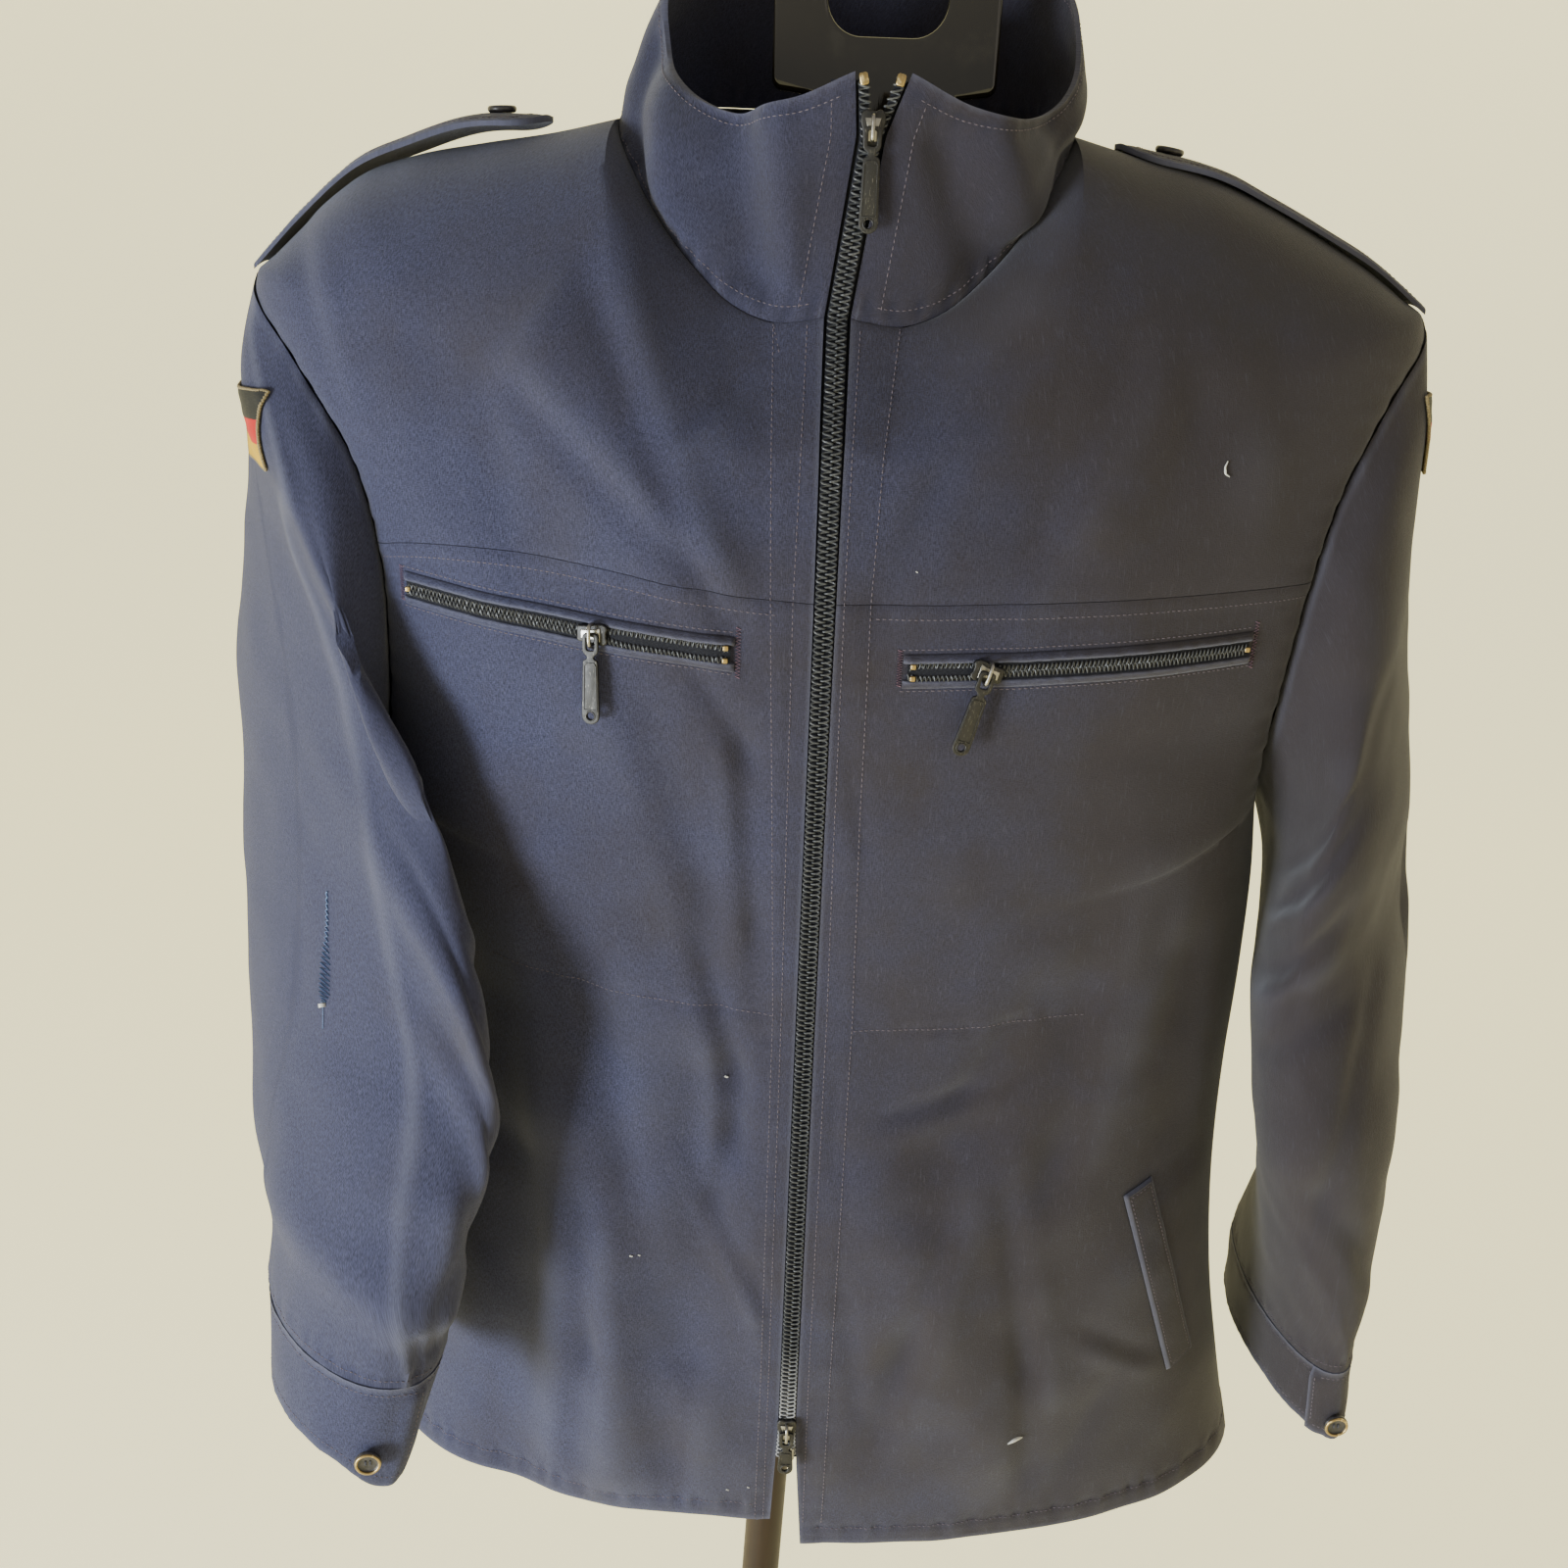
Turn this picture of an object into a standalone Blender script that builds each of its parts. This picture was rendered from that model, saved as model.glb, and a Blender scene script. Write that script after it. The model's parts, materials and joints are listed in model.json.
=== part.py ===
"""A military field jacket, zipped shut, hanging on a limbless stand.

Metres, +Z up. The jacket's front faces -Y, and the viewer's right is +X. The origin lies on the
floor at the centre of the stand's base. The jacket's pieces are worked out in an upright frame
of their own, which hangs slightly askew on the upright stand. Left and right are the viewer's.
"""

import bmesh
import bpy
import numpy as np
from math import atan2, cos, pi, radians, sin
from mathutils import Matrix, Vector
from mathutils.bvhtree import BVHTree

# Driving dimensions
WALL = 0.0016              # one layer of cloth, with its seam allowances
COLLAR_WALL = 0.0022       # two layers of cloth
SEAM = 0.0003              # gap that sewn pieces keep
ASKEW = radians(-1.9)      # lean of jacket and shoulder form on the upright post
HANG_HEIGHT = 1.40         # height that the lean turns about
HANG_SHIFT = -0.017        # sideways place of the jacket on the form
NECK_SHARE = 0.4           # share of a front's width that ends on the neck seam
NECK_HALF = 0.1025         # half width of the neck seam
NECK_FRONT = 0.0885        # depth of the neck seam in front of the shoulder line
NECK_BACK = 0.078          # and behind it
TIP = 0.2688               # half width between the shoulder tips
ARM_CENTRE = 1.2068        # height of the armhole's centre
ARM_HALF = 0.1168          # half the armhole's height
ARM_FRONT = 0.070          # how far the armhole reaches forward
ARM_BACK = 0.080           # and back
CHEST_FRONT = 1.200        # height of the chest seam at the front zip
CHEST_BACK = 1.215         # and of the same level on the back
CHEST_ARCH = 0.054         # the left chest seam rises over the pocket, by about 0.15 of this
COLLAR_LEAN = 0.0095       # the collar's top leans to the right
FRONT_LEAN = 1.45          # and its front leans this many times as far


def columns(names, *rows):
    """A table whose first column is what the others are read against."""
    return dict(zip(names.split(), np.array(rows, float).T))


# The body below the armpits: half widths to each side, depths before and behind the shoulder line
TORSO = columns(
    "height left   right  front  back",
    (0.670, 0.236, 0.268, 0.112, 0.112),
    (0.740, 0.222, 0.252, 0.118, 0.113),
    (0.800, 0.212, 0.240, 0.123, 0.113),
    (0.870, 0.202, 0.232, 0.125, 0.111),
    (0.940, 0.197, 0.230, 0.121, 0.107),
    (1.000, 0.198, 0.231, 0.118, 0.105),
    (1.045, 0.209, 0.230, 0.120, 0.108),
    (1.090, 0.222, 0.226, 0.123, 0.112),
    (1.200, 0.222, 0.226, 0.126, 0.118),
    (1.260, 0.222, 0.226, 0.118, 0.116),
    (1.314, 0.222, 0.226, 0.103, 0.108),
    (1.400, 0.222, 0.226, 0.092, 0.098),
)

# The armhole, from the shoulder tip at 0 degrees to the armpit at 180: half widths of the body
ARMHOLE = columns(
    "angle left   right",
    (0,   0.2688, 0.2688),
    (27,  0.2655, 0.2672),
    (50,  0.2410, 0.2474),
    (72,  0.2150, 0.2290),
    (94,  0.2040, 0.2200),
    (120, 0.2050, 0.2170),
    (150, 0.2130, 0.2200),
    (180, 0.2220, 0.2260),
)

# The neck seam's height, from the centre front at 0 degrees round to the centre back at 180
NECKLINE = columns(
    "angle height",
    (0,   1.3137),
    (12,  1.3110),
    (24,  1.3175),
    (37,  1.3335),
    (51,  1.3535),
    (65,  1.3725),
    (90,  1.3925),
    (130, 1.4010),
    (180, 1.4030),
)

# The shoulder seam's height over the distance from the centre line
SHOULDER = columns(
    "across  left    right",
    (0.1025, 1.3925, 1.3925),
    (0.1300, 1.3860, 1.3855),
    (0.1650, 1.3800, 1.3780),
    (0.1950, 1.3740, 1.3665),
    (0.2200, 1.3650, 1.3540),
    (0.2450, 1.3440, 1.3400),
    (0.2688, 1.3235, 1.3235),
)

# The hem's height, from the centre line at 0 to the side seam at 1
HEM = columns(
    "across front_left front_right back_left back_right",
    (0.00,  0.6927,    0.6746,     0.6800,   0.6800),
    (0.45,  0.6909,    0.6794,     0.6810,   0.6810),
    (1.00,  0.6840,    0.6860,     0.6840,   0.6860),
)

# Half of the gap between the front edges, filled by the zip, and parted below and above it
GAP = columns(
    "height left   right",
    (0.670, 0.0076, 0.0104),
    (0.735, 0.0052, 0.0058),
    (0.765, 0.0046, 0.0046),
    (1.250, 0.0046, 0.0046),
    (1.314, 0.0056, 0.0056),
    (1.385, 0.0060, 0.0060),
    (1.412, 0.0118, 0.0125),
)

# The collar's top edge, from the centre front at 0 degrees to the centre back at 180
COLLAR = columns(
    "angle height half   deep   bulge",
    (0,    1.409, 0.092, 0.090, 0.000),
    (20,   1.398, 0.092, 0.091, 0.001),
    (40,   1.395, 0.093, 0.090, 0.004),
    (55,   1.401, 0.094, 0.086, 0.006),
    (70,   1.415, 0.094, 0.082, 0.006),
    (90,   1.444, 0.092, 0.078, 0.003),
    (120,  1.466, 0.088, 0.073, 0.001),
    (150,  1.476, 0.086, 0.070, 0.001),
    (180,  1.480, 0.086, 0.069, 0.001),
)

# The largest folds of the body: face -1 front, +1 back, from one end to the other, and how far
# the cloth stands out (or sinks in, where negative)
FOLDS = columns(
    "face x0      z0     x1      z1     width  depth",
    (-1, -0.120, 1.300, -0.055, 1.215, 0.020,  0.0055),
    (-1, -0.175, 1.290, -0.120, 1.205, 0.022, -0.0040),
    (-1, -0.045, 0.960, -0.050, 0.800, 0.018, -0.0060),
    (-1, -0.110, 0.930, -0.095, 0.720, 0.024,  0.0060),
    (-1, -0.150, 0.900, -0.150, 0.700, 0.022, -0.0060),
    (-1,  0.050, 0.900,  0.110, 0.740, 0.024,  0.0055),
    (-1,  0.120, 1.000,  0.060, 0.900, 0.022, -0.0050),
    (-1,  0.185, 1.020,  0.200, 0.900, 0.018, -0.0045),
    (-1,  0.150, 1.310,  0.120, 1.240, 0.022,  0.0035),
    (1,  -0.120, 1.330, -0.150, 1.180, 0.024,  0.0060),
    (1,   0.120, 1.330,  0.150, 1.180, 0.024,  0.0060),
    (1,  -0.060, 1.000, -0.090, 0.720, 0.026,  0.0070),
    (1,   0.080, 0.980,  0.060, 0.700, 0.026,  0.0065),
    (1,   0.000, 0.960,  0.010, 0.740, 0.024, -0.0060),
    (1,  -0.150, 0.900, -0.160, 0.700, 0.022, -0.0050),
    (1,   0.160, 0.920,  0.160, 0.700, 0.024, -0.0055),
)

# Sleeves, ring by ring from the armhole (0) to the cuff's seam (9) and its edge (10): outer and
# inner point seen from the front, place and half depth front to back, inward turn of the front
SLEEVE_LEFT = columns(
    "ring outer_x outer_z inner_x inner_z middle  deep   turn",
    (0,   0.2688, 1.3236, 0.2220, 1.0900, 0.000, 0.070, 0.000),
    (1,   0.2800, 1.2800, 0.2300, 1.0700, -0.008, 0.079, 0.016),
    (2,   0.2760, 1.2250, 0.2270, 1.0450, -0.020, 0.081, 0.0460),
    (3,   0.2640, 1.1650, 0.2150, 1.0120, -0.036, 0.081, 0.0690),
    (4,   0.2540, 1.1000, 0.2060, 0.9750, -0.055, 0.079, 0.0755),
    (5,   0.2500, 1.0350, 0.1980, 0.9400, -0.073, 0.075, 0.0770),
    (6,   0.2540, 0.9700, 0.1880, 0.9050, -0.088, 0.071, 0.0690),
    (7,   0.2690, 0.9050, 0.1780, 0.8680, -0.098, 0.067, 0.0500),
    (8,   0.2670, 0.8550, 0.1780, 0.8380, -0.105, 0.063, 0.0335),
    (9,   0.2700, 0.8180, 0.1830, 0.8120, -0.108, 0.060, 0.0290),
    (10,  0.2715, 0.7780, 0.1900, 0.7720, -0.111, 0.059, 0.0170),
)
SLEEVE_RIGHT = columns(
    "ring outer_x outer_z inner_x inner_z middle  deep   turn",
    (0,   0.2688, 1.3236, 0.2260, 1.0900, 0.000, 0.070, 0.000),
    (1,   0.2750, 1.2850, 0.2345, 1.0750, 0.000, 0.080, 0.004),
    (2,   0.2805, 1.2350, 0.2385, 1.0500, -0.003, 0.082, 0.012),
    (3,   0.2905, 1.1800, 0.2390, 1.0200, -0.007, 0.082, 0.022),
    (4,   0.2985, 1.1200, 0.2400, 0.9850, -0.013, 0.081, 0.029),
    (5,   0.3055, 1.0550, 0.2440, 0.9450, -0.020, 0.080, 0.032),
    (6,   0.3150, 0.9850, 0.2490, 0.9000, -0.026, 0.078, 0.028),
    (7,   0.3200, 0.9100, 0.2560, 0.8500, -0.026, 0.076, 0.014),
    (8,   0.3160, 0.8400, 0.2620, 0.8080, -0.020, 0.075, 0.000),
    (9,   0.3085, 0.7880, 0.2660, 0.7800, -0.014, 0.074, -0.006),
    (10,  0.3100, 0.7460, 0.2680, 0.7400, -0.012, 0.073, -0.008),
)

# A cuff's tab end hangs below the rest: its angle, and by how much
CUFF_HANG = {-1: (112, 0.020), 1: (84, 0.006)}
CUFF_HANG_WIDE = 28.0

# The largest folds of the sleeves: where on the sleeve, in rings and degrees, and how far
# the cloth stands out
SLEEVE_FOLDS = columns(
    "side ring0 angle0 ring1 angle1 width  depth",
    (-1,  0.6,  70,    2.6,  110,   0.45,  0.0050),
    (-1,  4.2,  40,    5.0,  120,   0.40,  0.0060),
    (-1,  5.2,  130,   4.4,  200,   0.40, -0.0060),
    (-1,  5.8,  60,    6.6,  130,   0.40, -0.0050),
    (-1,  7.4,  20,    7.8,  120,   0.40,  0.0050),
    (1,   0.8,  80,    2.8,  100,   0.45,  0.0045),
    (1,   3.6,  100,   4.4,  30,    0.40,  0.0060),
    (1,   4.8,  100,   5.2,  20,    0.40, -0.0055),
    (1,   6.0,  110,   6.6,  40,    0.40,  0.0050),
    (1,   4.4,  250,   5.6,  320,   0.45,  0.0060),
    (-1,  4.4,  250,   5.6,  320,   0.45,  0.0060),
)


# Grid lines of the panels, the same on every piece that meets at a seam
ACROSS = np.concatenate([np.linspace(0, NECK_SHARE, 6), np.linspace(NECK_SHARE, 1, 7)[1:]])
LOWER = np.concatenate([np.linspace(0, 1, 14), np.linspace(1, 1.5, 6)[1:]])
UPPER = np.array([1.5, 1.6, 1.7, 1.8, 1.9, 1.96, 2.0])
HALF_ROUND = np.array([0, 7.2, 18, 36, 54, 72, 90, 108, 126, 144, 162, 180])
ROUND = np.concatenate([HALF_ROUND, 360 - HALF_ROUND[-2:0:-1]])
COLLAR_ROWS = np.linspace(0, 1, 5)


def ease(t):
    t = np.clip(t, 0, 1)
    return t * t * (3 - 2 * t)


def read(table, name, at):
    """One column of a table as a smooth curve over its first column."""
    knots = next(iter(table.values()))
    values = table[name]
    slopes = np.gradient(values, knots)
    at = np.clip(at, knots[0], knots[-1])
    left = np.clip(np.searchsorted(knots, at) - 1, 0, len(knots) - 2)
    step = knots[left + 1] - knots[left]
    t = (at - knots[left]) / step
    level = values[left] * (1 + 2 * t) * (1 - t) ** 2 + values[left + 1] * t * t * (3 - 2 * t)
    return level + step * (slopes[left] * t * (1 - t) ** 2 + slopes[left + 1] * t * t * (t - 1))


def ramp(table, name, at):
    """One column of a table, straight from row to row."""
    return np.interp(at, next(iter(table.values())), table[name])


def side_name(side):
    return "left" if side < 0 else "right"


def stand_out(folds, keep, across, up, ends):
    """Sum of the folds that pass a point; each is a soft ridge or trough along a line."""
    x0, y0, x1, y1 = (folds[name] for name in ends)
    total = np.zeros(np.broadcast(across, up).shape)
    for i in np.flatnonzero(keep):
        run, rise = x1[i] - x0[i], y1[i] - y0[i]
        along = ((across - x0[i]) * run + (up - y0[i]) * rise) / (run * run + rise * rise)
        along = np.clip(along, 0, 1)
        gone = (across - x0[i] - along * run) ** 2 + (up - y0[i] - along * rise) ** 2
        total = total + folds["depth"][i] * np.exp(-gone / folds["width"][i] ** 2)
    return total


# ---- the body ------------------------------------------------------------------------------------


def top_edge(side, face, across, inset):
    """The neck seam, then the shoulder seam: distance out, depth and height."""
    turn = np.clip(across / NECK_SHARE, 0, 1) * pi / 2
    deep = (NECK_FRONT if face < 0 else NECK_BACK) - inset
    gap = ramp(GAP, side_name(side), 1.314) if face < 0 else 0.0
    neck_x = gap * (1 - np.sin(turn)) + NECK_HALF * np.sin(turn)
    neck_angle = np.degrees(turn) if face < 0 else 180 - np.degrees(turn)
    neck_z = read(NECKLINE, "height", neck_angle) - inset * np.sin(turn)
    share = np.clip((across - NECK_SHARE) / (1 - NECK_SHARE), 0, 1)
    seam_x = NECK_HALF + (TIP - NECK_HALF) * share
    seam_z = read(SHOULDER, side_name(side), seam_x) - inset
    on_neck = across < NECK_SHARE
    return (
        np.where(on_neck, neck_x, seam_x),
        np.where(on_neck, deep * np.cos(turn), 0.0),
        np.where(on_neck, neck_z, seam_z),
    )


def torso(side, face, across, level, inset=0.0):
    """A point of the body: across 0 at the centre line to 1 at the side seam or armhole; level
    0 at the hem, 1 at the armpit, 1.5 at the chest seam, 2 at the neck and shoulder seams.
    The inset is the depth below the cloth's outside.
    """
    across, level = np.broadcast_arrays(np.asarray(across, float), np.asarray(level, float))
    name = side_name(side)
    up = np.clip(level - 1, 0, 1)
    angle = pi * (1 - up)
    bite = inset * ease(up * 4)
    top_x, top_deep, top_z = top_edge(side, face, across, inset)

    hem = read(HEM, ("front_" if face < 0 else "back_") + name, across)
    armpit = 1.045 + (ARM_CENTRE - ARM_HALF - 1.045) * across**2 + bite * across**2
    chest = CHEST_FRONT if face < 0 else CHEST_BACK
    chest = chest + (ARM_CENTRE - chest) * across
    if face < 0 and side < 0:
        chest = chest + CHEST_ARCH * across**2 * (1 - across)
    rise = (1 - across) * 2 * up + across * (1 - np.cos(pi * up))
    upper = chest + (top_z - chest) * np.sin(pi * (up - 0.5))
    z = np.where(up <= 0.5, armpit + (chest - armpit) * rise, upper)
    z = np.where(level <= 1, hem + (armpit - hem) * level, z)

    edge_hem = read(HEM, ("front_" if face < 0 else "back_") + name, 1.0)
    edge_z = edge_hem + (ARM_CENTRE - ARM_HALF - edge_hem) * np.clip(level, 0, 1)
    low_edge = read(TORSO, name, edge_z)
    edge = np.where(level <= 1, low_edge, read(ARMHOLE, name, np.degrees(angle)))
    edge = edge - inset + bite
    gap = ramp(GAP, name, z) if face < 0 else 0.0
    shift = top_x - (gap + (TIP - gap) * across)
    x = gap + (edge - gap) * across + shift * ease((level - 1.3) / 0.7)

    middle = read(TORSO, "front" if face < 0 else "back", z) - inset
    arm_deep = ((ARM_FRONT if face < 0 else ARM_BACK) - bite) * np.sin(angle)
    roundness = 2.2 - 0.95 * ease(up * 3)
    flank = (1 - across**2.2) ** (1 / roundness)
    body = arm_deep + (middle - arm_deep) * flank
    on_shoulder = ease(across / NECK_SHARE)
    roll = (0.05 + 0.06 * on_shoulder) * (1 - across**4) + 1e-6
    sharp = 1.3 + 0.9 * on_shoulder
    over = (1 - (1 - np.clip((top_z - z) / roll, 0, 1)) ** sharp) ** (1 / sharp)
    deep = top_deep + (body - top_deep) * over
    free = (1 - across**6) * ease(across * 8) * (1 - ease((level - 1.7) / 0.3))
    deep = deep + free * stand_out(FOLDS, FOLDS["face"] == face, side * x, z, ("x0", "z0", "x1", "z1"))
    return np.stack([side * x, face * deep, z], -1)


# ---- sleeves, cuffs and collar -------------------------------------------------------------------


def sleeve_skin(side, angle, ring, inset=0.0):
    """The sleeve's outside, drawn in by the inset across its rings."""
    angle, ring = np.broadcast_arrays(np.asarray(angle, float), np.asarray(ring, float))
    table = SLEEVE_LEFT if side < 0 else SLEEVE_RIGHT
    turn = np.radians(angle)
    outer = np.stack([read(table, "outer_x", ring), read(table, "outer_z", ring)], -1)
    inner = np.stack([read(table, "inner_x", ring), read(table, "inner_z", ring)], -1)
    half = (outer - inner) / 2
    length = np.linalg.norm(half, axis=-1)
    middle = read(table, "middle", ring)
    deep = read(table, "deep", ring)

    keep = SLEEVE_FOLDS["side"] == side
    share = 70.0  # degrees that count as much as one ring
    folds = dict(SLEEVE_FOLDS, angle0=SLEEVE_FOLDS["angle0"] / share, angle1=SLEEVE_FOLDS["angle1"] / share)
    bulge = stand_out(folds, keep, ring, (angle % 360) / share, ("ring0", "angle0", "ring1", "angle1"))
    bulge = bulge * ease(ring) * ease(9 - ring)
    grown = (length + bulge - inset) / length
    centre = (outer + inner) / 2
    x = centre[..., 0] + half[..., 0] * grown * np.cos(turn)
    z = centre[..., 1] + half[..., 1] * grown * np.cos(turn)
    x = x - read(table, "turn", ring) * np.sin(turn)
    y = middle - (deep + bulge - inset) * np.sin(turn)

    from_top = np.abs((angle + 180) % 360 - 180)
    hole_x = read(ARMHOLE, side_name(side), from_top) + SEAM
    hole_deep = np.where(np.sin(turn) > 0, ARM_FRONT, ARM_BACK) - inset
    hole_y = -hole_deep * np.sin(turn)
    hole_z = ARM_CENTRE + (ARM_HALF - inset) * np.cos(turn)
    start = 1 - ease(ring / 2.5)
    first = sleeve_start(table, turn, inset)
    x = x + (hole_x - first[0]) * start
    y = y + (hole_y - first[1]) * start
    z = z + (hole_z - first[2]) * start
    hang_at, hang_by = CUFF_HANG[side]
    from_tab = (angle % 360 - hang_at) / CUFF_HANG_WIDE
    z = z - hang_by * np.exp(-(from_tab**2)) * ease(ring - 9)
    return np.stack([side * x, y, z], -1)


def sleeve(side, angle, ring, inset=0.0):
    """A point of a sleeve: angle 0 outside, 90 degrees in front, 180 against the body. The
    inset is square to the cloth, but for the armhole's edge, where it is square to the seam.
    """
    skin = sleeve_skin(side, angle, ring)
    around = sleeve_skin(side, np.add(angle, 1.0), ring) - sleeve_skin(side, np.subtract(angle, 1.0), ring)
    down = sleeve_skin(side, angle, np.add(ring, 0.03)) - sleeve_skin(side, angle, np.subtract(ring, 0.03))
    normal = side * np.cross(around, down)
    normal /= np.linalg.norm(normal, axis=-1, keepdims=True)
    at_seam = 1 - ease(np.asarray(ring, float) / 0.9)[..., None]
    square = skin - inset * normal
    return square + (sleeve_skin(side, angle, ring, inset) - square) * at_seam


def sleeve_start(table, turn, inset):
    """The plain oval that the sleeve table gives at the armhole, before it takes its true form."""
    half_x = (table["outer_x"][0] - table["inner_x"][0]) / 2
    half_z = (table["outer_z"][0] - table["inner_z"][0]) / 2
    length = np.hypot(half_x, half_z)
    grown = (length - inset) / length
    x = table["outer_x"][0] - half_x + half_x * grown * np.cos(turn)
    z = table["outer_z"][0] - half_z + half_z * grown * np.cos(turn)
    y = table["middle"][0] - (table["deep"][0] - inset) * np.sin(turn)
    return x, y, z


def collar(side, angle, height, inset=0.0):
    """A point of the collar: angle 0 at the centre front, 180 at the centre back; height 0 at
    the neck seam and 1 at the top edge."""
    angle, height = np.broadcast_arrays(np.asarray(angle, float), np.asarray(height, float))
    turn = np.radians(angle)
    seam_z = read(NECKLINE, "height", angle) + SEAM
    top_z = read(COLLAR, "height", angle)
    z = seam_z + (top_z - seam_z) * height
    bulge = read(COLLAR, "bulge", angle) * np.sin(pi * height)
    half = NECK_HALF + (read(COLLAR, "half", angle) - NECK_HALF) * height + bulge - inset
    seam_deep = np.where(angle <= 90, NECK_FRONT, NECK_BACK)
    deep = seam_deep + (read(COLLAR, "deep", angle) - seam_deep) * height + bulge - inset
    gap = np.where(angle < 90, ramp(GAP, side_name(side), z), 0.0)
    x = gap * (1 - np.sin(turn)) + half * np.sin(turn)
    lean = COLLAR_LEAN * (1 + (FRONT_LEAN - 1) * np.cos(turn)) * height
    return np.stack([side * x + lean, -deep * np.cos(turn), z], -1)


def front_line(side, inset):
    """The front opening's edge up the body and the collar, row by row."""
    levels = np.concatenate([LOWER, UPPER[1:]])
    body = torso(side, -1, 0.0, levels, inset)
    rise = COLLAR_ROWS[1:]
    neck = collar(side, 0.0, rise, inset)
    middle = np.concatenate([0 * levels, COLLAR_LEAN * FRONT_LEAN * rise])
    return middle, np.concatenate([body[:, 1], neck[:, 1]]), np.concatenate([body[:, 2], neck[:, 2]])


# ---- making objects ------------------------------------------------------------------------------

for old in list(bpy.data.objects):
    bpy.data.objects.remove(old)


def material(name, colour, roughness, metallic=0.0):
    made = bpy.data.materials.new(name)
    made.use_nodes = True
    shader = made.node_tree.nodes["Principled BSDF"]
    shader.inputs["Base Color"].default_value = (*colour, 1.0)
    shader.inputs["Roughness"].default_value = roughness
    shader.inputs["Metallic"].default_value = metallic
    return made


CLOTH = (0.060, 0.064, 0.105)
TAPE = (0.012, 0.013, 0.020)
METAL = (0.10, 0.10, 0.10)
BUTTON = (0.03, 0.03, 0.035)


def empty(name, location=(0, 0, 0), parent=None):
    made = bpy.data.objects.new(name, None)
    made.location = location
    made.parent = parent
    bpy.context.collection.objects.link(made)
    return made


hang = empty("hang", (0, 0, HANG_HEIGHT))
hang.rotation_euler = (0, ASKEW, 0)
jacket = empty("jacket", (HANG_SHIFT, 0, -HANG_HEIGHT), hang)
form = empty("form", (0, 0, -HANG_HEIGHT), hang)


def add(name, mesh_maker, look, parent=None, matrix=None):
    """A named object from a bmesh, with its own material."""
    mesh = bpy.data.meshes.new(name)
    bmesh.ops.recalc_face_normals(mesh_maker, faces=mesh_maker.faces)
    mesh_maker.to_mesh(mesh)
    mesh_maker.free()
    mesh.shade_smooth()
    mesh.set_sharp_from_angle(angle=radians(50))
    mesh.materials.append(material(name, *look))
    made = bpy.data.objects.new(name, mesh)
    made.parent = parent
    if matrix is not None:
        made.matrix_local = matrix
    bpy.context.collection.objects.link(made)
    return made


def wall(name, outer, inner, look, ring=False, parent=None):
    """A closed wall between two grids of points; a ring joins its last column to its first."""
    rows, cols = outer.shape[:2]
    made = bmesh.new()
    outside = [[made.verts.new(point) for point in row] for row in outer]
    inside = [[made.verts.new(point) for point in row] for row in inner]
    for r in range(rows - 1):
        for c in range(cols if ring else cols - 1):
            n = (c + 1) % cols
            made.faces.new((outside[r][c], outside[r][n], outside[r + 1][n], outside[r + 1][c]))
            made.faces.new((inside[r][c], inside[r + 1][c], inside[r + 1][n], inside[r][n]))
    for r in (0, rows - 1):
        for c in range(cols if ring else cols - 1):
            n = (c + 1) % cols
            made.faces.new((outside[r][c], inside[r][c], inside[r][n], outside[r][n]))
    if not ring:
        for c in (0, cols - 1):
            for r in range(rows - 1):
                made.faces.new((outside[r][c], outside[r + 1][c], inside[r + 1][c], inside[r][c]))
    bmesh.ops.recalc_face_normals(made, faces=made.faces)
    bmesh.ops.triangulate(made, faces=made.faces, quad_method="FIXED")
    return add(name, made, look, parent)


def turned(name, profile, look, segments=24, parent=None, matrix=None):
    """A turned solid about its own Z from (radius, height) points, bottom to top."""
    made = bmesh.new()
    rings = []
    for radius, height in profile:
        count = segments if radius else 1
        turns = [2 * pi * i / segments for i in range(count)]
        rings.append([made.verts.new((radius * cos(t), radius * sin(t), height)) for t in turns])
    for low, high in zip(rings, rings[1:]):
        for i in range(segments):
            j = i + 1
            corners = [low[i % len(low)], low[j % len(low)], high[j % len(high)], high[i % len(high)]]
            made.faces.new(list(dict.fromkeys(corners)))
    return add(name, made, look, parent, matrix)


def plate(name, outline, thickness, look, parent=None, matrix=None, holes=(), bevel=0.0):
    """A flat plate in its own XZ plane, cut through by round-ended holes."""
    made = bmesh.new()
    face = made.faces.new([made.verts.new((x, -thickness / 2, z)) for x, z in outline])
    grown = bmesh.ops.extrude_face_region(made, geom=[face])
    moved = [v for v in grown["geom"] if isinstance(v, bmesh.types.BMVert)]
    bmesh.ops.translate(made, verts=moved, vec=(0, thickness, 0))
    solid = add(name, made, look, parent, matrix)
    for i, hole in enumerate(holes):
        cutter = bmesh.new()
        face = cutter.faces.new([cutter.verts.new((x, -thickness, z)) for x, z in hole])
        grown = bmesh.ops.extrude_face_region(cutter, geom=[face])
        moved = [v for v in grown["geom"] if isinstance(v, bmesh.types.BMVert)]
        bmesh.ops.translate(cutter, verts=moved, vec=(0, 2 * thickness, 0))
        guide = add(f"{name}_hole_{i}", cutter, look, parent, matrix)
        guide.hide_render = True
        guide.display_type = "WIRE"
        cut = solid.modifiers.new("hole", "BOOLEAN")
        cut.operation = "DIFFERENCE"
        cut.object = guide
    if bevel:
        soft = solid.modifiers.new("edges", "BEVEL")
        soft.width = bevel
        soft.segments = 1
        soft.limit_method = "ANGLE"
        soft.angle_limit = radians(50)
    return solid


def rounded(half_x, low, high, radius, steps=4):
    """Outline of a rectangle with round corners, symmetric about x = 0."""
    points = []
    for cx, cz, start in (
        (half_x - radius, low + radius, -90), (half_x - radius, high - radius, 0),
        (radius - half_x, high - radius, 90), (radius - half_x, low + radius, 180),
    ):
        for i in range(steps + 1):
            turn = radians(start + 90 * i / steps)
            points.append((cx + radius * cos(turn), cz + radius * sin(turn)))
    return points


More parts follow.
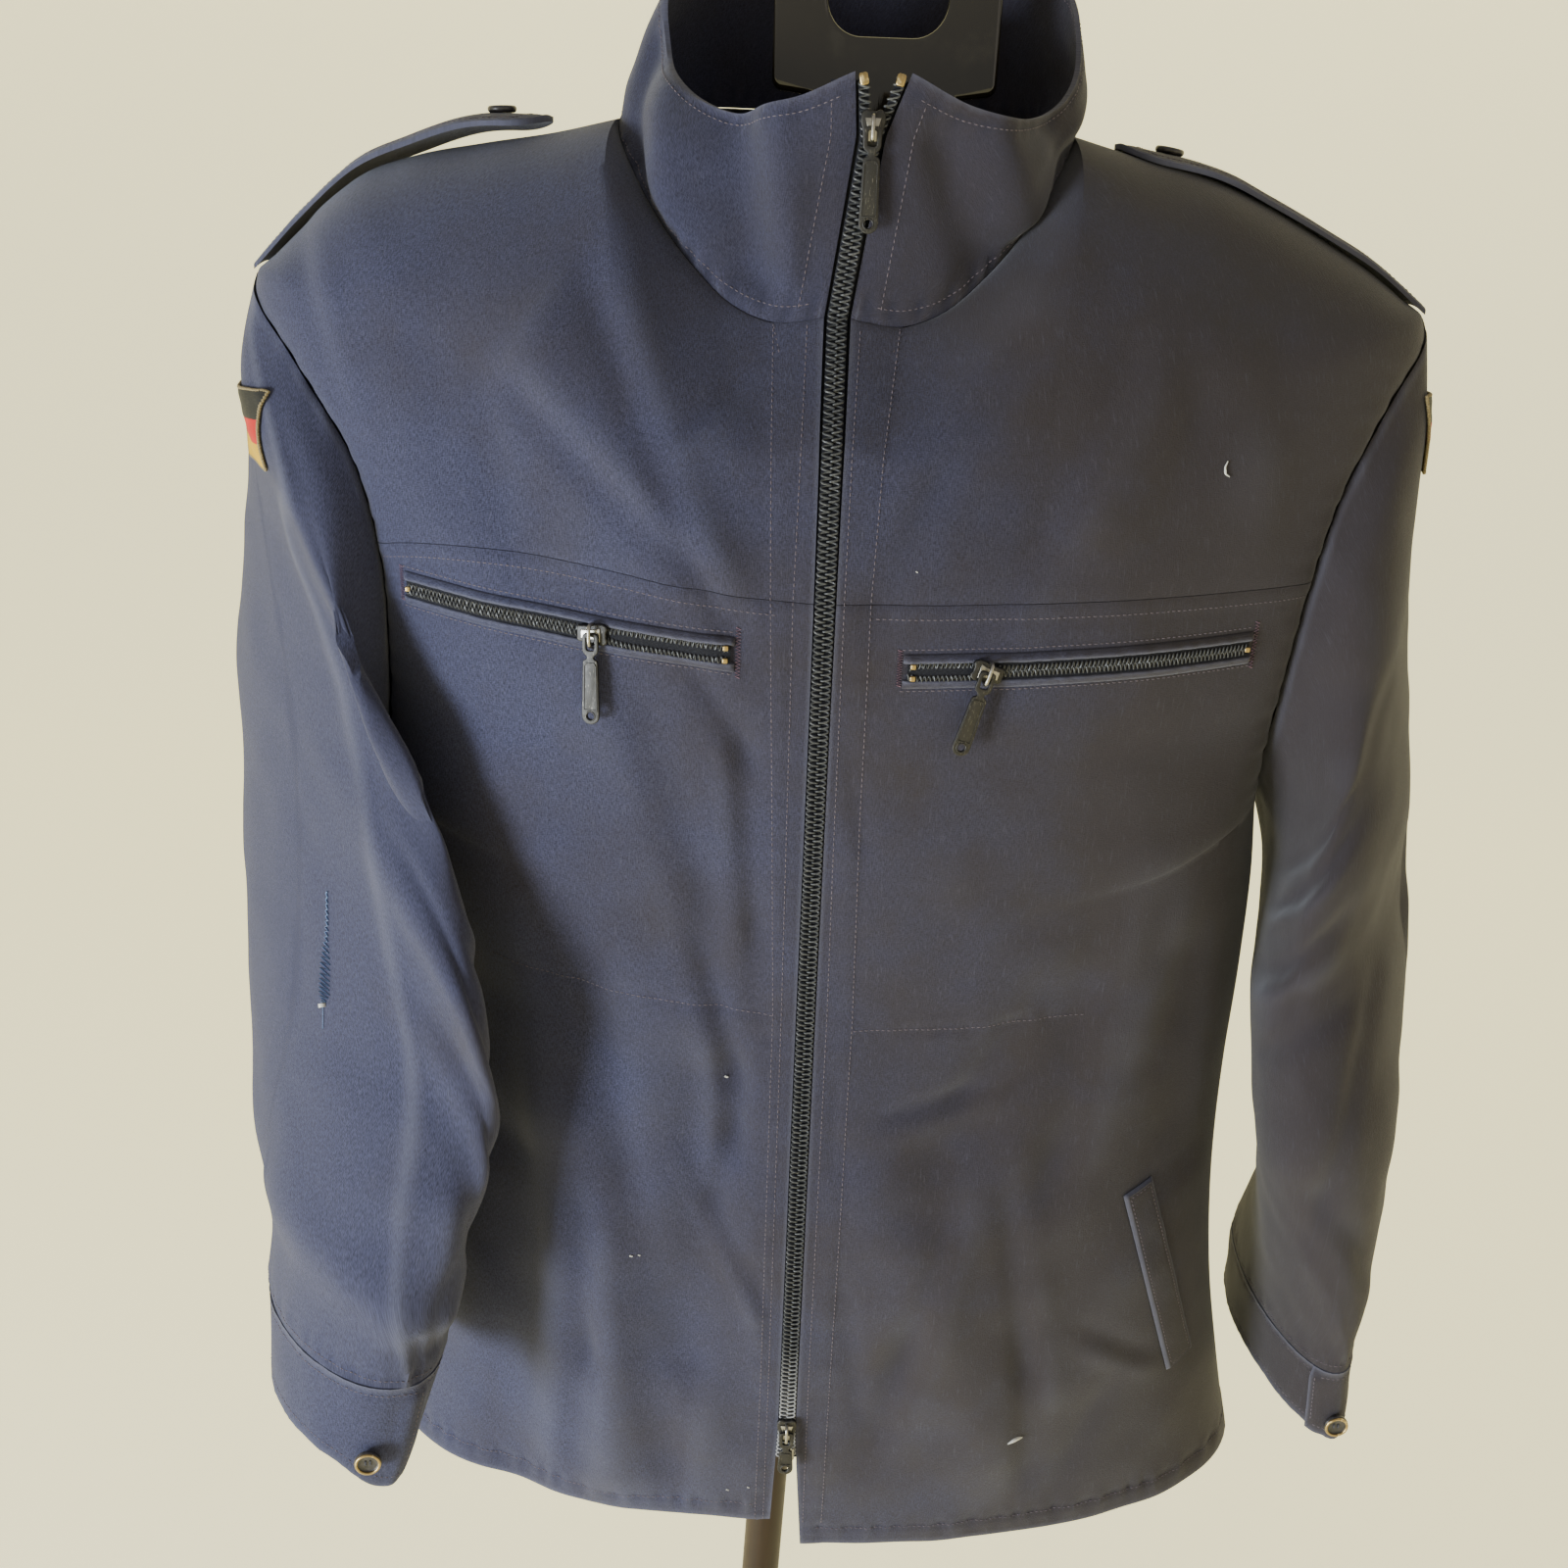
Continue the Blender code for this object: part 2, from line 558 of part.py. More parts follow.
def facing(point, outward, upward=(0, 0, 1)):
    """A frame on a surface: its Z points outward, its Y as near upward as it can."""
    z = Vector(outward).normalized()
    x = Vector(upward).cross(z).normalized()
    y = z.cross(x)
    frame = Matrix((x, y, z)).transposed().to_4x4()
    frame.translation = Vector(point)
    return frame


# ---- fronts, yokes and back ----------------------------------------------------------------------

def half_panel(side, face, levels, inset):
    """A grid of one half's points, drawn back from the side and shoulder seams by half a gap."""
    across, level = np.meshgrid(ACROSS, levels)
    points = torso(side, face, across, level, inset)
    at_side = (across == 1) & (level <= 1)
    at_shoulder = (across >= NECK_SHARE) & (level == 2)
    points[at_side | at_shoulder, 1] += face * SEAM / 2
    return points


def tree_of(points):
    """A grid's surface, cut into the same triangles as the wall made from it."""
    rows, cols = points.shape[:2]
    index = np.arange(rows * cols).reshape(rows, cols)
    a, b, c, d = index[:-1, :-1], index[:-1, 1:], index[1:, 1:], index[1:, :-1]
    faces = np.stack([np.stack([a, b, c], -1), np.stack([a, c, d], -1)]).reshape(-1, 3)
    return BVHTree.FromPolygons(points.reshape(-1, 3).tolist(), faces.tolist())


def on_panel(tree, x, z, lift=0.0):
    """Points straight ahead of a panel at each x and height, lifted off its surface."""
    x, z, lift = np.broadcast_arrays(x, z, lift)
    points = []
    for one_x, one_z, one_lift in zip(x.flat, z.flat, lift.flat):
        hit, normal = tree.ray_cast(Vector((one_x, -1, one_z)), Vector((0, 1, 0)))[:2]
        points.append((one_x, hit.y - one_lift / max(abs(normal.y), 0.3), one_z))
    return np.array(points).reshape(*x.shape, 3)


def part_rows(points, row, step):
    """Draw one row of a grid back from a level seam."""
    points[row, :, 2] += step * SEAM / 2
    return points


FRONT_TREE = {}
for side in (-1, 1):
    lower = [part_rows(half_panel(side, -1, LOWER, inset), -1, -1) for inset in (0.0, WALL)]
    FRONT_TREE[side] = tree_of(lower[0])
    upper = [part_rows(half_panel(side, -1, UPPER, inset), 0, 1) for inset in (0.0, WALL)]
    wall("front_" + side_name(side), *lower, (CLOTH, 0.85), parent=jacket)
    wall("yoke_" + side_name(side), *upper, (CLOTH, 0.85), parent=jacket)

BACK_LEVELS = np.concatenate([LOWER, UPPER[1:]])


def whole_back(inset):
    left, right = (half_panel(side, 1, BACK_LEVELS, inset) for side in (-1, 1))
    return np.concatenate([left[:, :0:-1], right], axis=1)


wall("back", whole_back(0.0), whole_back(WALL), (CLOTH, 0.85), parent=jacket)

# ---- collar --------------------------------------------------------------------------------------

COLLAR_ANGLES = np.concatenate([
    ACROSS[:6] / NECK_SHARE * 90,
    180 - ACROSS[4::-1] / NECK_SHARE * 90,
])


def whole_collar(inset):
    angle, height = np.meshgrid(COLLAR_ANGLES, COLLAR_ROWS)
    left, right = (collar(side, angle, height, inset) for side in (-1, 1))
    return np.concatenate([left, right[:, -2::-1]], axis=1)


wall("collar", whole_collar(0.0), whole_collar(COLLAR_WALL), (CLOTH, 0.85), parent=jacket)

# ---- sleeves and cuffs ---------------------------------------------------------------------------

SLEEVE_RINGS = np.array([0, 0.4, 0.9, 1.4, 2, 2.6, 3.2, 3.8, 4.4, 5, 5.6, 6.2, 6.8, 7.5, 8.2, 9])
CUFF_SLIT = {-1: (118, 5), 1: (112, 16)}  # place of the slit, and how wide it stands open


def sleeve_rings(side, rings, inset, angles):
    angle, ring = np.meshgrid(angles, rings)
    return sleeve(side, angle, ring, inset)


SLEEVE_TREE = {}
for side in (-1, 1):
    tube = [sleeve_rings(side, SLEEVE_RINGS, inset, ROUND) for inset in (0.0, WALL)]
    SLEEVE_TREE[side] = tree_of(np.concatenate([tube[0], tube[0][:, :1]], axis=1))
    wall("sleeve_" + side_name(side), *tube, (CLOTH, 0.85), ring=True, parent=jacket)

for side in (-1, 1):
    slit, wide = CUFF_SLIT[side]
    angles = np.linspace(slit + wide / 2, slit + 360 - wide / 2, 21)
    band = [sleeve_rings(side, np.linspace(9, 10, 3), inset, angles) for inset in (-0.0004, WALL)]
    for points in band:
        points[0, :, 2] -= SEAM
    wall("cuff_" + side_name(side), *band, (CLOTH, 0.85), parent=jacket)

# ---- shoulder straps with their buttons ----------------------------------------------------------

# The straps' height over the distance from the centre line
STRAP = columns(
    "across  left    right",
    (0.1240, 1.3920, 1.3900),
    (0.1400, 1.3925, 1.3870),
    (0.1700, 1.3910, 1.3808),
    (0.1950, 1.3830, 1.3700),
    (0.2200, 1.3720, 1.3580),
    (0.2450, 1.3510, 1.3445),
    (0.2680, 1.3275, 1.3275),
)
STRAP_START = {-1: 0.1335, 1: 0.1240}  # distance of each strap's round end from the centre line
STRAP_END = 0.268
STRAP_HALF = 0.0235
STRAP_WALL = 0.0022


def strap(side, along, beside, lift):
    """A point of a strap: along 0 at its round end to 1 at the sleeve; beside -1 to 1."""
    across = STRAP_START[side] + (STRAP_END - STRAP_START[side]) * along
    height = read(STRAP, side_name(side), across) + lift
    tip = np.sqrt(np.clip(1 - (1 - np.clip(along / 0.14, 0, 1)) ** 2, 0.02, 1))
    half = STRAP_HALF * (0.9 + 0.1 * along) * tip
    arch = 0.0035 * (beside * tip) ** 2
    return np.stack([side * across, half * beside, height - arch], -1)


BUTTON_PROFILE = ((0, 0), (0.0060, 0), (0.0066, 0.0008), (0.0066, 0.0022), (0.0058, 0.0030),
                  (0.0046, 0.0022), (0, 0.0022))

for side in (-1, 1):
    along = np.array([0, 0.03, 0.07, 0.14, 0.28, 0.42, 0.56, 0.70, 0.85, 1.0])
    beside, along = np.meshgrid(np.linspace(-1, 1, 5), along)
    above, below = (strap(side, along, beside, lift) for lift in (0.0, -STRAP_WALL))
    wall("strap_" + side_name(side), above, below, (CLOTH, 0.85), parent=jacket)
    seat = strap(side, np.array(0.17), np.array(0.0), SEAM)
    uphill = strap(side, np.array(0.20), np.array(0.0), SEAM) - seat
    outward = Vector((-side * uphill[2], 0, abs(uphill[0])))
    turned("strap_button_" + side_name(side), BUTTON_PROFILE, (BUTTON, 0.4), 16, jacket,
           facing(seat, outward, (0, 1, 0)))

CUFF_BUTTON = {-1: (96, 9.72), 1: (88, 9.72)}  # angle and ring of each cuff's button
for side in (-1, 1):
    angle, ring = CUFF_BUTTON[side]
    seat = sleeve(side, angle, ring)
    beside = sleeve(side, angle + 2, ring) - seat
    below = sleeve(side, angle, ring + 0.05) - seat
    outward = Vector(np.cross(beside, below))
    outward = outward if outward.y < 0 else -outward
    outward.normalize()
    turned("cuff_button_" + side_name(side), BUTTON_PROFILE, (BUTTON, 0.4), 16, jacket,
           facing(Vector(seat) + outward * 0.0011, outward))


def on_sleeve(side, y, z, lift):
    """Points straight out from a sleeve at each y and height, lifted off its surface."""
    points = []
    for one_y, one_z in zip(y.flat, z.flat):
        hit, normal = SLEEVE_TREE[side].ray_cast(Vector((side, one_y, one_z)), Vector((-side, 0, 0)))[:2]
        points.append((hit.x + side * lift / max(abs(normal.x), 0.3), one_y, one_z))
    return np.array(points).reshape(*y.shape, 3)


# ---- flag patches on the upper sleeves -----------------------------------------------------------

FLAG_PLACE = {-1: (-0.028, 1.2595), 1: (-0.012, 1.2715)}  # front to back, and height
FLAG_WIDE, FLAG_TALL = 0.050, 0.034
for side in (-1, 1):
    middle, height = FLAG_PLACE[side]
    beside, up = np.meshgrid(np.linspace(-0.5, 0.5, 9) * FLAG_WIDE, np.linspace(-0.5, 0.5, 6) * FLAG_TALL)
    patch = [on_sleeve(side, middle + beside, height + up, lift) for lift in (0.0024, 0.0013)]
    wall("flag_" + side_name(side), *patch, ((0.35, 0.05, 0.03), 0.8), parent=jacket)

# ---- welts of the slanted hand pockets -----------------------------------------------------------

WELT_TOP = (0.1735, 0.8940)      # middle of the welt's upper end
WELT_FOOT = (0.2140, 0.7705)     # and of its lower end
WELT_WIDE = 0.0165
WELT_SEAT = {-1: 0.0018, 1: 0.0012}  # lift of each welt off the front's facets
WELT_SHARE = {-1: 0.97, 1: 1.0}  # the left front is narrower at the hem
for side in (-1, 1):
    top, foot = (Vector(end) for end in (WELT_TOP, WELT_FOOT))
    run = (foot - top).normalized()
    beside, along = np.meshgrid(np.linspace(-0.5, 0.5, 5), np.linspace(0, 1, 25))
    x = top.x + (foot.x - top.x) * along + WELT_WIDE * beside * -run.y
    z = top.y + (foot.y - top.y) * along + WELT_WIDE * beside * run.x
    lifts = (WELT_SEAT[side] + WALL, WELT_SEAT[side])
    welt = [on_panel(FRONT_TREE[side], side * x * WELT_SHARE[side], z, lift) for lift in lifts]
    wall("welt_" + side_name(side), *welt, (CLOTH, 0.85), parent=jacket)

# ---- the front zip -------------------------------------------------------------------------------

# Inner edge of each half of the closed chain, parted below the lower slider and above the upper
CHAIN = columns(
    "height left    right",
    (0.738, 0.0010, 0.0014),
    (0.765, 0.00015, 0.00015),
    (0.900, 0.00015, 0.00015),
    (1.250, 0.00015, 0.00015),
    (1.384, 0.00015, 0.00015),
    (1.406, 0.0052, 0.0058),
)
CHAIN_WIDE = 0.0039
CHAIN_PROUD = 0.0008       # the coil stands this far out of the cloth
TAPE_FRONT, TAPE_REAR = 0.0028, 0.0038
TAPE_WIDE = 0.0150
ZIP_LOW, ZIP_HIGH = 0.738, 1.406


def zip_strip(side, insets, edges):
    """A strip beside the front opening: a grid whose columns run from one edge to the other."""
    grid = []
    for edge, inset in zip(edges, insets):
        x, y, z = front_line(side, inset)
        rows = np.concatenate([[ZIP_LOW], z[(z > ZIP_LOW + 0.005) & (z < ZIP_HIGH - 0.002)], [ZIP_HIGH]])
        out = ramp(CHAIN, side_name(side), rows) + edge
        bend = ease((rows - 1.23) / 0.08) * out**2 / 0.17
        grid.append(np.stack([np.interp(rows, z, x) + side * out, np.interp(rows, z, y) + bend, rows], -1))
    return np.stack(grid, axis=1)


for side in (-1, 1):
    name = side_name(side)
    coil = zip_strip(side, (0.0006, -CHAIN_PROUD, -CHAIN_PROUD, 0.0006), (0, 0.0008, 0.0031, CHAIN_WIDE))
    root = zip_strip(side, (0.0025,) * 4, (0, 0.0008, 0.0031, CHAIN_WIDE))
    wall("zip_chain_" + name, coil, root, (TAPE, 0.5), parent=jacket)
    tape = [zip_strip(side, (inset,) * 2, (0, TAPE_WIDE)) for inset in (TAPE_FRONT, TAPE_REAR)]
    wall("zip_tape_" + name, *tape, (TAPE, 0.9), parent=jacket)

# ---- chest pocket zips ---------------------------------------------------------------------------

# Each end of a pocket's zip: distance from the centre line and height
POCKETS = {-1: ((0.1880, 1.1895), (0.0395, 1.1765)), 1: ((0.0365, 1.1722), (0.1905, 1.1790))}
POCKET_HALF = 0.0048


def pocket_point(side, share, beside, lift):
    """A point on a chest pocket's zip: share along it, beside in metres, lift off the cloth."""
    (x0, z0), (x1, z1) = POCKETS[side]
    x = side * (x0 + (x1 - x0) * share)
    return on_panel(FRONT_TREE[side], x, z0 + (z1 - z0) * share + beside, lift)


for side in (-1, 1):
    beside, share = np.meshgrid(np.array([-1, -0.35, 0.35, 1]) * POCKET_HALF, np.linspace(0, 1, 29))
    lift = np.where(np.abs(beside) < 0.9 * POCKET_HALF, 0.0024, 0.0015)
    outside = pocket_point(side, share, beside, lift)
    inside = pocket_point(side, share, beside, 0.0006)
    wall("pocket_zip_" + side_name(side), outside, inside, (TAPE, 0.5), parent=jacket)

# ---- sliders and pulls ---------------------------------------------------------------------------

SLIDER_THICK = 0.0024
PIVOT_OUT = 0.0040         # from the slider's back to the axis of its pull
BAIL_HALF = 0.0008
PULL_THICK = 0.0014


def box(corner, far):
    made = bmesh.new()
    bmesh.ops.create_cube(made, size=1.0)
    low, high = Vector(corner), Vector(far)
    for vert in made.verts:
        vert.co = Vector(low[i] if vert.co[i] < 0 else high[i] for i in range(3))
    return made


def slider(name, seat, lengthwise, lean=(0, 0, 0)):
    """A slider on its zip, seen in the XZ plane, with the bail that its pull's bar turns in.
    A crosswise slider lies along X and has its bail at one end.
    """
    holder = empty(name + "_frame", seat, jacket)
    holder.rotation_euler = lean
    half_x, half_z = (0.0050, 0.0072) if lengthwise else (0.0070, 0.0050)
    outline = [(x * 0.8 if z > 0 else x, z) for x, z in rounded(half_x, -half_z, half_z, 0.0025, 2)]
    frame = Matrix.Translation((0, -SLIDER_THICK / 2, 0))
    body = plate(name, outline, SLIDER_THICK, (METAL, 0.35, 1.0), holder, frame, bevel=0.0005)
    bail = add(name + "_bail", box((-BAIL_HALF, -0.0068, -0.0052), (BAIL_HALF, -0.0014, 0.0052)),
               (METAL, 0.35, 1.0), holder)
    eye = add(name + "_eye", box((-0.01, -0.0056, -0.0040), (0.01, -0.0010, 0.0040)),
              (METAL, 0.35, 1.0), holder)
    for guide in (bail, eye):
        guide.hide_render = True
        guide.display_type = "WIRE"
    cut = bail.modifiers.new("eye", "BOOLEAN")
    cut.operation = "DIFFERENCE"
    cut.object = eye
    join = body.modifiers.new("bail", "BOOLEAN")
    join.operation = "UNION"
    join.object = bail
    return holder


def pull(name, holder, length):
    """A flat pull hanging from a slider: an eye, a narrow neck and a round-ended tab."""
    axis = empty(name + "_axis", (0, -PIVOT_OUT, 0), holder)
    tab_top = -0.0105
    right = [(0.0036, 0.0008), (0.0036, -0.0080), (0.0016, -0.0092)]
    right += [(0.0016, tab_top), (0.0034, tab_top - 0.0012)]
    end = [(0.0040 * cos(t), 0.0040 * sin(t) - length + 0.0040) for t in np.linspace(0, -pi, 7)]
    outline = right + end + [(-x, z) for x, z in reversed(right)]
    opening = rounded(0.0019, -0.0066, -0.0006, 0.0008, 1)
    ring = [(0.0016 * cos(t), 0.0016 * sin(t) - length + 0.0038) for t in np.linspace(0, 2 * pi, 9)[:-1]]
    plate(name, outline[::-1], PULL_THICK, (METAL, 0.35, 1.0), axis, holes=(opening, ring))


def on_front(height):
    """Where a slider of the front zip lies, clear of the coil all along it."""
    x, y, z = front_line(1, 0.0)
    rows = np.linspace(height - 0.008, height + 0.008, 9)
    middle = float(np.interp(height, z, x))
    return (middle, float(np.interp(rows, z, y).min()) - CHAIN_PROUD - SEAM, height)


def on_pocket(side, share):
    """Where a pocket's slider lies, and how it leans with the cloth."""
    step = 0.007 / 0.15
    near, far = pocket_point(side, np.array([share - step, share + step]), 0.0, 0.0024)
    turn = atan2(far[1] - near[1], far[0] - near[0])
    face = pocket_point(side, np.linspace(share - step, share + step, 7)[:, None],
                        np.array([-0.0048, -0.0017, 0.0017, 0.0048]), 0.0024)
    flat = face[..., 1] - (face[..., 0] - near[0]) * np.tan(turn)
    middle = (near + far) / 2
    y = flat.min() + (middle[0] - near[0]) * np.tan(turn)
    return (middle[0], y - SEAM / cos(turn), middle[2]), turn


pull("pull_top", slider("slider_top", on_front(1.3880), True), 0.040)
pull("pull_bottom", slider("slider_bottom", on_front(0.7600), True), 0.026)
for side, share, length, lean in ((-1, 0.60, 0.040, 0), (1, 0.22, 0.038, radians(16))):
    name = "pocket_" + side_name(side)
    seat, turn = on_pocket(side, share)
    pull("pull_" + name, slider("slider_" + name, seat, False, (0, lean, turn)), length)

# ---- the stand -----------------------------------------------------------------------------------

POST_RADIUS = 0.0116
BASE_TOP = 0.046
POST_TOP = 1.262
FORM_MIDDLE = 1.366        # top of the shoulder form under the handle
FORM_HALF = 0.218
FORM_FLAT = 0.088          # half width of its level middle
FORM_TALL, FORM_TALL_END = 0.050, 0.028
FORM_DEEP, FORM_DEEP_END = 0.036, 0.016
WOOD = (0.16, 0.07, 0.025)
PLASTIC = (0.010, 0.010, 0.012)

BASE_PROFILE = ((0, 0), (0.156, 0), (0.160, 0.004), (0.160, 0.013), (0.154, 0.019), (0.070, 0.024),
                (0.034, 0.030), (0.024, 0.038), (0.022, BASE_TOP), (0, BASE_TOP))
turned("stand_base", BASE_PROFILE, (WOOD, 0.4), 40)
POST_PROFILE = ((0, BASE_TOP + SEAM), (POST_RADIUS, BASE_TOP + SEAM), (POST_RADIUS, POST_TOP), (0, POST_TOP))
turned("stand_post", POST_PROFILE, (WOOD, 0.35), 24)


def form_ring(x, count=16):
    """One section of the shoulder form, which follows the shoulder seams from below."""
    reach = abs(x) / FORM_HALF
    worn = x - HANG_SHIFT
    seam = float(read(SHOULDER, side_name(worn), max(abs(worn), NECK_HALF))) - WALL - 0.0007
    middle = float(ease((abs(worn) - FORM_FLAT) / 0.045))
    top = FORM_MIDDLE + (seam - FORM_MIDDLE) * middle
    taper = float(np.sqrt(max(1 - reach**6, 0.02)))
    tall = (FORM_TALL + (FORM_TALL_END - FORM_TALL) * reach) * taper
    deep = (FORM_DEEP + (FORM_DEEP_END - FORM_DEEP) * reach) * taper
    turns = [2 * pi * (i + 0.5) / count for i in range(count)]
    return [(x, deep * cos(t), top - tall / 2 + tall / 2 * sin(t)) for t in turns]


made = bmesh.new()
stations = FORM_HALF * np.sin(np.linspace(-pi / 2, pi / 2, 19))
rings = [[made.verts.new(point) for point in form_ring(x)] for x in stations]
for near, far in zip(rings, rings[1:]):
    for i in range(len(near)):
        n = (i + 1) % len(near)
        made.faces.new((near[i], near[n], far[n], far[i]))
made.faces.new(rings[0])
made.faces.new(rings[-1])
add("shoulder_form", made, (PLASTIC, 0.15), form)

SOCKET_TOP = FORM_MIDDLE - FORM_TALL - SEAM
SOCKET_PROFILE = ((0, POST_TOP + 0.0008), (0.0135, POST_TOP + 0.0008), (0.017, POST_TOP + 0.010),
                  (0.019, SOCKET_TOP - 0.006), (0.024, SOCKET_TOP), (0, SOCKET_TOP))
turned("form_socket", SOCKET_PROFILE, (PLASTIC, 0.2), 24, form)

STEM_LOW = FORM_MIDDLE + SEAM
upper = rounded(0.0505, 1.407, 1.492, 0.024, 5)
stem = [(-0.034, 1.4068), (-0.034, STEM_LOW), (0.034, STEM_LOW), (0.034, 1.4068)]
lowest = [(x, z) for x, z in rounded(0.0505, 1.407, 1.440, 0.005, 3) if z < 1.42]
lower_right = [point for point in lowest if point[0] > 0]
lower_left = [point for point in lowest if point[0] < 0]
top_arc = [point for point in upper if point[1] > 1.45]
outline = stem + lower_right + top_arc + lower_left
grip = rounded(0.0265, 1.4300, 1.4660, 0.0150, 4)
plate("handle_plate", outline, 0.012, (PLASTIC, 0.1), form, holes=(grip,), bevel=0.0015)
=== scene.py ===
import json
import bmesh
import bpy
import numpy as np
from math import atan2, cos, pi, radians, sin
from mathutils import Matrix, Vector
from mathutils.bvhtree import BVHTree

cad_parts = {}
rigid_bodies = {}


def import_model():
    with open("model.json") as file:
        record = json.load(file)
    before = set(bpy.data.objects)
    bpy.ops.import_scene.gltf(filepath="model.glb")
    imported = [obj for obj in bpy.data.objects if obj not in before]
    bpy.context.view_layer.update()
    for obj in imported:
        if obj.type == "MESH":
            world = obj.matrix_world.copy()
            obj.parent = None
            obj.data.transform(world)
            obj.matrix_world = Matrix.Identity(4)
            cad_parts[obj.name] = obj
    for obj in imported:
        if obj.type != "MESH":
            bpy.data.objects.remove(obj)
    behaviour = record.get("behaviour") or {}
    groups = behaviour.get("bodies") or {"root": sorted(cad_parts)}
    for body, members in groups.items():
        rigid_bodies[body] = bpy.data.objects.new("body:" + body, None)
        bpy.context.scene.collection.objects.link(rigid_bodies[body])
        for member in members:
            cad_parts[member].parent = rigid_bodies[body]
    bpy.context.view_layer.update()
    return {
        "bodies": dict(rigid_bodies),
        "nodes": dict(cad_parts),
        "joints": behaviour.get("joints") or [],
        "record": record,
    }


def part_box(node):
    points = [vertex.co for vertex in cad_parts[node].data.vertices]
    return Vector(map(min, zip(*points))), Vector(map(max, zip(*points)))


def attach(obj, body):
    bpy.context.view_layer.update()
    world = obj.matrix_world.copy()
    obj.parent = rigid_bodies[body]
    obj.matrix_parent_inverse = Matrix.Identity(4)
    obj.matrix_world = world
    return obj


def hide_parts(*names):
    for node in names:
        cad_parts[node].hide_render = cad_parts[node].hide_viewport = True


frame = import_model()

# ==== Camera ==========================================================================
# Eye level in front of the jacket's collar, looking down at it, and turned a little
# clockwise, as a hand-held picture is. The lens takes in the jacket and nothing below it.
EYE = (-0.022, -0.775, 1.354)
DOWN = radians(20.0)
ROLL = radians(4.24)

camera = bpy.data.objects.new("camera", bpy.data.cameras.new("camera"))
camera.data.sensor_width = 36.0
camera.data.lens = 36.0
camera.data.clip_start = 0.05
camera.matrix_world = (
    Matrix.Translation(EYE) @ Matrix.Rotation(pi / 2 - DOWN, 4, "X") @ Matrix.Rotation(ROLL, 4, "Z")
)
bpy.context.collection.objects.link(camera)
bpy.context.scene.camera = camera

# ==== Stand: base and post ============================================================
# A turned beech base stained brown, heavy enough to carry the jacket, and a round post
# let into its collar. The post's varnish has gone patchy where hands lift it.
POST_RADIUS = 0.0116
WOOD_LIGHT = (0.030, 0.014, 0.006)
WOOD_DARK = (0.010, 0.005, 0.002)


class Nodes:
    """A material whose nodes are added and wired in one line each."""

    def __init__(self, name):
        self.material = bpy.data.materials.new(name)
        self.material.use_nodes = True
        self.tree = self.material.node_tree
        self.shader = self.tree.nodes["Principled BSDF"]

    def add(self, kind, inputs=None, **settings):
        node = self.tree.nodes.new("ShaderNode" + kind)
        for name, value in settings.items():
            setattr(node, name, value)
        for name, value in (inputs or {}).items():
            socket = node.inputs[name]
            if hasattr(value, "is_output"):
                self.tree.links.new(value, socket)
            else:
                socket.default_value = value
        return node.outputs

    def set(self, **inputs):
        for name, value in inputs.items():
            socket = self.shader.inputs[name.replace("_", " ")]
            if hasattr(value, "is_output"):
                self.tree.links.new(value, socket)
            else:
                socket.default_value = value

    def ramp(self, factor, *stops):
        out = self.add("ValToRGB", {"Fac": factor})
        ramp = out[0].node.color_ramp
        while len(ramp.elements) < len(stops):
            ramp.elements.new(0.5)
        for element, (place, colour) in zip(ramp.elements, stops):
            element.position = place
            element.color = (*colour, 1.0) if len(colour) == 3 else colour
        return out[0]

    def mix(self, factor, first, second, blend="MIX"):
        out = self.add("Mix", data_type="RGBA", blend_type=blend)
        node = out[0].node
        for socket, value in ((node.inputs[0], factor), (node.inputs[6], first), (node.inputs[7], second)):
            if hasattr(value, "is_output"):
                self.tree.links.new(value, socket)
            else:
                socket.default_value = value if isinstance(value, float) else (*value, 1.0)
        return node.outputs[2]

    def sum(self, first, second, how="ADD", third=None):
        out = self.add("Math", operation=how)
        for socket, value in zip(out[0].node.inputs, (first, second, third)):
            if hasattr(value, "is_output"):
                self.tree.links.new(value, socket)
            elif value is not None:
                socket.default_value = value
        return out[0]

    def bump(self, height, strength, distance, under=None):
        inputs = {"Height": height, "Strength": strength, "Distance": distance}
        if under is not None:
            inputs["Normal"] = under
        return self.add("Bump", inputs)[0]


def wood():
    """Straight-grained stained beech under old varnish."""
    m = Nodes("stained_wood")
    place = m.add("TexCoord")["Object"]
    long = m.add("Mapping", {"Vector": place, "Scale": (60.0, 60.0, 3.0)})[0]
    grain = m.add("TexNoise", {"Vector": long, "Scale": 1.0, "Detail": 6.0, "Roughness": 0.6})["Fac"]
    fleck_at = m.add("Mapping", {"Vector": place, "Scale": (700.0, 700.0, 60.0)})[0]
    fleck = m.add("TexNoise", {"Vector": fleck_at, "Scale": 1.0, "Detail": 2.0})["Fac"]
    wear = m.add("TexNoise", {"Vector": place, "Scale": 18.0, "Detail": 3.0})["Fac"]
    stain = m.ramp(grain, (0.30, WOOD_DARK), (0.72, WOOD_LIGHT))
    stain = m.mix(m.ramp(fleck, (0.60, (0, 0, 0)), (0.72, (0.5, 0.5, 0.5))), stain, WOOD_DARK)
    m.set(Base_Color=stain, Roughness=m.sum(wear, 0.25, "MULTIPLY_ADD", 0.36), Specular_IOR_Level=0.25)
    m.set(Normal=m.bump(grain, 0.25, 0.0006))
    return m.material


WOOD = wood()


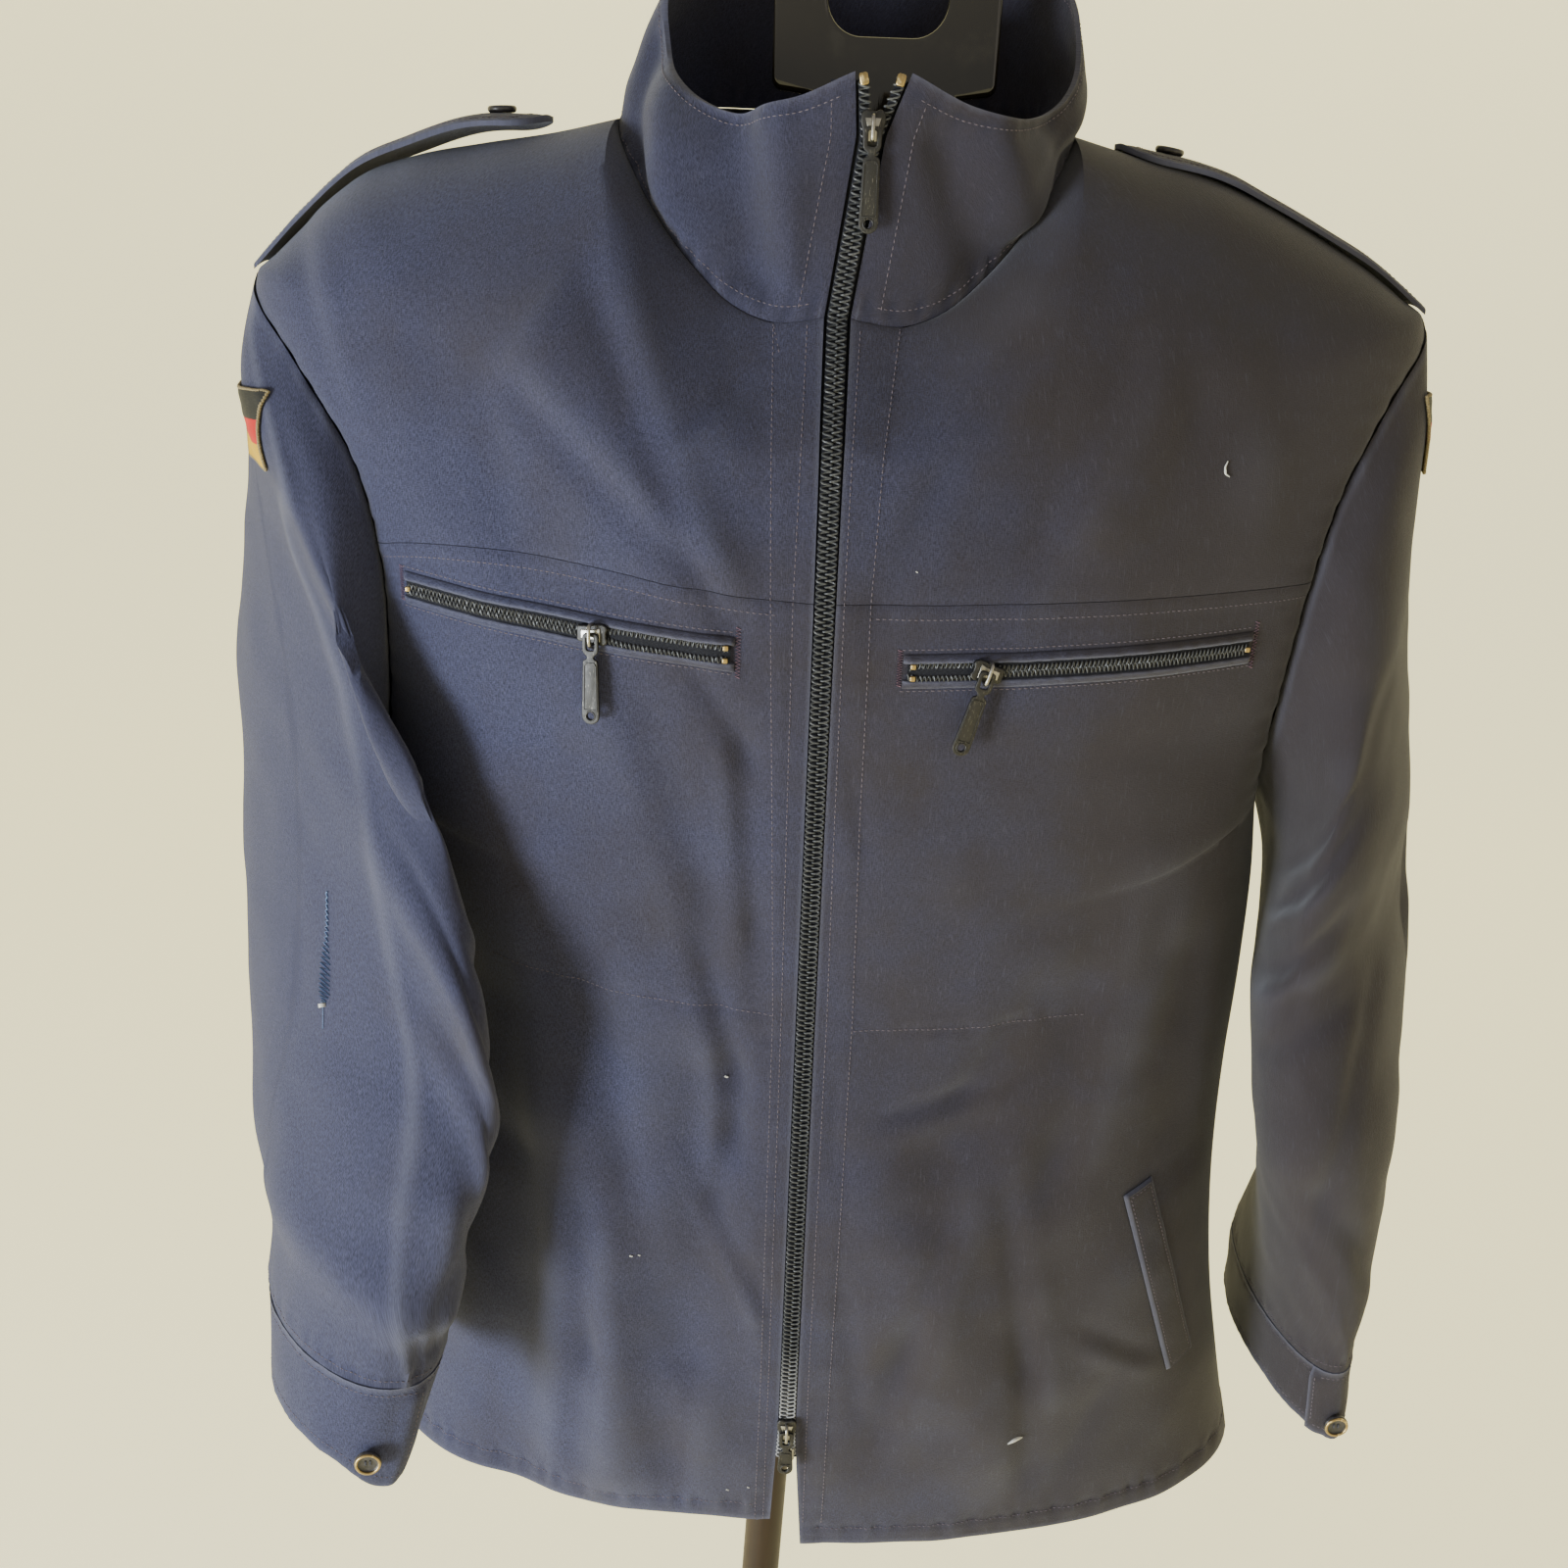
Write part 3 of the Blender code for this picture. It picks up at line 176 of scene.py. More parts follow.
def mesh_object(name, points, faces, material, uvs=None, wear=None, smooth=True, sharp=50):
    """A mesh piece from points and faces, in the row frame."""
    mesh = bpy.data.meshes.new(name)
    mesh.from_pydata([tuple(p) for p in points], [], [tuple(f) for f in faces])
    mesh.validate()
    if uvs is not None:
        layer = mesh.uv_layers.new(name="cloth")
        corner = np.empty(len(mesh.loops), np.int32)
        mesh.loops.foreach_get("vertex_index", corner)
        layer.uv.foreach_set("vector", np.asarray(uvs, np.float32)[corner].ravel())
    if wear is not None:
        mesh.attributes.new("wear", "FLOAT", "POINT").data.foreach_set("value", np.asarray(wear, np.float32))
    if smooth:
        mesh.shade_smooth()
        mesh.set_sharp_from_angle(angle=radians(sharp))
    mesh.materials.append(material)
    made = bpy.data.objects.new(name, mesh)
    bpy.context.collection.objects.link(made)
    return made


def turned(name, profile, material, segments=96, place=None):
    """A turned piece about Z from (radius, height) points, bottom to top."""
    points, faces, rings = [], [], []
    for radius, height in profile:
        count = segments if radius > 0 else 1
        rings.append((len(points), count))
        turn = np.arange(count) * 2 * pi / segments
        ring = np.stack([radius * np.cos(turn), radius * np.sin(turn), 0 * turn + height], -1)
        points.extend(ring)
    for (low, low_count), (high, high_count) in zip(rings, rings[1:]):
        for i in range(segments):
            j = (i + 1) % segments
            face = [low + i % low_count, low + j % low_count, high + j % high_count, high + i % high_count]
            faces.append(list(dict.fromkeys(face)))
    if place is not None:
        points = [place @ Vector(p) for p in points]
    return mesh_object(name, points, faces, material)


def rounded_profile(corners, radius, steps=5):
    """A turned profile whose inner corners are rounded off."""
    corners = [np.array(c, float) for c in corners]
    out = [corners[0]]
    for before, corner, after in zip(corners, corners[1:], corners[2:]):
        if corner[0] <= 0:
            out.append(corner)
            continue
        back, on = before - corner, after - corner
        reach = min(radius, 0.45 * np.linalg.norm(back), 0.45 * np.linalg.norm(on))
        start = corner + back / np.linalg.norm(back) * reach
        end = corner + on / np.linalg.norm(on) * reach
        for t in np.linspace(0, 1, steps):
            out.append((1 - t) ** 2 * start + 2 * t * (1 - t) * corner + t * t * end)
    out.append(corners[-1])
    return [tuple(p) for p in out]


BASE_CORNERS = (
    (0, 0), (0.157, 0), (0.160, 0.003), (0.160, 0.014), (0.152, 0.0195), (0.136, 0.0205), (0.132, 0.0190),
    (0.070, 0.0240), (0.034, 0.0300), (0.0245, 0.0380), (0.0225, 0.0460), (0.0130, 0.0460), (0, 0.0455),
)
base = turned("turned_base", rounded_profile(BASE_CORNERS, 0.004), WOOD, 128)
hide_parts("stand_base")
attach(base, "jacket")

post_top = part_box("stand_post")[1].z
post_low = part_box("stand_post")[0].z
POST_CORNERS = ((0, post_low), (POST_RADIUS, post_low), (POST_RADIUS, post_top), (0, post_top))
post = turned("round_post", rounded_profile(POST_CORNERS, 0.002), WOOD, 64)
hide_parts("stand_post")
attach(post, "jacket")

# ==== Stand: shoulder form, socket and handle =========================================
# Glossy black plastic: a sleeveless shoulder form, the socket that holds it on the post,
# and the flat carrying handle that stands up through the neck, with a D-shaped hole.
ASKEW = radians(-1.9)          # the form and the jacket hang a little askew on the post
HANG_HEIGHT = 1.40
HANG_SHIFT = -0.017
HUNG = Matrix.Translation((0, 0, HANG_HEIGHT)) @ Matrix.Rotation(ASKEW, 4, "Y")
FORM_PLACE = HUNG @ Matrix.Translation((0, 0, -HANG_HEIGHT))
JACKET_PLACE = HUNG @ Matrix.Translation((HANG_SHIFT, 0, -HANG_HEIGHT))


def black_plastic():
    """Injection-moulded black plastic, polished, dusty and finely scratched."""
    m = Nodes("black_plastic")
    place = m.add("TexCoord")["Object"]
    dust = m.add("TexNoise", {"Vector": place, "Scale": 38.0, "Detail": 8.0, "Roughness": 0.7})["Fac"]
    streak_at = m.add("Mapping", {"Vector": place, "Rotation": (0.2, 0.9, 0.1), "Scale": (900.0, 60.0, 40.0)})[0]
    streak = m.add("TexNoise", {"Vector": streak_at, "Scale": 1.0, "Detail": 2.0})["Fac"]
    film = m.ramp(dust, (0.56, (0.011, 0.009, 0.006)), (0.85, (0.032, 0.028, 0.020)))
    m.set(Base_Color=film, Roughness=m.sum(m.sum(dust, 0.10, "MULTIPLY"), 0.02))
    m.set(Specular_IOR_Level=0.6, Normal=m.bump(streak, 0.04, 0.0004))
    return m.material


PLASTIC = black_plastic()
for name in ("shoulder_form", "form_socket"):
    node = frame["nodes"][name]
    node.data.materials.clear()
    node.data.materials.append(PLASTIC)

HANDLE_HALF = 0.0505           # half width of the handle's plate
HANDLE_LOW, HANDLE_HIGH = 1.407, 1.492
HANDLE_THICK = 0.012
STEM_HALF = 0.034
STEM_LOW = 1.3663
GRIP_HALF, GRIP_LOW, GRIP_HIGH, GRIP_ROUND = 0.0265, 1.4300, 1.4660, 0.0150


def arc(centre_x, centre_z, radius, start, end, steps):
    turns = np.radians(np.linspace(start, end, steps + 1))
    return [(centre_x + radius * cos(t), centre_z + radius * sin(t)) for t in turns]


def handle():
    """The plate with its hole cut through and every edge rolled over."""
    right = [(STEM_HALF, STEM_LOW), (STEM_HALF, HANDLE_LOW - 0.0015)]
    right += arc(HANDLE_HALF - 0.005, HANDLE_LOW + 0.0048, 0.005, -90, 0, 5)
    right += arc(HANDLE_HALF - 0.024, HANDLE_HIGH - 0.024, 0.024, 0, 90, 12)
    outline = right + [(-x, z) for x, z in reversed(right)]
    hole = arc(GRIP_HALF - GRIP_ROUND, GRIP_LOW + GRIP_ROUND, GRIP_ROUND, -90, 0, 10)
    hole += arc(GRIP_HALF - 0.006, GRIP_HIGH - 0.006, 0.006, 0, 90, 5)
    hole = hole + [(-x, z) for x, z in reversed(hole)]
    made = bmesh.new()
    loops = []
    for loop in (outline, hole):
        verts = [made.verts.new((x, -HANDLE_THICK / 2, z)) for x, z in loop]
        loops.append([made.edges.new((a, b)) for a, b in zip(verts, verts[1:] + verts[:1])])
    filled = bmesh.ops.triangle_fill(made, edges=loops[0] + loops[1], use_beauty=True)
    faces = [f for f in filled["geom"] if isinstance(f, bmesh.types.BMFace)]
    grown = bmesh.ops.extrude_face_region(made, geom=faces)
    moved = [v for v in grown["geom"] if isinstance(v, bmesh.types.BMVert)]
    bmesh.ops.translate(made, verts=moved, vec=(0, HANDLE_THICK, 0))
    bmesh.ops.recalc_face_normals(made, faces=made.faces)
    rims = [e for e in made.edges if len(e.link_faces) == 2 and e.calc_face_angle(0) > radians(50)
            and abs(e.verts[0].co.y - e.verts[1].co.y) < 1e-6]
    bmesh.ops.bevel(made, geom=rims, offset=0.0022, segments=4, profile=0.5, affect="EDGES")
    made.transform(FORM_PLACE)
    mesh = bpy.data.meshes.new("handle")
    made.to_mesh(mesh)
    mesh.shade_smooth()
    mesh.set_sharp_from_angle(angle=radians(35))
    mesh.materials.append(PLASTIC)
    plate = bpy.data.objects.new("carrying_handle", mesh)
    bpy.context.collection.objects.link(plate)
    return plate


grip = handle()
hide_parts("handle_plate")
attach(grip, "jacket")

# ==== Fronts and yokes ================================================================
# Navy cotton twill, cut as two lower fronts and two yokes that are felled together across
# the chest. The cloth hangs from the shoulder seams and is drawn in at the waist.
WALL = 0.0016              # one layer of cloth, with its seam allowances
SEAM = 0.0003              # gap that sewn pieces keep
NECK_SHARE = 0.4           # share of a front's width that ends on the neck seam
NECK_HALF = 0.1025         # half width of the neck seam
NECK_FRONT = 0.0885        # depth of the neck seam in front of the shoulder line
NECK_BACK = 0.078          # and behind it
TIP = 0.2688               # half width between the shoulder tips
ARM_CENTRE = 1.2068        # height of the armhole's centre
ARM_HALF = 0.1168          # half the armhole's height
ARM_FRONT = 0.070          # how far the armhole reaches forward
ARM_BACK = 0.080           # and back
CHEST_FRONT = 1.200        # height of the chest seam at the front zip
CHEST_BACK = 1.215         # and of the same level on the back
CHEST_ARCH = 0.054         # the left chest seam rises over the pocket, by about 0.15 of this


def columns(names, *rows):
    """A table whose first column is what the others are read against."""
    return dict(zip(names.split(), np.array(rows, float).T))


# The body below the armpits: half widths to each side, depths before and behind the shoulder line
TORSO = columns(
    "height left   right  front  back",
    (0.670, 0.236, 0.268, 0.112, 0.112),
    (0.740, 0.222, 0.252, 0.118, 0.113),
    (0.800, 0.212, 0.240, 0.123, 0.113),
    (0.870, 0.202, 0.232, 0.125, 0.111),
    (0.940, 0.197, 0.230, 0.121, 0.107),
    (1.000, 0.198, 0.231, 0.118, 0.105),
    (1.045, 0.209, 0.230, 0.120, 0.108),
    (1.090, 0.222, 0.226, 0.123, 0.112),
    (1.200, 0.222, 0.226, 0.126, 0.118),
    (1.260, 0.222, 0.226, 0.118, 0.116),
    (1.314, 0.222, 0.226, 0.103, 0.108),
    (1.400, 0.222, 0.226, 0.092, 0.098),
)

# The armhole, from the shoulder tip at 0 degrees to the armpit at 180: half widths of the body
ARMHOLE = columns(
    "angle left   right",
    (0,   0.2688, 0.2688),
    (27,  0.2655, 0.2672),
    (50,  0.2410, 0.2474),
    (72,  0.2150, 0.2290),
    (94,  0.2040, 0.2200),
    (120, 0.2050, 0.2170),
    (150, 0.2130, 0.2200),
    (180, 0.2220, 0.2260),
)

# The neck seam's height, from the centre front at 0 degrees round to the centre back at 180
NECKLINE = columns(
    "angle height",
    (0,   1.3137),
    (12,  1.3110),
    (24,  1.3175),
    (37,  1.3335),
    (51,  1.3535),
    (65,  1.3725),
    (90,  1.3925),
    (130, 1.4010),
    (180, 1.4030),
)

# The shoulder seam's height over the distance from the centre line
SHOULDER = columns(
    "across  left    right",
    (0.1025, 1.3925, 1.3925),
    (0.1300, 1.3860, 1.3855),
    (0.1650, 1.3800, 1.3780),
    (0.1950, 1.3740, 1.3665),
    (0.2200, 1.3650, 1.3540),
    (0.2450, 1.3440, 1.3400),
    (0.2688, 1.3235, 1.3235),
)

# The hem's height, from the centre line at 0 to the side seam at 1
HEM = columns(
    "across front_left front_right back_left back_right",
    (0.00,  0.6927,    0.6746,     0.6800,   0.6800),
    (0.45,  0.6909,    0.6794,     0.6810,   0.6810),
    (1.00,  0.6840,    0.6860,     0.6840,   0.6860),
)

# Half of the gap between the front edges, filled by the zip, and parted below and above it
GAP = columns(
    "height left   right",
    (0.670, 0.0076, 0.0104),
    (0.735, 0.0052, 0.0058),
    (0.765, 0.0046, 0.0046),
    (1.250, 0.0046, 0.0046),
    (1.314, 0.0056, 0.0056),
    (1.385, 0.0060, 0.0060),
    (1.412, 0.0118, 0.0125),
)

# The largest folds of the body: face -1 front, +1 back, from one end to the other, and how far
# the cloth stands out (or sinks in, where negative)
FOLDS = columns(
    "face x0      z0     x1      z1     width  depth",
    (-1, -0.120, 1.300, -0.055, 1.215, 0.020,  0.0055),
    (-1, -0.175, 1.290, -0.120, 1.205, 0.022, -0.0040),
    (-1, -0.045, 0.960, -0.050, 0.800, 0.018, -0.0060),
    (-1, -0.110, 0.930, -0.095, 0.720, 0.024,  0.0060),
    (-1, -0.150, 0.900, -0.150, 0.700, 0.022, -0.0060),
    (-1,  0.050, 0.900,  0.110, 0.740, 0.024,  0.0055),
    (-1,  0.120, 1.000,  0.060, 0.900, 0.022, -0.0050),
    (-1,  0.185, 1.020,  0.200, 0.900, 0.018, -0.0045),
    (-1,  0.150, 1.310,  0.120, 1.240, 0.022,  0.0035),
    (1,  -0.120, 1.330, -0.150, 1.180, 0.024,  0.0060),
    (1,   0.120, 1.330,  0.150, 1.180, 0.024,  0.0060),
    (1,  -0.060, 1.000, -0.090, 0.720, 0.026,  0.0070),
    (1,   0.080, 0.980,  0.060, 0.700, 0.026,  0.0065),
    (1,   0.000, 0.960,  0.010, 0.740, 0.024, -0.0060),
    (1,  -0.150, 0.900, -0.160, 0.700, 0.022, -0.0050),
    (1,   0.160, 0.920,  0.160, 0.700, 0.024, -0.0055),
)


def ease(t):
    t = np.clip(t, 0, 1)
    return t * t * (3 - 2 * t)


def read(table, name, at):
    """One column of a table as a smooth curve over its first column."""
    knots = next(iter(table.values()))
    values = table[name]
    slopes = np.gradient(values, knots)
    at = np.clip(at, knots[0], knots[-1])
    left = np.clip(np.searchsorted(knots, at) - 1, 0, len(knots) - 2)
    step = knots[left + 1] - knots[left]
    t = (at - knots[left]) / step
    level = values[left] * (1 + 2 * t) * (1 - t) ** 2 + values[left + 1] * t * t * (3 - 2 * t)
    return level + step * (slopes[left] * t * (1 - t) ** 2 + slopes[left + 1] * t * t * (t - 1))


def ramp(table, name, at):
    """One column of a table, straight from row to row."""
    return np.interp(at, next(iter(table.values())), table[name])


def side_name(side):
    return "left" if side < 0 else "right"


def stand_out(folds, keep, across, up, ends, tips=1.0):
    """Sum of the folds that pass a point; each is a soft ridge or trough along a line, and its
    tips run out the slower, the lower their number is.
    """
    x0, y0, x1, y1 = (folds[name] for name in ends)
    total = np.zeros(np.broadcast(across, up).shape)
    for i in np.flatnonzero(keep):
        run, rise = x1[i] - x0[i], y1[i] - y0[i]
        free = ((across - x0[i]) * run + (up - y0[i]) * rise) / (run * run + rise * rise)
        along = np.clip(free, 0, 1)
        gone = (across - x0[i] - along * run) ** 2 + (up - y0[i] - along * rise) ** 2
        gone = gone - (1 - tips**2) * (free - along) ** 2 * (run * run + rise * rise)
        total = total + folds["depth"][i] * np.exp(-gone / folds["width"][i] ** 2)
    return total


def top_edge(side, face, across, inset):
    """The neck seam, then the shoulder seam: distance out, depth and height."""
    turn = np.clip(across / NECK_SHARE, 0, 1) * pi / 2
    deep = (NECK_FRONT if face < 0 else NECK_BACK) - inset
    gap = ramp(GAP, side_name(side), 1.314) if face < 0 else 0.0
    neck_x = gap * (1 - np.sin(turn)) + NECK_HALF * np.sin(turn)
    neck_angle = np.degrees(turn) if face < 0 else 180 - np.degrees(turn)
    neck_z = read(NECKLINE, "height", neck_angle) - inset * np.sin(turn)
    share = np.clip((across - NECK_SHARE) / (1 - NECK_SHARE), 0, 1)
    seam_x = NECK_HALF + (TIP - NECK_HALF) * share
    seam_z = read(SHOULDER, side_name(side), seam_x) - inset
    on_neck = across < NECK_SHARE
    return (
        np.where(on_neck, neck_x, seam_x),
        np.where(on_neck, deep * np.cos(turn), 0.0),
        np.where(on_neck, neck_z, seam_z),
    )


def torso(side, face, across, level, inset=0.0):
    """A point of the body: across 0 at the centre line to 1 at the side seam or armhole; level
    0 at the hem, 1 at the armpit, 1.5 at the chest seam, 2 at the neck and shoulder seams.
    The inset is the depth below the cloth's outside.
    """
    across, level = np.broadcast_arrays(np.asarray(across, float), np.asarray(level, float))
    name = side_name(side)
    up = np.clip(level - 1, 0, 1)
    angle = pi * (1 - up)
    bite = inset * ease(up * 4)
    top_x, top_deep, top_z = top_edge(side, face, across, inset)

    hem = read(HEM, ("front_" if face < 0 else "back_") + name, across)
    armpit = 1.045 + (ARM_CENTRE - ARM_HALF - 1.045) * across**2 + bite * across**2
    chest = CHEST_FRONT if face < 0 else CHEST_BACK
    chest = chest + (ARM_CENTRE - chest) * across
    if face < 0 and side < 0:
        chest = chest + CHEST_ARCH * across**2 * (1 - across)
    rise = (1 - across) * 2 * up + across * (1 - np.cos(pi * up))
    upper = chest + (top_z - chest) * np.sin(pi * (up - 0.5))
    z = np.where(up <= 0.5, armpit + (chest - armpit) * rise, upper)
    z = np.where(level <= 1, hem + (armpit - hem) * level, z)

    edge_hem = read(HEM, ("front_" if face < 0 else "back_") + name, 1.0)
    edge_z = edge_hem + (ARM_CENTRE - ARM_HALF - edge_hem) * np.clip(level, 0, 1)
    low_edge = read(TORSO, name, edge_z)
    edge = np.where(level <= 1, low_edge, read(ARMHOLE, name, np.degrees(angle)))
    edge = edge - inset + bite
    gap = ramp(GAP, name, z) if face < 0 else 0.0
    shift = top_x - (gap + (TIP - gap) * across)
    x = gap + (edge - gap) * across + shift * ease((level - 1.3) / 0.7)

    middle = read(TORSO, "front" if face < 0 else "back", z) - inset
    arm_deep = ((ARM_FRONT if face < 0 else ARM_BACK) - bite) * np.sin(angle)
    roundness = 2.2 - 0.95 * ease(up * 3)
    flank = (1 - across**2.2) ** (1 / roundness)
    body = arm_deep + (middle - arm_deep) * flank
    on_shoulder = ease(across / NECK_SHARE)
    roll = (0.05 + 0.06 * on_shoulder) * (1 - across**4) + 1e-6
    sharp = 1.3 + 0.9 * on_shoulder
    over = (1 - (1 - np.clip((top_z - z) / roll, 0, 1)) ** sharp) ** (1 / sharp)
    deep = top_deep + (body - top_deep) * over
    free = (1 - across**6) * ease(across * 8) * (1 - ease((level - 1.7) / 0.3))
    deep = deep + free * stand_out(FOLDS, FOLDS["face"] == face, side * x, z, ("x0", "z0", "x1", "z1"))
    return np.stack([side * x, face * deep, z], -1)


# Creases worn into the cloth, finer than the folds
CREASES = columns(
    "face x0      z0     x1      z1     width   depth",
    (-1, -0.128, 1.274, -0.066, 1.219, 0.0072, -0.0029),
    (-1, -0.122, 1.278, -0.060, 1.225, 0.0105,  0.0021),
    (-1, -0.097, 1.312, -0.055, 1.215, 0.0083, -0.0025),
    (-1, -0.055, 1.215, -0.039, 1.186, 0.0075, -0.0023),
    (-1, -0.088, 1.312, -0.047, 1.214, 0.0105,  0.0019),
    (-1, -0.117, 1.322, -0.158, 1.264, 0.0053,  0.0009),
    (-1, -0.150, 1.275, -0.140, 1.225, 0.0090, -0.0011),
    (-1, -0.058, 1.271, -0.042, 1.284, 0.0053, -0.0013),
    (-1, -0.060, 1.264, -0.046, 1.272, 0.0053,  0.0011),
    (-1, -0.050, 1.160, -0.033, 1.132, 0.0060, -0.0021),
    (-1, -0.033, 1.132, -0.026, 1.048, 0.0067, -0.0025),
    (-1, -0.026, 1.048, -0.025, 1.006, 0.0060, -0.0015),
    (-1, -0.041, 1.130, -0.034, 1.050, 0.0090,  0.0017),
    (-1, -0.050, 1.030, -0.034, 0.967, 0.0067, -0.0029),
    (-1, -0.034, 0.967, -0.033, 0.935, 0.0067, -0.0030),
    (-1, -0.033, 0.935, -0.040, 0.900, 0.0060, -0.0029),
    (-1, -0.043, 0.975, -0.041, 0.925, 0.0090,  0.0023),
    (-1, -0.075, 1.142, -0.049, 1.057, 0.0105, -0.0017),
    (-1, -0.049, 1.057, -0.036, 0.989, 0.0090, -0.0015),
    (-1, -0.090, 1.130, -0.066, 1.060, 0.0135,  0.0013),
    (-1, -0.106, 1.017, -0.086, 0.920, 0.0120, -0.0021),
    (-1, -0.086, 0.920, -0.065, 0.822, 0.0120, -0.0023),
    (-1, -0.094, 1.000, -0.074, 0.905, 0.0135,  0.0019),
    (-1, -0.109, 0.880, -0.106, 0.799, 0.0083, -0.0030),
    (-1, -0.106, 0.799, -0.113, 0.730, 0.0090, -0.0030),
    (-1, -0.098, 0.860, -0.094, 0.740, 0.0120,  0.0029),
    (-1, -0.121, 0.850, -0.127, 0.730, 0.0105,  0.0023),
    (-1, -0.056, 0.910, -0.020, 0.836, 0.0067,  0.0015),
    (-1, -0.020, 0.836, -0.014, 0.800, 0.0067,  0.0013),
    (-1, -0.048, 0.900, -0.017, 0.846, 0.0067, -0.0013),
    (-1, -0.137, 1.015, -0.128, 0.925, 0.0120,  0.0017),
    (-1, -0.128, 0.925, -0.120, 0.855, 0.0120,  0.0017),
    (-1, -0.074, 0.800, -0.060, 0.725, 0.0105, -0.0019),
    (-1, -0.040, 0.790, -0.046, 0.720, 0.0105,  0.0017),
    (-1,  0.123, 1.300,  0.079, 1.206, 0.0090, -0.0015),
    (-1,  0.135, 1.300,  0.092, 1.210, 0.0135,  0.0011),
    (-1,  0.077, 1.299,  0.042, 1.246, 0.0083, -0.0013),
    (-1,  0.042, 1.246,  0.026, 1.205, 0.0075, -0.0013),
    (-1,  0.064, 1.300,  0.034, 1.250, 0.0120,  0.0011),
    (-1,  0.144, 1.316,  0.154, 1.281, 0.0090, -0.0009),
    (-1,  0.154, 1.281,  0.141, 1.236, 0.0090, -0.0009),
    (-1,  0.176, 1.300,  0.186, 1.240, 0.0135,  0.0011),
    (-1,  0.053, 0.950,  0.077, 0.957, 0.0060, -0.0021),
    (-1,  0.077, 0.957,  0.095, 0.985, 0.0067, -0.0015),
    (-1,  0.055, 0.942,  0.086, 0.950, 0.0090,  0.0014),
    (-1,  0.074, 0.880,  0.060, 0.815, 0.0090, -0.0025),
    (-1,  0.060, 0.815,  0.048, 0.760, 0.0090, -0.0025),
    (-1,  0.083, 0.885,  0.066, 0.770, 0.0120,  0.0019),
    (-1,  0.107, 0.885,  0.123, 0.796, 0.0075, -0.0021),
    (-1,  0.123, 0.796,  0.131, 0.730, 0.0090, -0.0025),
    (-1,  0.116, 0.880,  0.135, 0.780, 0.0105,  0.0017),
    (-1,  0.138, 1.031,  0.129, 0.924, 0.0135, -0.0021),
    (-1,  0.129, 0.924,  0.115, 0.885, 0.0120, -0.0017),
    (-1,  0.152, 1.035,  0.144, 0.900, 0.0150,  0.0019),
    (-1,  0.179, 1.040,  0.165, 0.983, 0.0105,  0.0017),
    (-1,  0.011, 1.136,  0.021, 1.096, 0.0053, -0.0011),
    (-1,  0.016, 0.961,  0.016, 0.925, 0.0045, -0.0011),
    (-1,  0.026, 0.845,  0.036, 0.773, 0.0060, -0.0015),
    (-1,  0.158, 0.812,  0.182, 0.792, 0.0067, -0.0013),
    (-1,  0.163, 0.795,  0.190, 0.778, 0.0067,  0.0011),
    (-1,  0.165, 0.760,  0.150, 0.715, 0.0090, -0.0017),
    (-1, -0.236, 1.320, -0.221, 1.271, 0.0075, -0.0023),
    (-1, -0.228, 1.325, -0.213, 1.265, 0.0090,  0.0015),
    ( 1, -0.140, 1.320, -0.070, 1.250, 0.0105, -0.0017),
    ( 1,  0.140, 1.320,  0.070, 1.250, 0.0105, -0.0017),
    ( 1, -0.110, 1.180, -0.060, 1.080, 0.0120, -0.0015),
    ( 1,  0.120, 1.160,  0.070, 1.090, 0.0120, -0.0015),
    ( 1, -0.040, 1.010, -0.055, 0.880, 0.0090, -0.0025),
    ( 1,  0.030, 1.010,  0.040, 0.900, 0.0090, -0.0021),
    ( 1, -0.120, 1.005, -0.112, 0.860, 0.0105, -0.0025),
    ( 1,  0.110, 1.005,  0.120, 0.840, 0.0105, -0.0025),
    ( 1, -0.010, 0.860, -0.020, 0.730, 0.0120, -0.0023),
    ( 1,  0.075, 0.850,  0.088, 0.720, 0.0120, -0.0025),
    ( 1, -0.080, 0.840, -0.070, 0.720, 0.0120,  0.0021),
    ( 1,  0.150, 0.990,  0.170, 0.870, 0.0105,  0.0019),
    ( 1, -0.160, 0.990, -0.150, 0.880, 0.0105,  0.0019),
)

# Lines of stitching beside the zip: their distances from the centre line
PLACKET = columns(
    "height left_inner left_outer right_inner right_outer",
    (0.690, 0.0105,    0.0150,    0.0110,     0.0210),
    (0.800, 0.0105,    0.0145,    0.0100,     0.0210),
    (1.000, 0.0115,    0.0155,    0.0100,     0.0220),
    (1.100, 0.0125,    0.0190,    0.0088,     0.0200),
    (1.200, 0.0135,    0.0230,    0.0082,     0.0195),
    (1.260, 0.0128,    0.0250,    0.0085,     0.0215),
    (1.314, 0.0125,    0.0270,    0.0100,     0.0270),
)
CHEST_STITCH = 0.0062      # the chest seam is stitched down this far below itself
HEM_STITCH = 0.0112        # and the hem this far above its edge
WAIST = {-1: (0.155, 1.010, 0.014, 0.999), 1: (0.135, 0.996, 0.022, 0.993)}  # waist channel: x, z to x, z
DOUBLED = 0.0005           # how far a second layer raises the cloth


def puckers(along, beside, period, reach):
    """Small gathers that sewing draws across a seam, dying out beside it."""
    beat = np.sin(2 * pi * along / period + 1.7 * np.sin(along * 97.0))
    beat = beat + 0.5 * np.sin(2 * pi * along / (period * 0.61) + 2.3 * np.sin(along * 41.0))
    return beat * np.exp(-((beside / reach) ** 2))


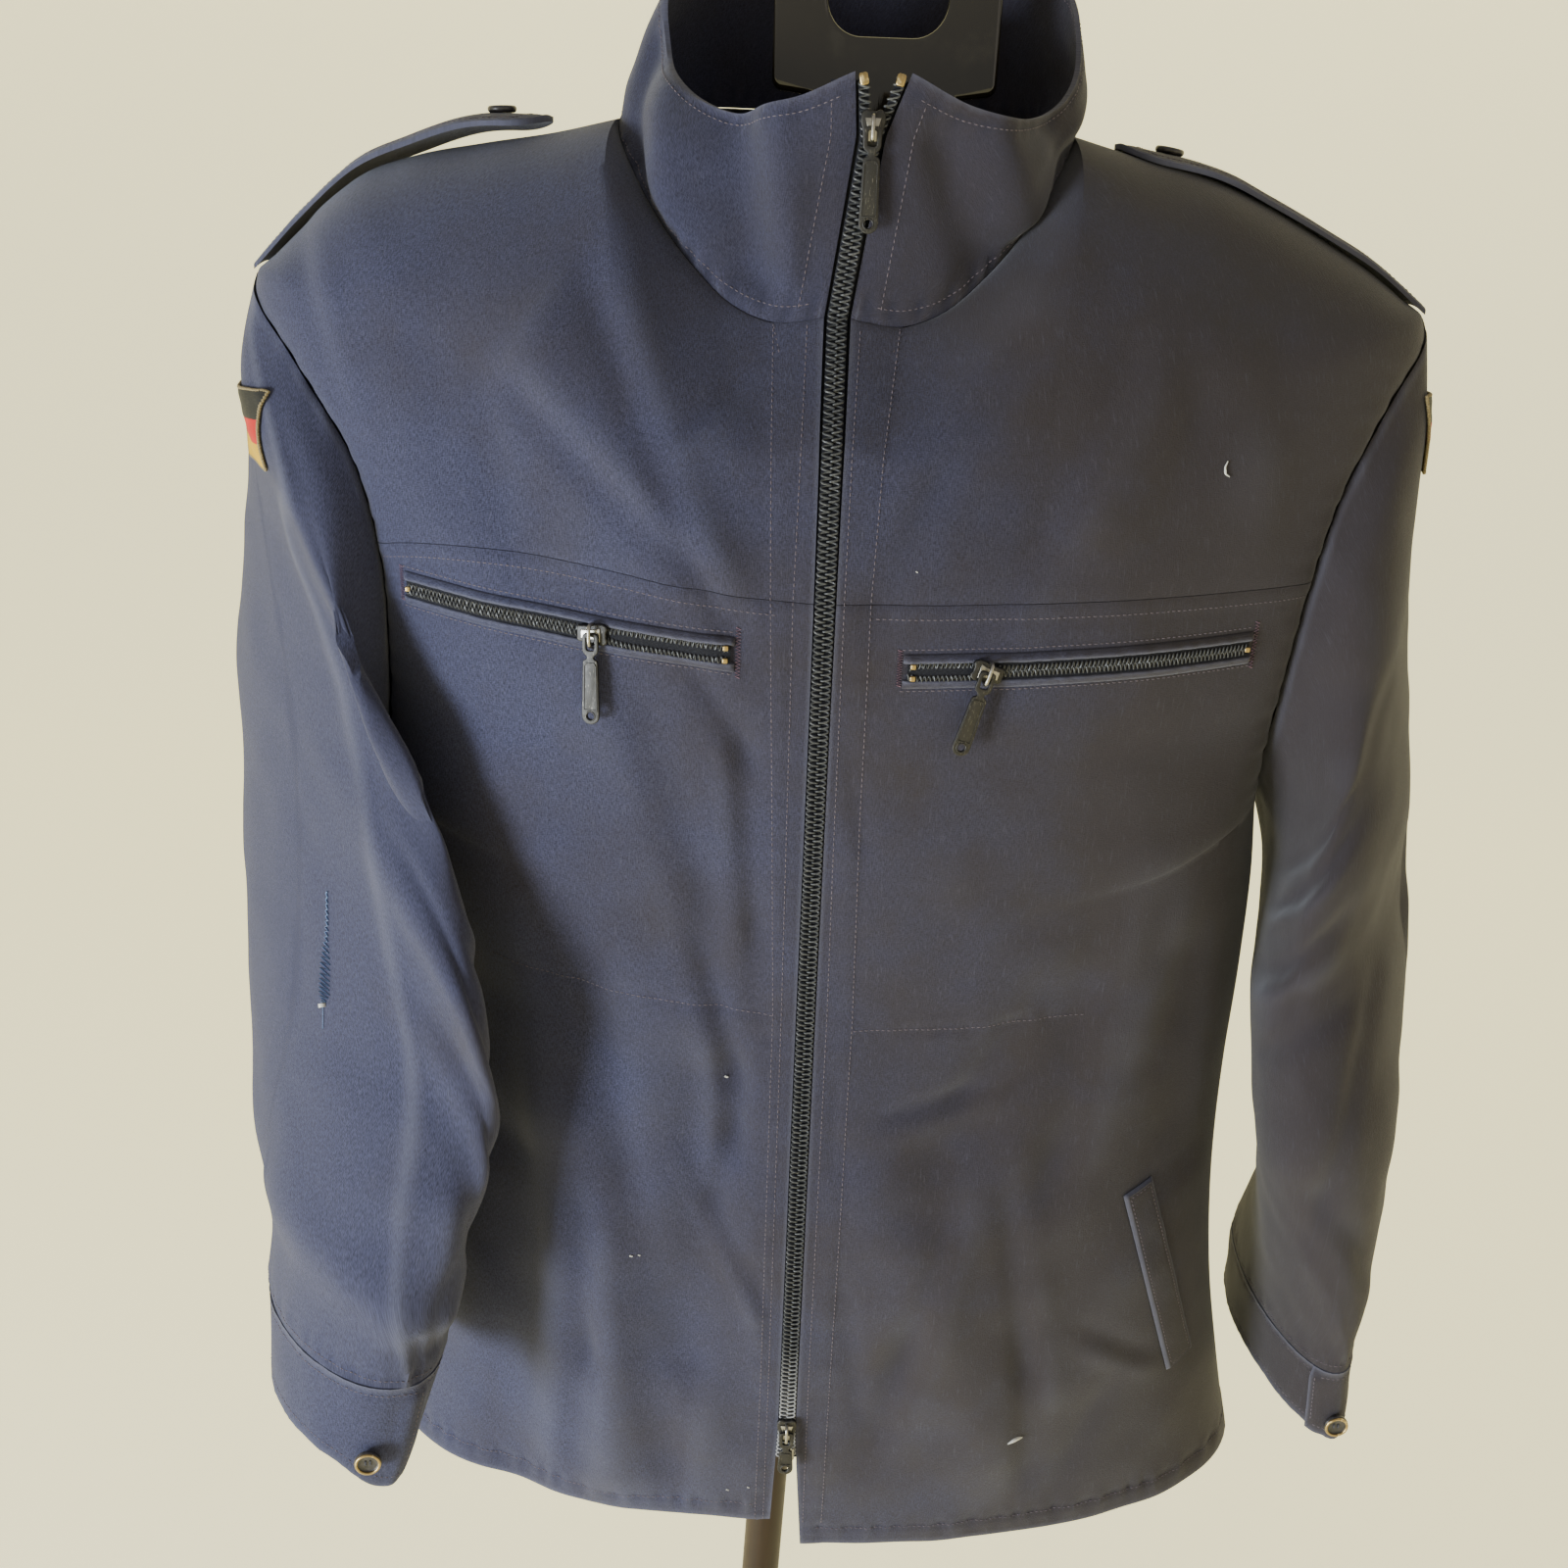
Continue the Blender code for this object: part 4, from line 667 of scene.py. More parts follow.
def crumple(x, y, size, seed):
    """Soft random unevenness of the cloth, from -1 to 1, over spots of about that size."""
    fixed = np.random.default_rng(seed)
    lattice = fixed.uniform(-1, 1, (64, 64))
    x, y = np.asarray(x) / size + 20.0, np.asarray(y) / size + 20.0
    column, row = np.floor(x).astype(int), np.floor(y).astype(int)
    right, up = ease(x - column), ease(y - row)
    low = lattice[row % 64, column % 64] * (1 - right) + lattice[row % 64, (column + 1) % 64] * right
    high = lattice[(row + 1) % 64, column % 64] * (1 - right)
    high = high + lattice[(row + 1) % 64, (column + 1) % 64] * right
    return low * (1 - up) + high * up


def outward(grid, inner):
    """Unit normals of a grid of points, pointing away from its inner side."""
    down = np.gradient(grid, axis=0)
    along = np.gradient(grid, axis=1)
    normal = np.cross(down, along)
    normal /= np.linalg.norm(normal, axis=-1, keepdims=True) + 1e-12
    flip = np.sign(((grid - inner) * normal).sum(-1, keepdims=True).mean())
    return normal * flip


def cloth_lengths(grid):
    """How far each point lies along the cloth, across and up, in metres."""
    across = np.linalg.norm(np.diff(grid, axis=1), axis=-1)
    up = np.linalg.norm(np.diff(grid, axis=0), axis=-1)
    across = np.concatenate([np.zeros((len(grid), 1)), np.cumsum(across, 1)], 1)
    up = np.concatenate([np.zeros((1, grid.shape[1])), np.cumsum(up, 0)], 0)
    return np.stack([across, up], -1)


def panel(name, outer, inner, material, wear, ring=False, place=JACKET_PLACE):
    """A closed wall of cloth between two grids; a ring joins its last column to its first."""
    rows, cols = outer.shape[:2]
    points = np.concatenate([outer.reshape(-1, 3), inner.reshape(-1, 3)])
    uv = cloth_lengths(outer).reshape(-1, 2)
    front = np.arange(rows * cols).reshape(rows, cols)
    if ring:
        front = np.concatenate([front, front[:, :1]], axis=1)
    back = front + rows * cols
    quads = [np.stack([front[:-1, :-1], front[:-1, 1:], front[1:, 1:], front[1:, :-1]], -1).reshape(-1, 4)]
    quads.append(np.stack([back[:-1, :-1], back[1:, :-1], back[1:, 1:], back[:-1, 1:]], -1).reshape(-1, 4))
    rims = [(front[0], back[0]), (back[-1], front[-1])]
    if not ring:
        rims += [(back[:, 0], front[:, 0]), (front[:, -1], back[:, -1])]
    for a, b in rims:
        quads.append(np.stack([a[:-1], b[:-1], b[1:], a[1:]], -1))
    quads = np.concatenate(quads)
    facing_out = np.cross(outer[0, 1] - outer[0, 0], outer[1, 0] - outer[0, 0]) @ (outer[0, 0] - inner[0, 0])
    if facing_out < 0:
        quads = quads[:, ::-1]
    hung = points @ np.array(place)[:3, :3].T + np.array(place)[:3, 3]
    return mesh_object(name, hung, quads, material, np.tile(uv, (2, 1)), np.tile(wear.ravel(), 2))


def hung_sheet(grid):
    """Works out a piece of cloth's area over its grid, and keeps nothing of it."""
    first = grid[1:, 1:] - grid[:-1, :-1]
    second = grid[1:, :-1] - grid[:-1, 1:]
    area = np.linalg.norm(np.cross(first, second), axis=-1).sum() / 2


def seam_groove(beside, along, depth, pucker, period=0.0105):
    """The dip that a line of stitches pulls into cloth, and the gathers across it."""
    return -depth * np.exp(-((beside / 0.0013) ** 2)) + pucker * puckers(along, beside, period, 0.0045)


def band(beside, wide):
    """1 within a doubled strip that is that wide, falling off at both of its edges."""
    return ease(beside / 0.0010 + 0.5) * (1 - ease((beside - wide) / 0.0010 + 0.5))


def body_relief(side, face, across, level, skin):
    """How far the cloth of the body stands out, in metres, by creases and then by sewing, and
    how much its edges are rubbed, with painted highlights and painted shade on the hem's gathers.
    """
    x, z = skin[..., 0], skin[..., 2]
    crease = stand_out(CREASES, CREASES["face"] == face, x, z, ("x0", "z0", "x1", "z1"), 0.45)
    crease = crease + 0.0014 * crumple(x + 0.3 * face, z, 0.060, 3) + 0.0006 * crumple(x, z, 0.021, 5)
    crease = crease * ease((1 - across) * 8) * ease((2 - level) * 12)
    rise = 0 * x
    rub = 0 * x
    if face < 0:
        crease = crease * ease((np.abs(x) - 0.006) / 0.012)
        for line, pull in (("inner", 0.00010), ("outer", 0.00018)):
            beside = np.abs(x) - ramp(PLACKET, f"{side_name(side)}_{line}", z)
            rise = rise + seam_groove(beside, z, 0.00030, pull, 0.0140)
        rise = rise + DOUBLED * (1 - ease((np.abs(x) - ramp(PLACKET, side_name(side) + "_outer", z)) / 0.0015))
        rub = 0.5 * np.exp(-(((np.abs(x) - ramp(GAP, side_name(side), z)) / 0.0014) ** 2))
        if level.max() <= 1.5 or level.min() >= 1.5:
            chest = torso(side, face, across[:1], 1.5)[..., 2]
            below = chest - z
            free = ease((1 - across) * 14)
            rise = rise + free * DOUBLED * band(below, CHEST_STITCH)
            rise = rise + free * seam_groove(below - CHEST_STITCH, x, 0.00035, 0.00022)
            rise = rise - free * 0.0005 * np.exp(-((below / 0.0012) ** 2))
            rub = rub + 0.25 * np.exp(-(((below - 0.0016) / 0.0012) ** 2))
        x0, z0, x1, z1 = WAIST[side]
        line = z0 + (z1 - z0) * (np.abs(x) - x0) / (x1 - x0)
        held = ease((np.abs(x) - x1) / 0.01) * ease((x0 - np.abs(x)) / 0.03)
    else:
        line, held = 1.002, ease((1 - across) * 8)
    rise = rise + held * seam_groove(z - line, x, 0.0007, 0.00045, 0.0170)
    into_armhole = (1 - across) * 0.21
    sewn_in = ease((level - 1) * 6)
    rise = rise - sewn_in * 0.0009 * np.exp(-((into_armhole / 0.0022) ** 2))
    rise = rise + sewn_in * 0.0004 * puckers(z, into_armhole - 0.004, 0.0150, 0.0060)
    above = z - torso(side, face, across[:1], 0.0)[..., 2]
    rise = rise + DOUBLED * (1 - ease((above - HEM_STITCH) / 0.0012))
    gathers = puckers(x, above - HEM_STITCH, 0.0130, 0.0060)
    # rubbed hem edge, plus painted highlights on the gathers' crests and painted shade between them
    rub = rub + 0.6 * np.exp(-((above / 0.0022) ** 2)) + 0.16 * gathers
    return crease, rise + 0.00062 * gathers - 0.0005 * np.exp(-(((above - HEM_STITCH) / 0.0013) ** 2)), rub


def body_grids(side, face, across, levels):
    """A body panel's outer and inner grid, and how worn its cloth is, with painted shade in its creases and painted
    highlights on their ridges.
    """
    across, level = np.meshgrid(across, levels)
    skin, lining = torso(side, face, across, level), torso(side, face, across, level, WALL)
    normal = outward(skin, lining)
    crease, sewn, rub = body_relief(side, face, across, level, skin)
    lift = (crease + sewn)[..., None] * normal
    seam = (across == 1) & (level <= 1) | (across >= NECK_SHARE) & (level == 2)
    skin[seam, 1] += face * SEAM / 2
    lining[seam, 1] += face * SEAM / 2
    # crease / 0.012 paints highlights on the creases' ridges and shade in their troughs
    return skin + lift, lining + lift, np.clip(rub + crease / 0.012, -0.5, 1)


def twill(name, dark, light, shaded_side_tint, worn):
    """Cotton twill whose weave follows the cloth, faded unevenly and rubbed along its edges, with painted shade
    towards the jacket's right side, in creases and over the collar, and painted highlights on ridges.
    """
    m = Nodes(name)
    lay = m.add("UVMap", uv_map="cloth")[0]
    place = m.add("TexCoord")["Object"]
    warp_at = m.add("Mapping", {"Vector": lay, "Scale": (2700.0, 620.0, 1.0)})[0]
    weft_at = m.add("Mapping", {"Vector": lay, "Scale": (560.0, 2500.0, 1.0)})[0]
    wale_at = m.add("Mapping", {"Vector": lay, "Rotation": (0, 0, radians(-28)), "Scale": (2100.0, 380.0, 1.0)})[0]
    warp = m.add("TexNoise", {"Vector": warp_at, "Scale": 1.0, "Detail": 1.0})["Fac"]
    weft = m.add("TexNoise", {"Vector": weft_at, "Scale": 1.0, "Detail": 1.0})["Fac"]
    wale = m.add("TexNoise", {"Vector": wale_at, "Scale": 1.0, "Detail": 1.0})["Fac"]
    slub_at = m.add("Mapping", {"Vector": lay, "Scale": (900.0, 110.0, 1.0)})[0]
    slub = m.add("TexNoise", {"Vector": slub_at, "Scale": 1.0, "Detail": 3.0})["Fac"]
    patch = m.add("TexNoise", {"Vector": place, "Scale": 9.0, "Detail": 6.0, "Roughness": 0.62})["Fac"]
    # the wear attribute holds real rubbing and also painted light: above zero on ridges, below zero in troughs and
    # over the collar
    wear = m.add("Attribute", attribute_name="wear")["Fac"]
    across = m.add("SeparateXYZ", {"Vector": place})[0]

    threads = m.sum(m.sum(warp, weft), wale)
    tone = m.mix(m.ramp(m.sum(threads, 1 / 3, "MULTIPLY"), (0.38, (0, 0, 0)), (0.62, (1, 1, 1))), dark, light)
    # Painted shade: towards the jacket's right side (+X) the cloth is mixed into a darker, warmer tint, broken up by
    # random faded patches
    side_shade_and_fading = m.sum(m.sum(across, 1.6, "MULTIPLY_ADD", 0.42), m.sum(patch, -0.5), "ADD")
    tone = m.mix(m.ramp(side_shade_and_fading, (0.15, (0, 0, 0)), (0.62, (0.88, 0.88, 0.88))), tone, shaded_side_tint)
    tone = m.mix(m.ramp(slub, (0.58, (0, 0, 0)), (0.80, (0.22, 0.22, 0.22))), tone, worn)
    # lighter where wear is above zero: rubbed edges, and painted highlights on the ridges of creases and gathers
    rub_and_highlight = m.sum(wear, m.sum(patch, 0.35), "MULTIPLY")
    tone = m.mix(m.ramp(rub_and_highlight, (0.04, (0, 0, 0)), (0.95, (0.75, 0.75, 0.75))), tone, worn)
    # Painted shade: darker where wear is below zero, in crease troughs, seam grooves and over the collar; on the
    # straps it also darkens at random
    painted_shade_and_tone = m.sum(wear, -1.0, "MULTIPLY")
    tone = m.mix(m.ramp(painted_shade_and_tone, (0.05, (0, 0, 0)), (0.9, (0.55, 0.55, 0.55))), tone, dark)
    m.set(Base_Color=tone, Roughness=0.88, Sheen_Weight=0.16, Sheen_Roughness=0.5)
    m.set(Sheen_Tint=(0.8, 0.82, 0.9, 1.0), Specular_IOR_Level=0.2)
    weave = m.bump(threads, 0.4, 0.0004)
    m.set(Normal=m.bump(slub, 0.2, 0.0005, weave))
    return m.material


# the cloth's dark threads, and also the colour of the painted shade in troughs
CLOTH_DARK = (0.0125, 0.013, 0.029)
CLOTH_LIGHT = (0.047, 0.050, 0.100)
# painted shade: the darker, warmer tint of the jacket's right side
CLOTH_SHADED_SIDE = (0.024, 0.0188, 0.0185)
# rubbed and faded cloth, and also the colour of the painted highlights on ridges
CLOTH_WORN_AND_LIT = (0.095, 0.098, 0.140)
TWILL = twill("navy_twill", CLOTH_DARK, CLOTH_LIGHT, CLOTH_SHADED_SIDE, CLOTH_WORN_AND_LIT)

BODY_ACROSS = np.concatenate([np.linspace(0, 0.16, 17), np.linspace(0.16, 1, 78)[1:]])
LOWER_LEVELS = np.concatenate([np.linspace(0, 0.05, 9), np.linspace(0.05, 1, 112)[1:], np.linspace(1, 1.5, 56)[1:]])
UPPER_LEVELS = np.linspace(1.5, 2, 60)
SURFACES, FRONTS = {}, {}
for side in (-1, 1):
    for piece, levels, step in (("front", LOWER_LEVELS, -1), ("yoke", UPPER_LEVELS, 1)):
        outer, inner, wear = body_grids(side, -1, BODY_ACROSS, levels)
        for grid in (outer, inner):
            grid[-1 if step < 0 else 0, :, 2] += step * SEAM / 2
        name = f"{piece}_{side_name(side)}"
        SURFACES[name] = outer
        cloth = panel(name + "_cloth", outer, inner, TWILL, wear)
        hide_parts(name)
        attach(cloth, "jacket")
        if piece == "yoke":
            hung_sheet(outer)
        else:
            FRONTS[side] = cloth        # its area is worked out further down, after its pocket's lips

# ==== Back ============================================================================
# The same twill, cut as one piece from side seam to side seam, with the waist channel
# stitched across it. Nothing of it shows in front; it is finished plainly.
BACK_ACROSS = np.linspace(0, 1, 64)
BACK_LEVELS = np.concatenate([np.linspace(0, 0.05, 8), np.linspace(0.05, 1, 92)[1:], np.linspace(1, 2, 84)[1:]])
halves = [body_grids(side, 1, BACK_ACROSS, BACK_LEVELS) for side in (-1, 1)]
outer, inner, wear = (
    np.concatenate([left[:, :0:-1], right], axis=1) for left, right in zip(*halves)
)
back_cloth = panel("back_cloth", outer, inner, TWILL, wear)
SURFACES["back"] = outer
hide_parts("back")
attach(back_cloth, "jacket")
hung_sheet(outer)

# ==== Sleeves and cuffs ===============================================================
# One-piece sleeves of the same twill, set into the armholes and turned forward, with
# banded cuffs. The left sleeve has a pale crease where it was ironed flat for years.
# Sleeves, ring by ring from the armhole (0) to the cuff's seam (9) and its edge (10): outer and
# inner point seen from the front, place and half depth front to back, inward turn of the front
SLEEVE_LEFT = columns(
    "ring outer_x outer_z inner_x inner_z middle  deep   turn",
    (0,   0.2688, 1.3236, 0.2220, 1.0900, 0.000, 0.070, 0.000),
    (1,   0.2800, 1.2800, 0.2300, 1.0700, -0.008, 0.079, 0.016),
    (2,   0.2760, 1.2250, 0.2270, 1.0450, -0.020, 0.081, 0.0460),
    (3,   0.2640, 1.1650, 0.2150, 1.0120, -0.036, 0.081, 0.0690),
    (4,   0.2540, 1.1000, 0.2060, 0.9750, -0.055, 0.079, 0.0755),
    (5,   0.2500, 1.0350, 0.1980, 0.9400, -0.073, 0.075, 0.0770),
    (6,   0.2540, 0.9700, 0.1880, 0.9050, -0.088, 0.071, 0.0690),
    (7,   0.2690, 0.9050, 0.1780, 0.8680, -0.098, 0.067, 0.0500),
    (8,   0.2670, 0.8550, 0.1780, 0.8380, -0.105, 0.063, 0.0335),
    (9,   0.2700, 0.8180, 0.1830, 0.8120, -0.108, 0.060, 0.0290),
    (10,  0.2715, 0.7780, 0.1900, 0.7720, -0.111, 0.059, 0.0170),
)
SLEEVE_RIGHT = columns(
    "ring outer_x outer_z inner_x inner_z middle  deep   turn",
    (0,   0.2688, 1.3236, 0.2260, 1.0900, 0.000, 0.070, 0.000),
    (1,   0.2750, 1.2850, 0.2345, 1.0750, 0.000, 0.080, 0.004),
    (2,   0.2805, 1.2350, 0.2385, 1.0500, -0.003, 0.082, 0.012),
    (3,   0.2905, 1.1800, 0.2390, 1.0200, -0.007, 0.082, 0.022),
    (4,   0.2985, 1.1200, 0.2400, 0.9850, -0.013, 0.081, 0.029),
    (5,   0.3055, 1.0550, 0.2440, 0.9450, -0.020, 0.080, 0.032),
    (6,   0.3150, 0.9850, 0.2490, 0.9000, -0.026, 0.078, 0.028),
    (7,   0.3200, 0.9100, 0.2560, 0.8500, -0.026, 0.076, 0.014),
    (8,   0.3160, 0.8400, 0.2620, 0.8080, -0.020, 0.075, 0.000),
    (9,   0.3085, 0.7880, 0.2660, 0.7800, -0.014, 0.074, -0.006),
    (10,  0.3100, 0.7460, 0.2680, 0.7400, -0.012, 0.073, -0.008),
)

# A cuff's tab end hangs below the rest: its angle, and by how much
CUFF_HANG = {-1: (112, 0.020), 1: (84, 0.006)}
CUFF_HANG_WIDE = 28.0

# The largest folds of the sleeves: where on the sleeve, in rings and degrees, and how far
# the cloth stands out
SLEEVE_FOLDS = columns(
    "side ring0 angle0 ring1 angle1 width  depth",
    (-1,  0.6,  70,    2.6,  110,   0.45,  0.0050),
    (-1,  4.2,  40,    5.0,  120,   0.40,  0.0060),
    (-1,  5.2,  130,   4.4,  200,   0.40, -0.0060),
    (-1,  5.8,  60,    6.6,  130,   0.40, -0.0050),
    (-1,  7.4,  20,    7.8,  120,   0.40,  0.0050),
    (1,   0.8,  80,    2.8,  100,   0.45,  0.0045),
    (1,   3.6,  100,   4.4,  30,    0.40,  0.0060),
    (1,   4.8,  100,   5.2,  20,    0.40, -0.0055),
    (1,   6.0,  110,   6.6,  40,    0.40,  0.0050),
    (1,   4.4,  250,   5.6,  320,   0.45,  0.0060),
    (-1,  4.4,  250,   5.6,  320,   0.45,  0.0060),
)


def sleeve_skin(side, angle, ring, inset=0.0):
    """The sleeve's outside, drawn in by the inset across its rings."""
    angle, ring = np.broadcast_arrays(np.asarray(angle, float), np.asarray(ring, float))
    table = SLEEVE_LEFT if side < 0 else SLEEVE_RIGHT
    turn = np.radians(angle)
    outer = np.stack([read(table, "outer_x", ring), read(table, "outer_z", ring)], -1)
    inner = np.stack([read(table, "inner_x", ring), read(table, "inner_z", ring)], -1)
    half = (outer - inner) / 2
    length = np.linalg.norm(half, axis=-1)
    middle = read(table, "middle", ring)
    deep = read(table, "deep", ring)

    keep = SLEEVE_FOLDS["side"] == side
    share = 70.0  # degrees that count as much as one ring
    folds = dict(SLEEVE_FOLDS, angle0=SLEEVE_FOLDS["angle0"] / share, angle1=SLEEVE_FOLDS["angle1"] / share)
    bulge = stand_out(folds, keep, ring, (angle % 360) / share, ("ring0", "angle0", "ring1", "angle1"))
    bulge = bulge * ease(ring) * ease(9 - ring)
    grown = (length + bulge - inset) / length
    centre = (outer + inner) / 2
    x = centre[..., 0] + half[..., 0] * grown * np.cos(turn)
    z = centre[..., 1] + half[..., 1] * grown * np.cos(turn)
    x = x - read(table, "turn", ring) * np.sin(turn)
    y = middle - (deep + bulge - inset) * np.sin(turn)

    from_top = np.abs((angle + 180) % 360 - 180)
    hole_x = read(ARMHOLE, side_name(side), from_top) + SEAM
    hole_deep = np.where(np.sin(turn) > 0, ARM_FRONT, ARM_BACK) - inset
    hole_y = -hole_deep * np.sin(turn)
    hole_z = ARM_CENTRE + (ARM_HALF - inset) * np.cos(turn)
    start = 1 - ease(ring / 2.5)
    first = sleeve_start(table, turn, inset)
    x = x + (hole_x - first[0]) * start
    y = y + (hole_y - first[1]) * start
    z = z + (hole_z - first[2]) * start
    hang_at, hang_by = CUFF_HANG[side]
    from_tab = (angle % 360 - hang_at) / CUFF_HANG_WIDE
    z = z - hang_by * np.exp(-(from_tab**2)) * ease(ring - 9)
    return np.stack([side * x, y, z], -1)


def sleeve(side, angle, ring, inset=0.0):
    """A point of a sleeve: angle 0 outside, 90 degrees in front, 180 against the body. The
    inset is square to the cloth, but for the armhole's edge, where it is square to the seam.
    """
    skin = sleeve_skin(side, angle, ring)
    around = sleeve_skin(side, np.add(angle, 1.0), ring) - sleeve_skin(side, np.subtract(angle, 1.0), ring)
    down = sleeve_skin(side, angle, np.add(ring, 0.03)) - sleeve_skin(side, angle, np.subtract(ring, 0.03))
    normal = side * np.cross(around, down)
    normal /= np.linalg.norm(normal, axis=-1, keepdims=True)
    at_seam = 1 - ease(np.asarray(ring, float) / 0.9)[..., None]
    square = skin - inset * normal
    return square + (sleeve_skin(side, angle, ring, inset) - square) * at_seam


def sleeve_start(table, turn, inset):
    """The plain oval that the sleeve table gives at the armhole, before it takes its true form."""
    half_x = (table["outer_x"][0] - table["inner_x"][0]) / 2
    half_z = (table["outer_z"][0] - table["inner_z"][0]) / 2
    length = np.hypot(half_x, half_z)
    grown = (length - inset) / length
    x = table["outer_x"][0] - half_x + half_x * grown * np.cos(turn)
    z = table["outer_z"][0] - half_z + half_z * grown * np.cos(turn)
    y = table["middle"][0] - (table["deep"][0] - inset) * np.sin(turn)
    return x, y, z

# Creases of the sleeves, in rings and degrees, finer than the folds
SLEEVE_CREASES = columns(
    "side ring0 angle0 ring1 angle1 width  depth",
    (-1, 0.9,  60, 3.2, 118, 0.16, -0.0020),
    (-1, 2.2, 120, 3.0, 150, 0.11, -0.0016),
    (-1, 3.4, 132, 3.7, 104, 0.10,  0.0016),
    (-1, 3.6, 138, 3.9, 108, 0.10, -0.0014),
    (-1, 4.2,  60, 4.9, 128, 0.14, -0.0026),
    (-1, 4.6,  55, 5.4, 120, 0.16,  0.0020),
    (-1, 5.3,  70, 5.9, 135, 0.14, -0.0022),
    (-1, 6.0,  80, 6.9, 140, 0.16, -0.0022),
    (-1, 6.6,  95, 7.6, 120, 0.13,  0.0018),
    (-1, 7.2, 110, 8.4, 124, 0.11, -0.0022),
    (-1, 8.1, 108, 8.9, 116, 0.08, -0.0018),
    (-1, 4.0, 200, 5.0, 250, 0.19, -0.0022),
    (-1, 5.6, 220, 6.4, 270, 0.19, -0.0022),
    ( 1, 0.9, 110, 2.8,  64, 0.16, -0.0018),
    ( 1, 2.4, 130, 2.9,  92, 0.11, -0.0016),
    ( 1, 3.0, 128, 3.5,  84, 0.11, -0.0020),
    ( 1, 3.2, 132, 3.7,  90, 0.11,  0.0016),
    ( 1, 3.9, 128, 4.4,  80, 0.13, -0.0024),
    ( 1, 4.2, 130, 4.7,  84, 0.13,  0.0018),
    ( 1, 4.9, 124, 5.3,  70, 0.13, -0.0020),
    ( 1, 5.6,  50, 6.6,  96, 0.14, -0.0020),
    ( 1, 6.6, 100, 7.6,  60, 0.14, -0.0022),
    ( 1, 7.4, 110, 8.6,  86, 0.13,  0.0016),
    ( 1, 4.0, 200, 5.0, 250, 0.19, -0.0022),
    ( 1, 5.6, 220, 6.4, 270, 0.19, -0.0022),
)
CREASE_SHARE = 70.0         # degrees that count as much as one ring
IRONED = columns(           # the pale crease down the left sleeve: its angle at each ring
    "ring angle",
    (0.3, 26), (1.2, 52), (2.0, 30), (3.0, 30), (4.0, 35), (5.0, 41), (6.0, 56), (7.0, 76), (8.0, 95), (9.0, 108),
)


def sleeve_relief(side, angle, ring):
    """How far a sleeve's cloth stands out, in metres, and how worn it is, with painted shade in its creases and
    painted highlights on their ridges.
    """
    lines = dict(SLEEVE_CREASES)
    for name in ("angle0", "angle1"):
        lines[name] = lines[name] / CREASE_SHARE
    turned_to = (angle % 360) / CREASE_SHARE
    rise = stand_out(lines, lines["side"] == side, ring, turned_to, ("ring0", "angle0", "ring1", "angle1"), 0.45)
    skin = sleeve_skin(side, angle, ring)
    girth = np.radians(angle) * 0.075
    rise = rise + 0.0012 * crumple(np.cos(np.radians(angle)) * 0.08, skin[..., 2], 0.045, 11 + side)
    rise = rise + 0.0006 * crumple(girth, skin[..., 2], 0.019, 17 + side)
    # Painted light: creases and unevenness lighten the cloth on their ridges and darken it in their troughs
    wear = rise / 0.010
    armhole = np.linalg.norm(np.diff(skin, axis=0), axis=-1)
    armhole = np.concatenate([np.zeros((1, skin.shape[1])), np.cumsum(armhole, 0)], 0)
    fine = 0.0006 * puckers(girth, armhole - 0.002, 0.0160, 0.0075) - 0.0008 * np.exp(-((armhole / 0.0022) ** 2))
    cuff_away = armhole[-1:] - armhole
    fine = fine + 0.0006 * puckers(girth, cuff_away - 0.001, 0.0140, 0.0090)
    rise = (rise * ease(armhole / 0.004 + 0.15) + fine) * ease(cuff_away / 0.007)
    wear = wear + 0.3 * np.exp(-(((armhole - 0.004) / 0.003) ** 2))
    if side < 0:
        at = read(IRONED, "angle", ring)
        off = (angle - at) * 0.0016
        crease = np.exp(-((off / 0.0068) ** 2)) * ease((ring - 0.2) / 0.8)
        rise = rise + 0.0011 * crease
        wear = wear + 0.75 * np.exp(-((off / 0.0062) ** 2)) * (0.7 + 0.3 * crumple(girth, skin[..., 2], 0.050, 9))
    return rise, np.clip(wear, -1, 2)


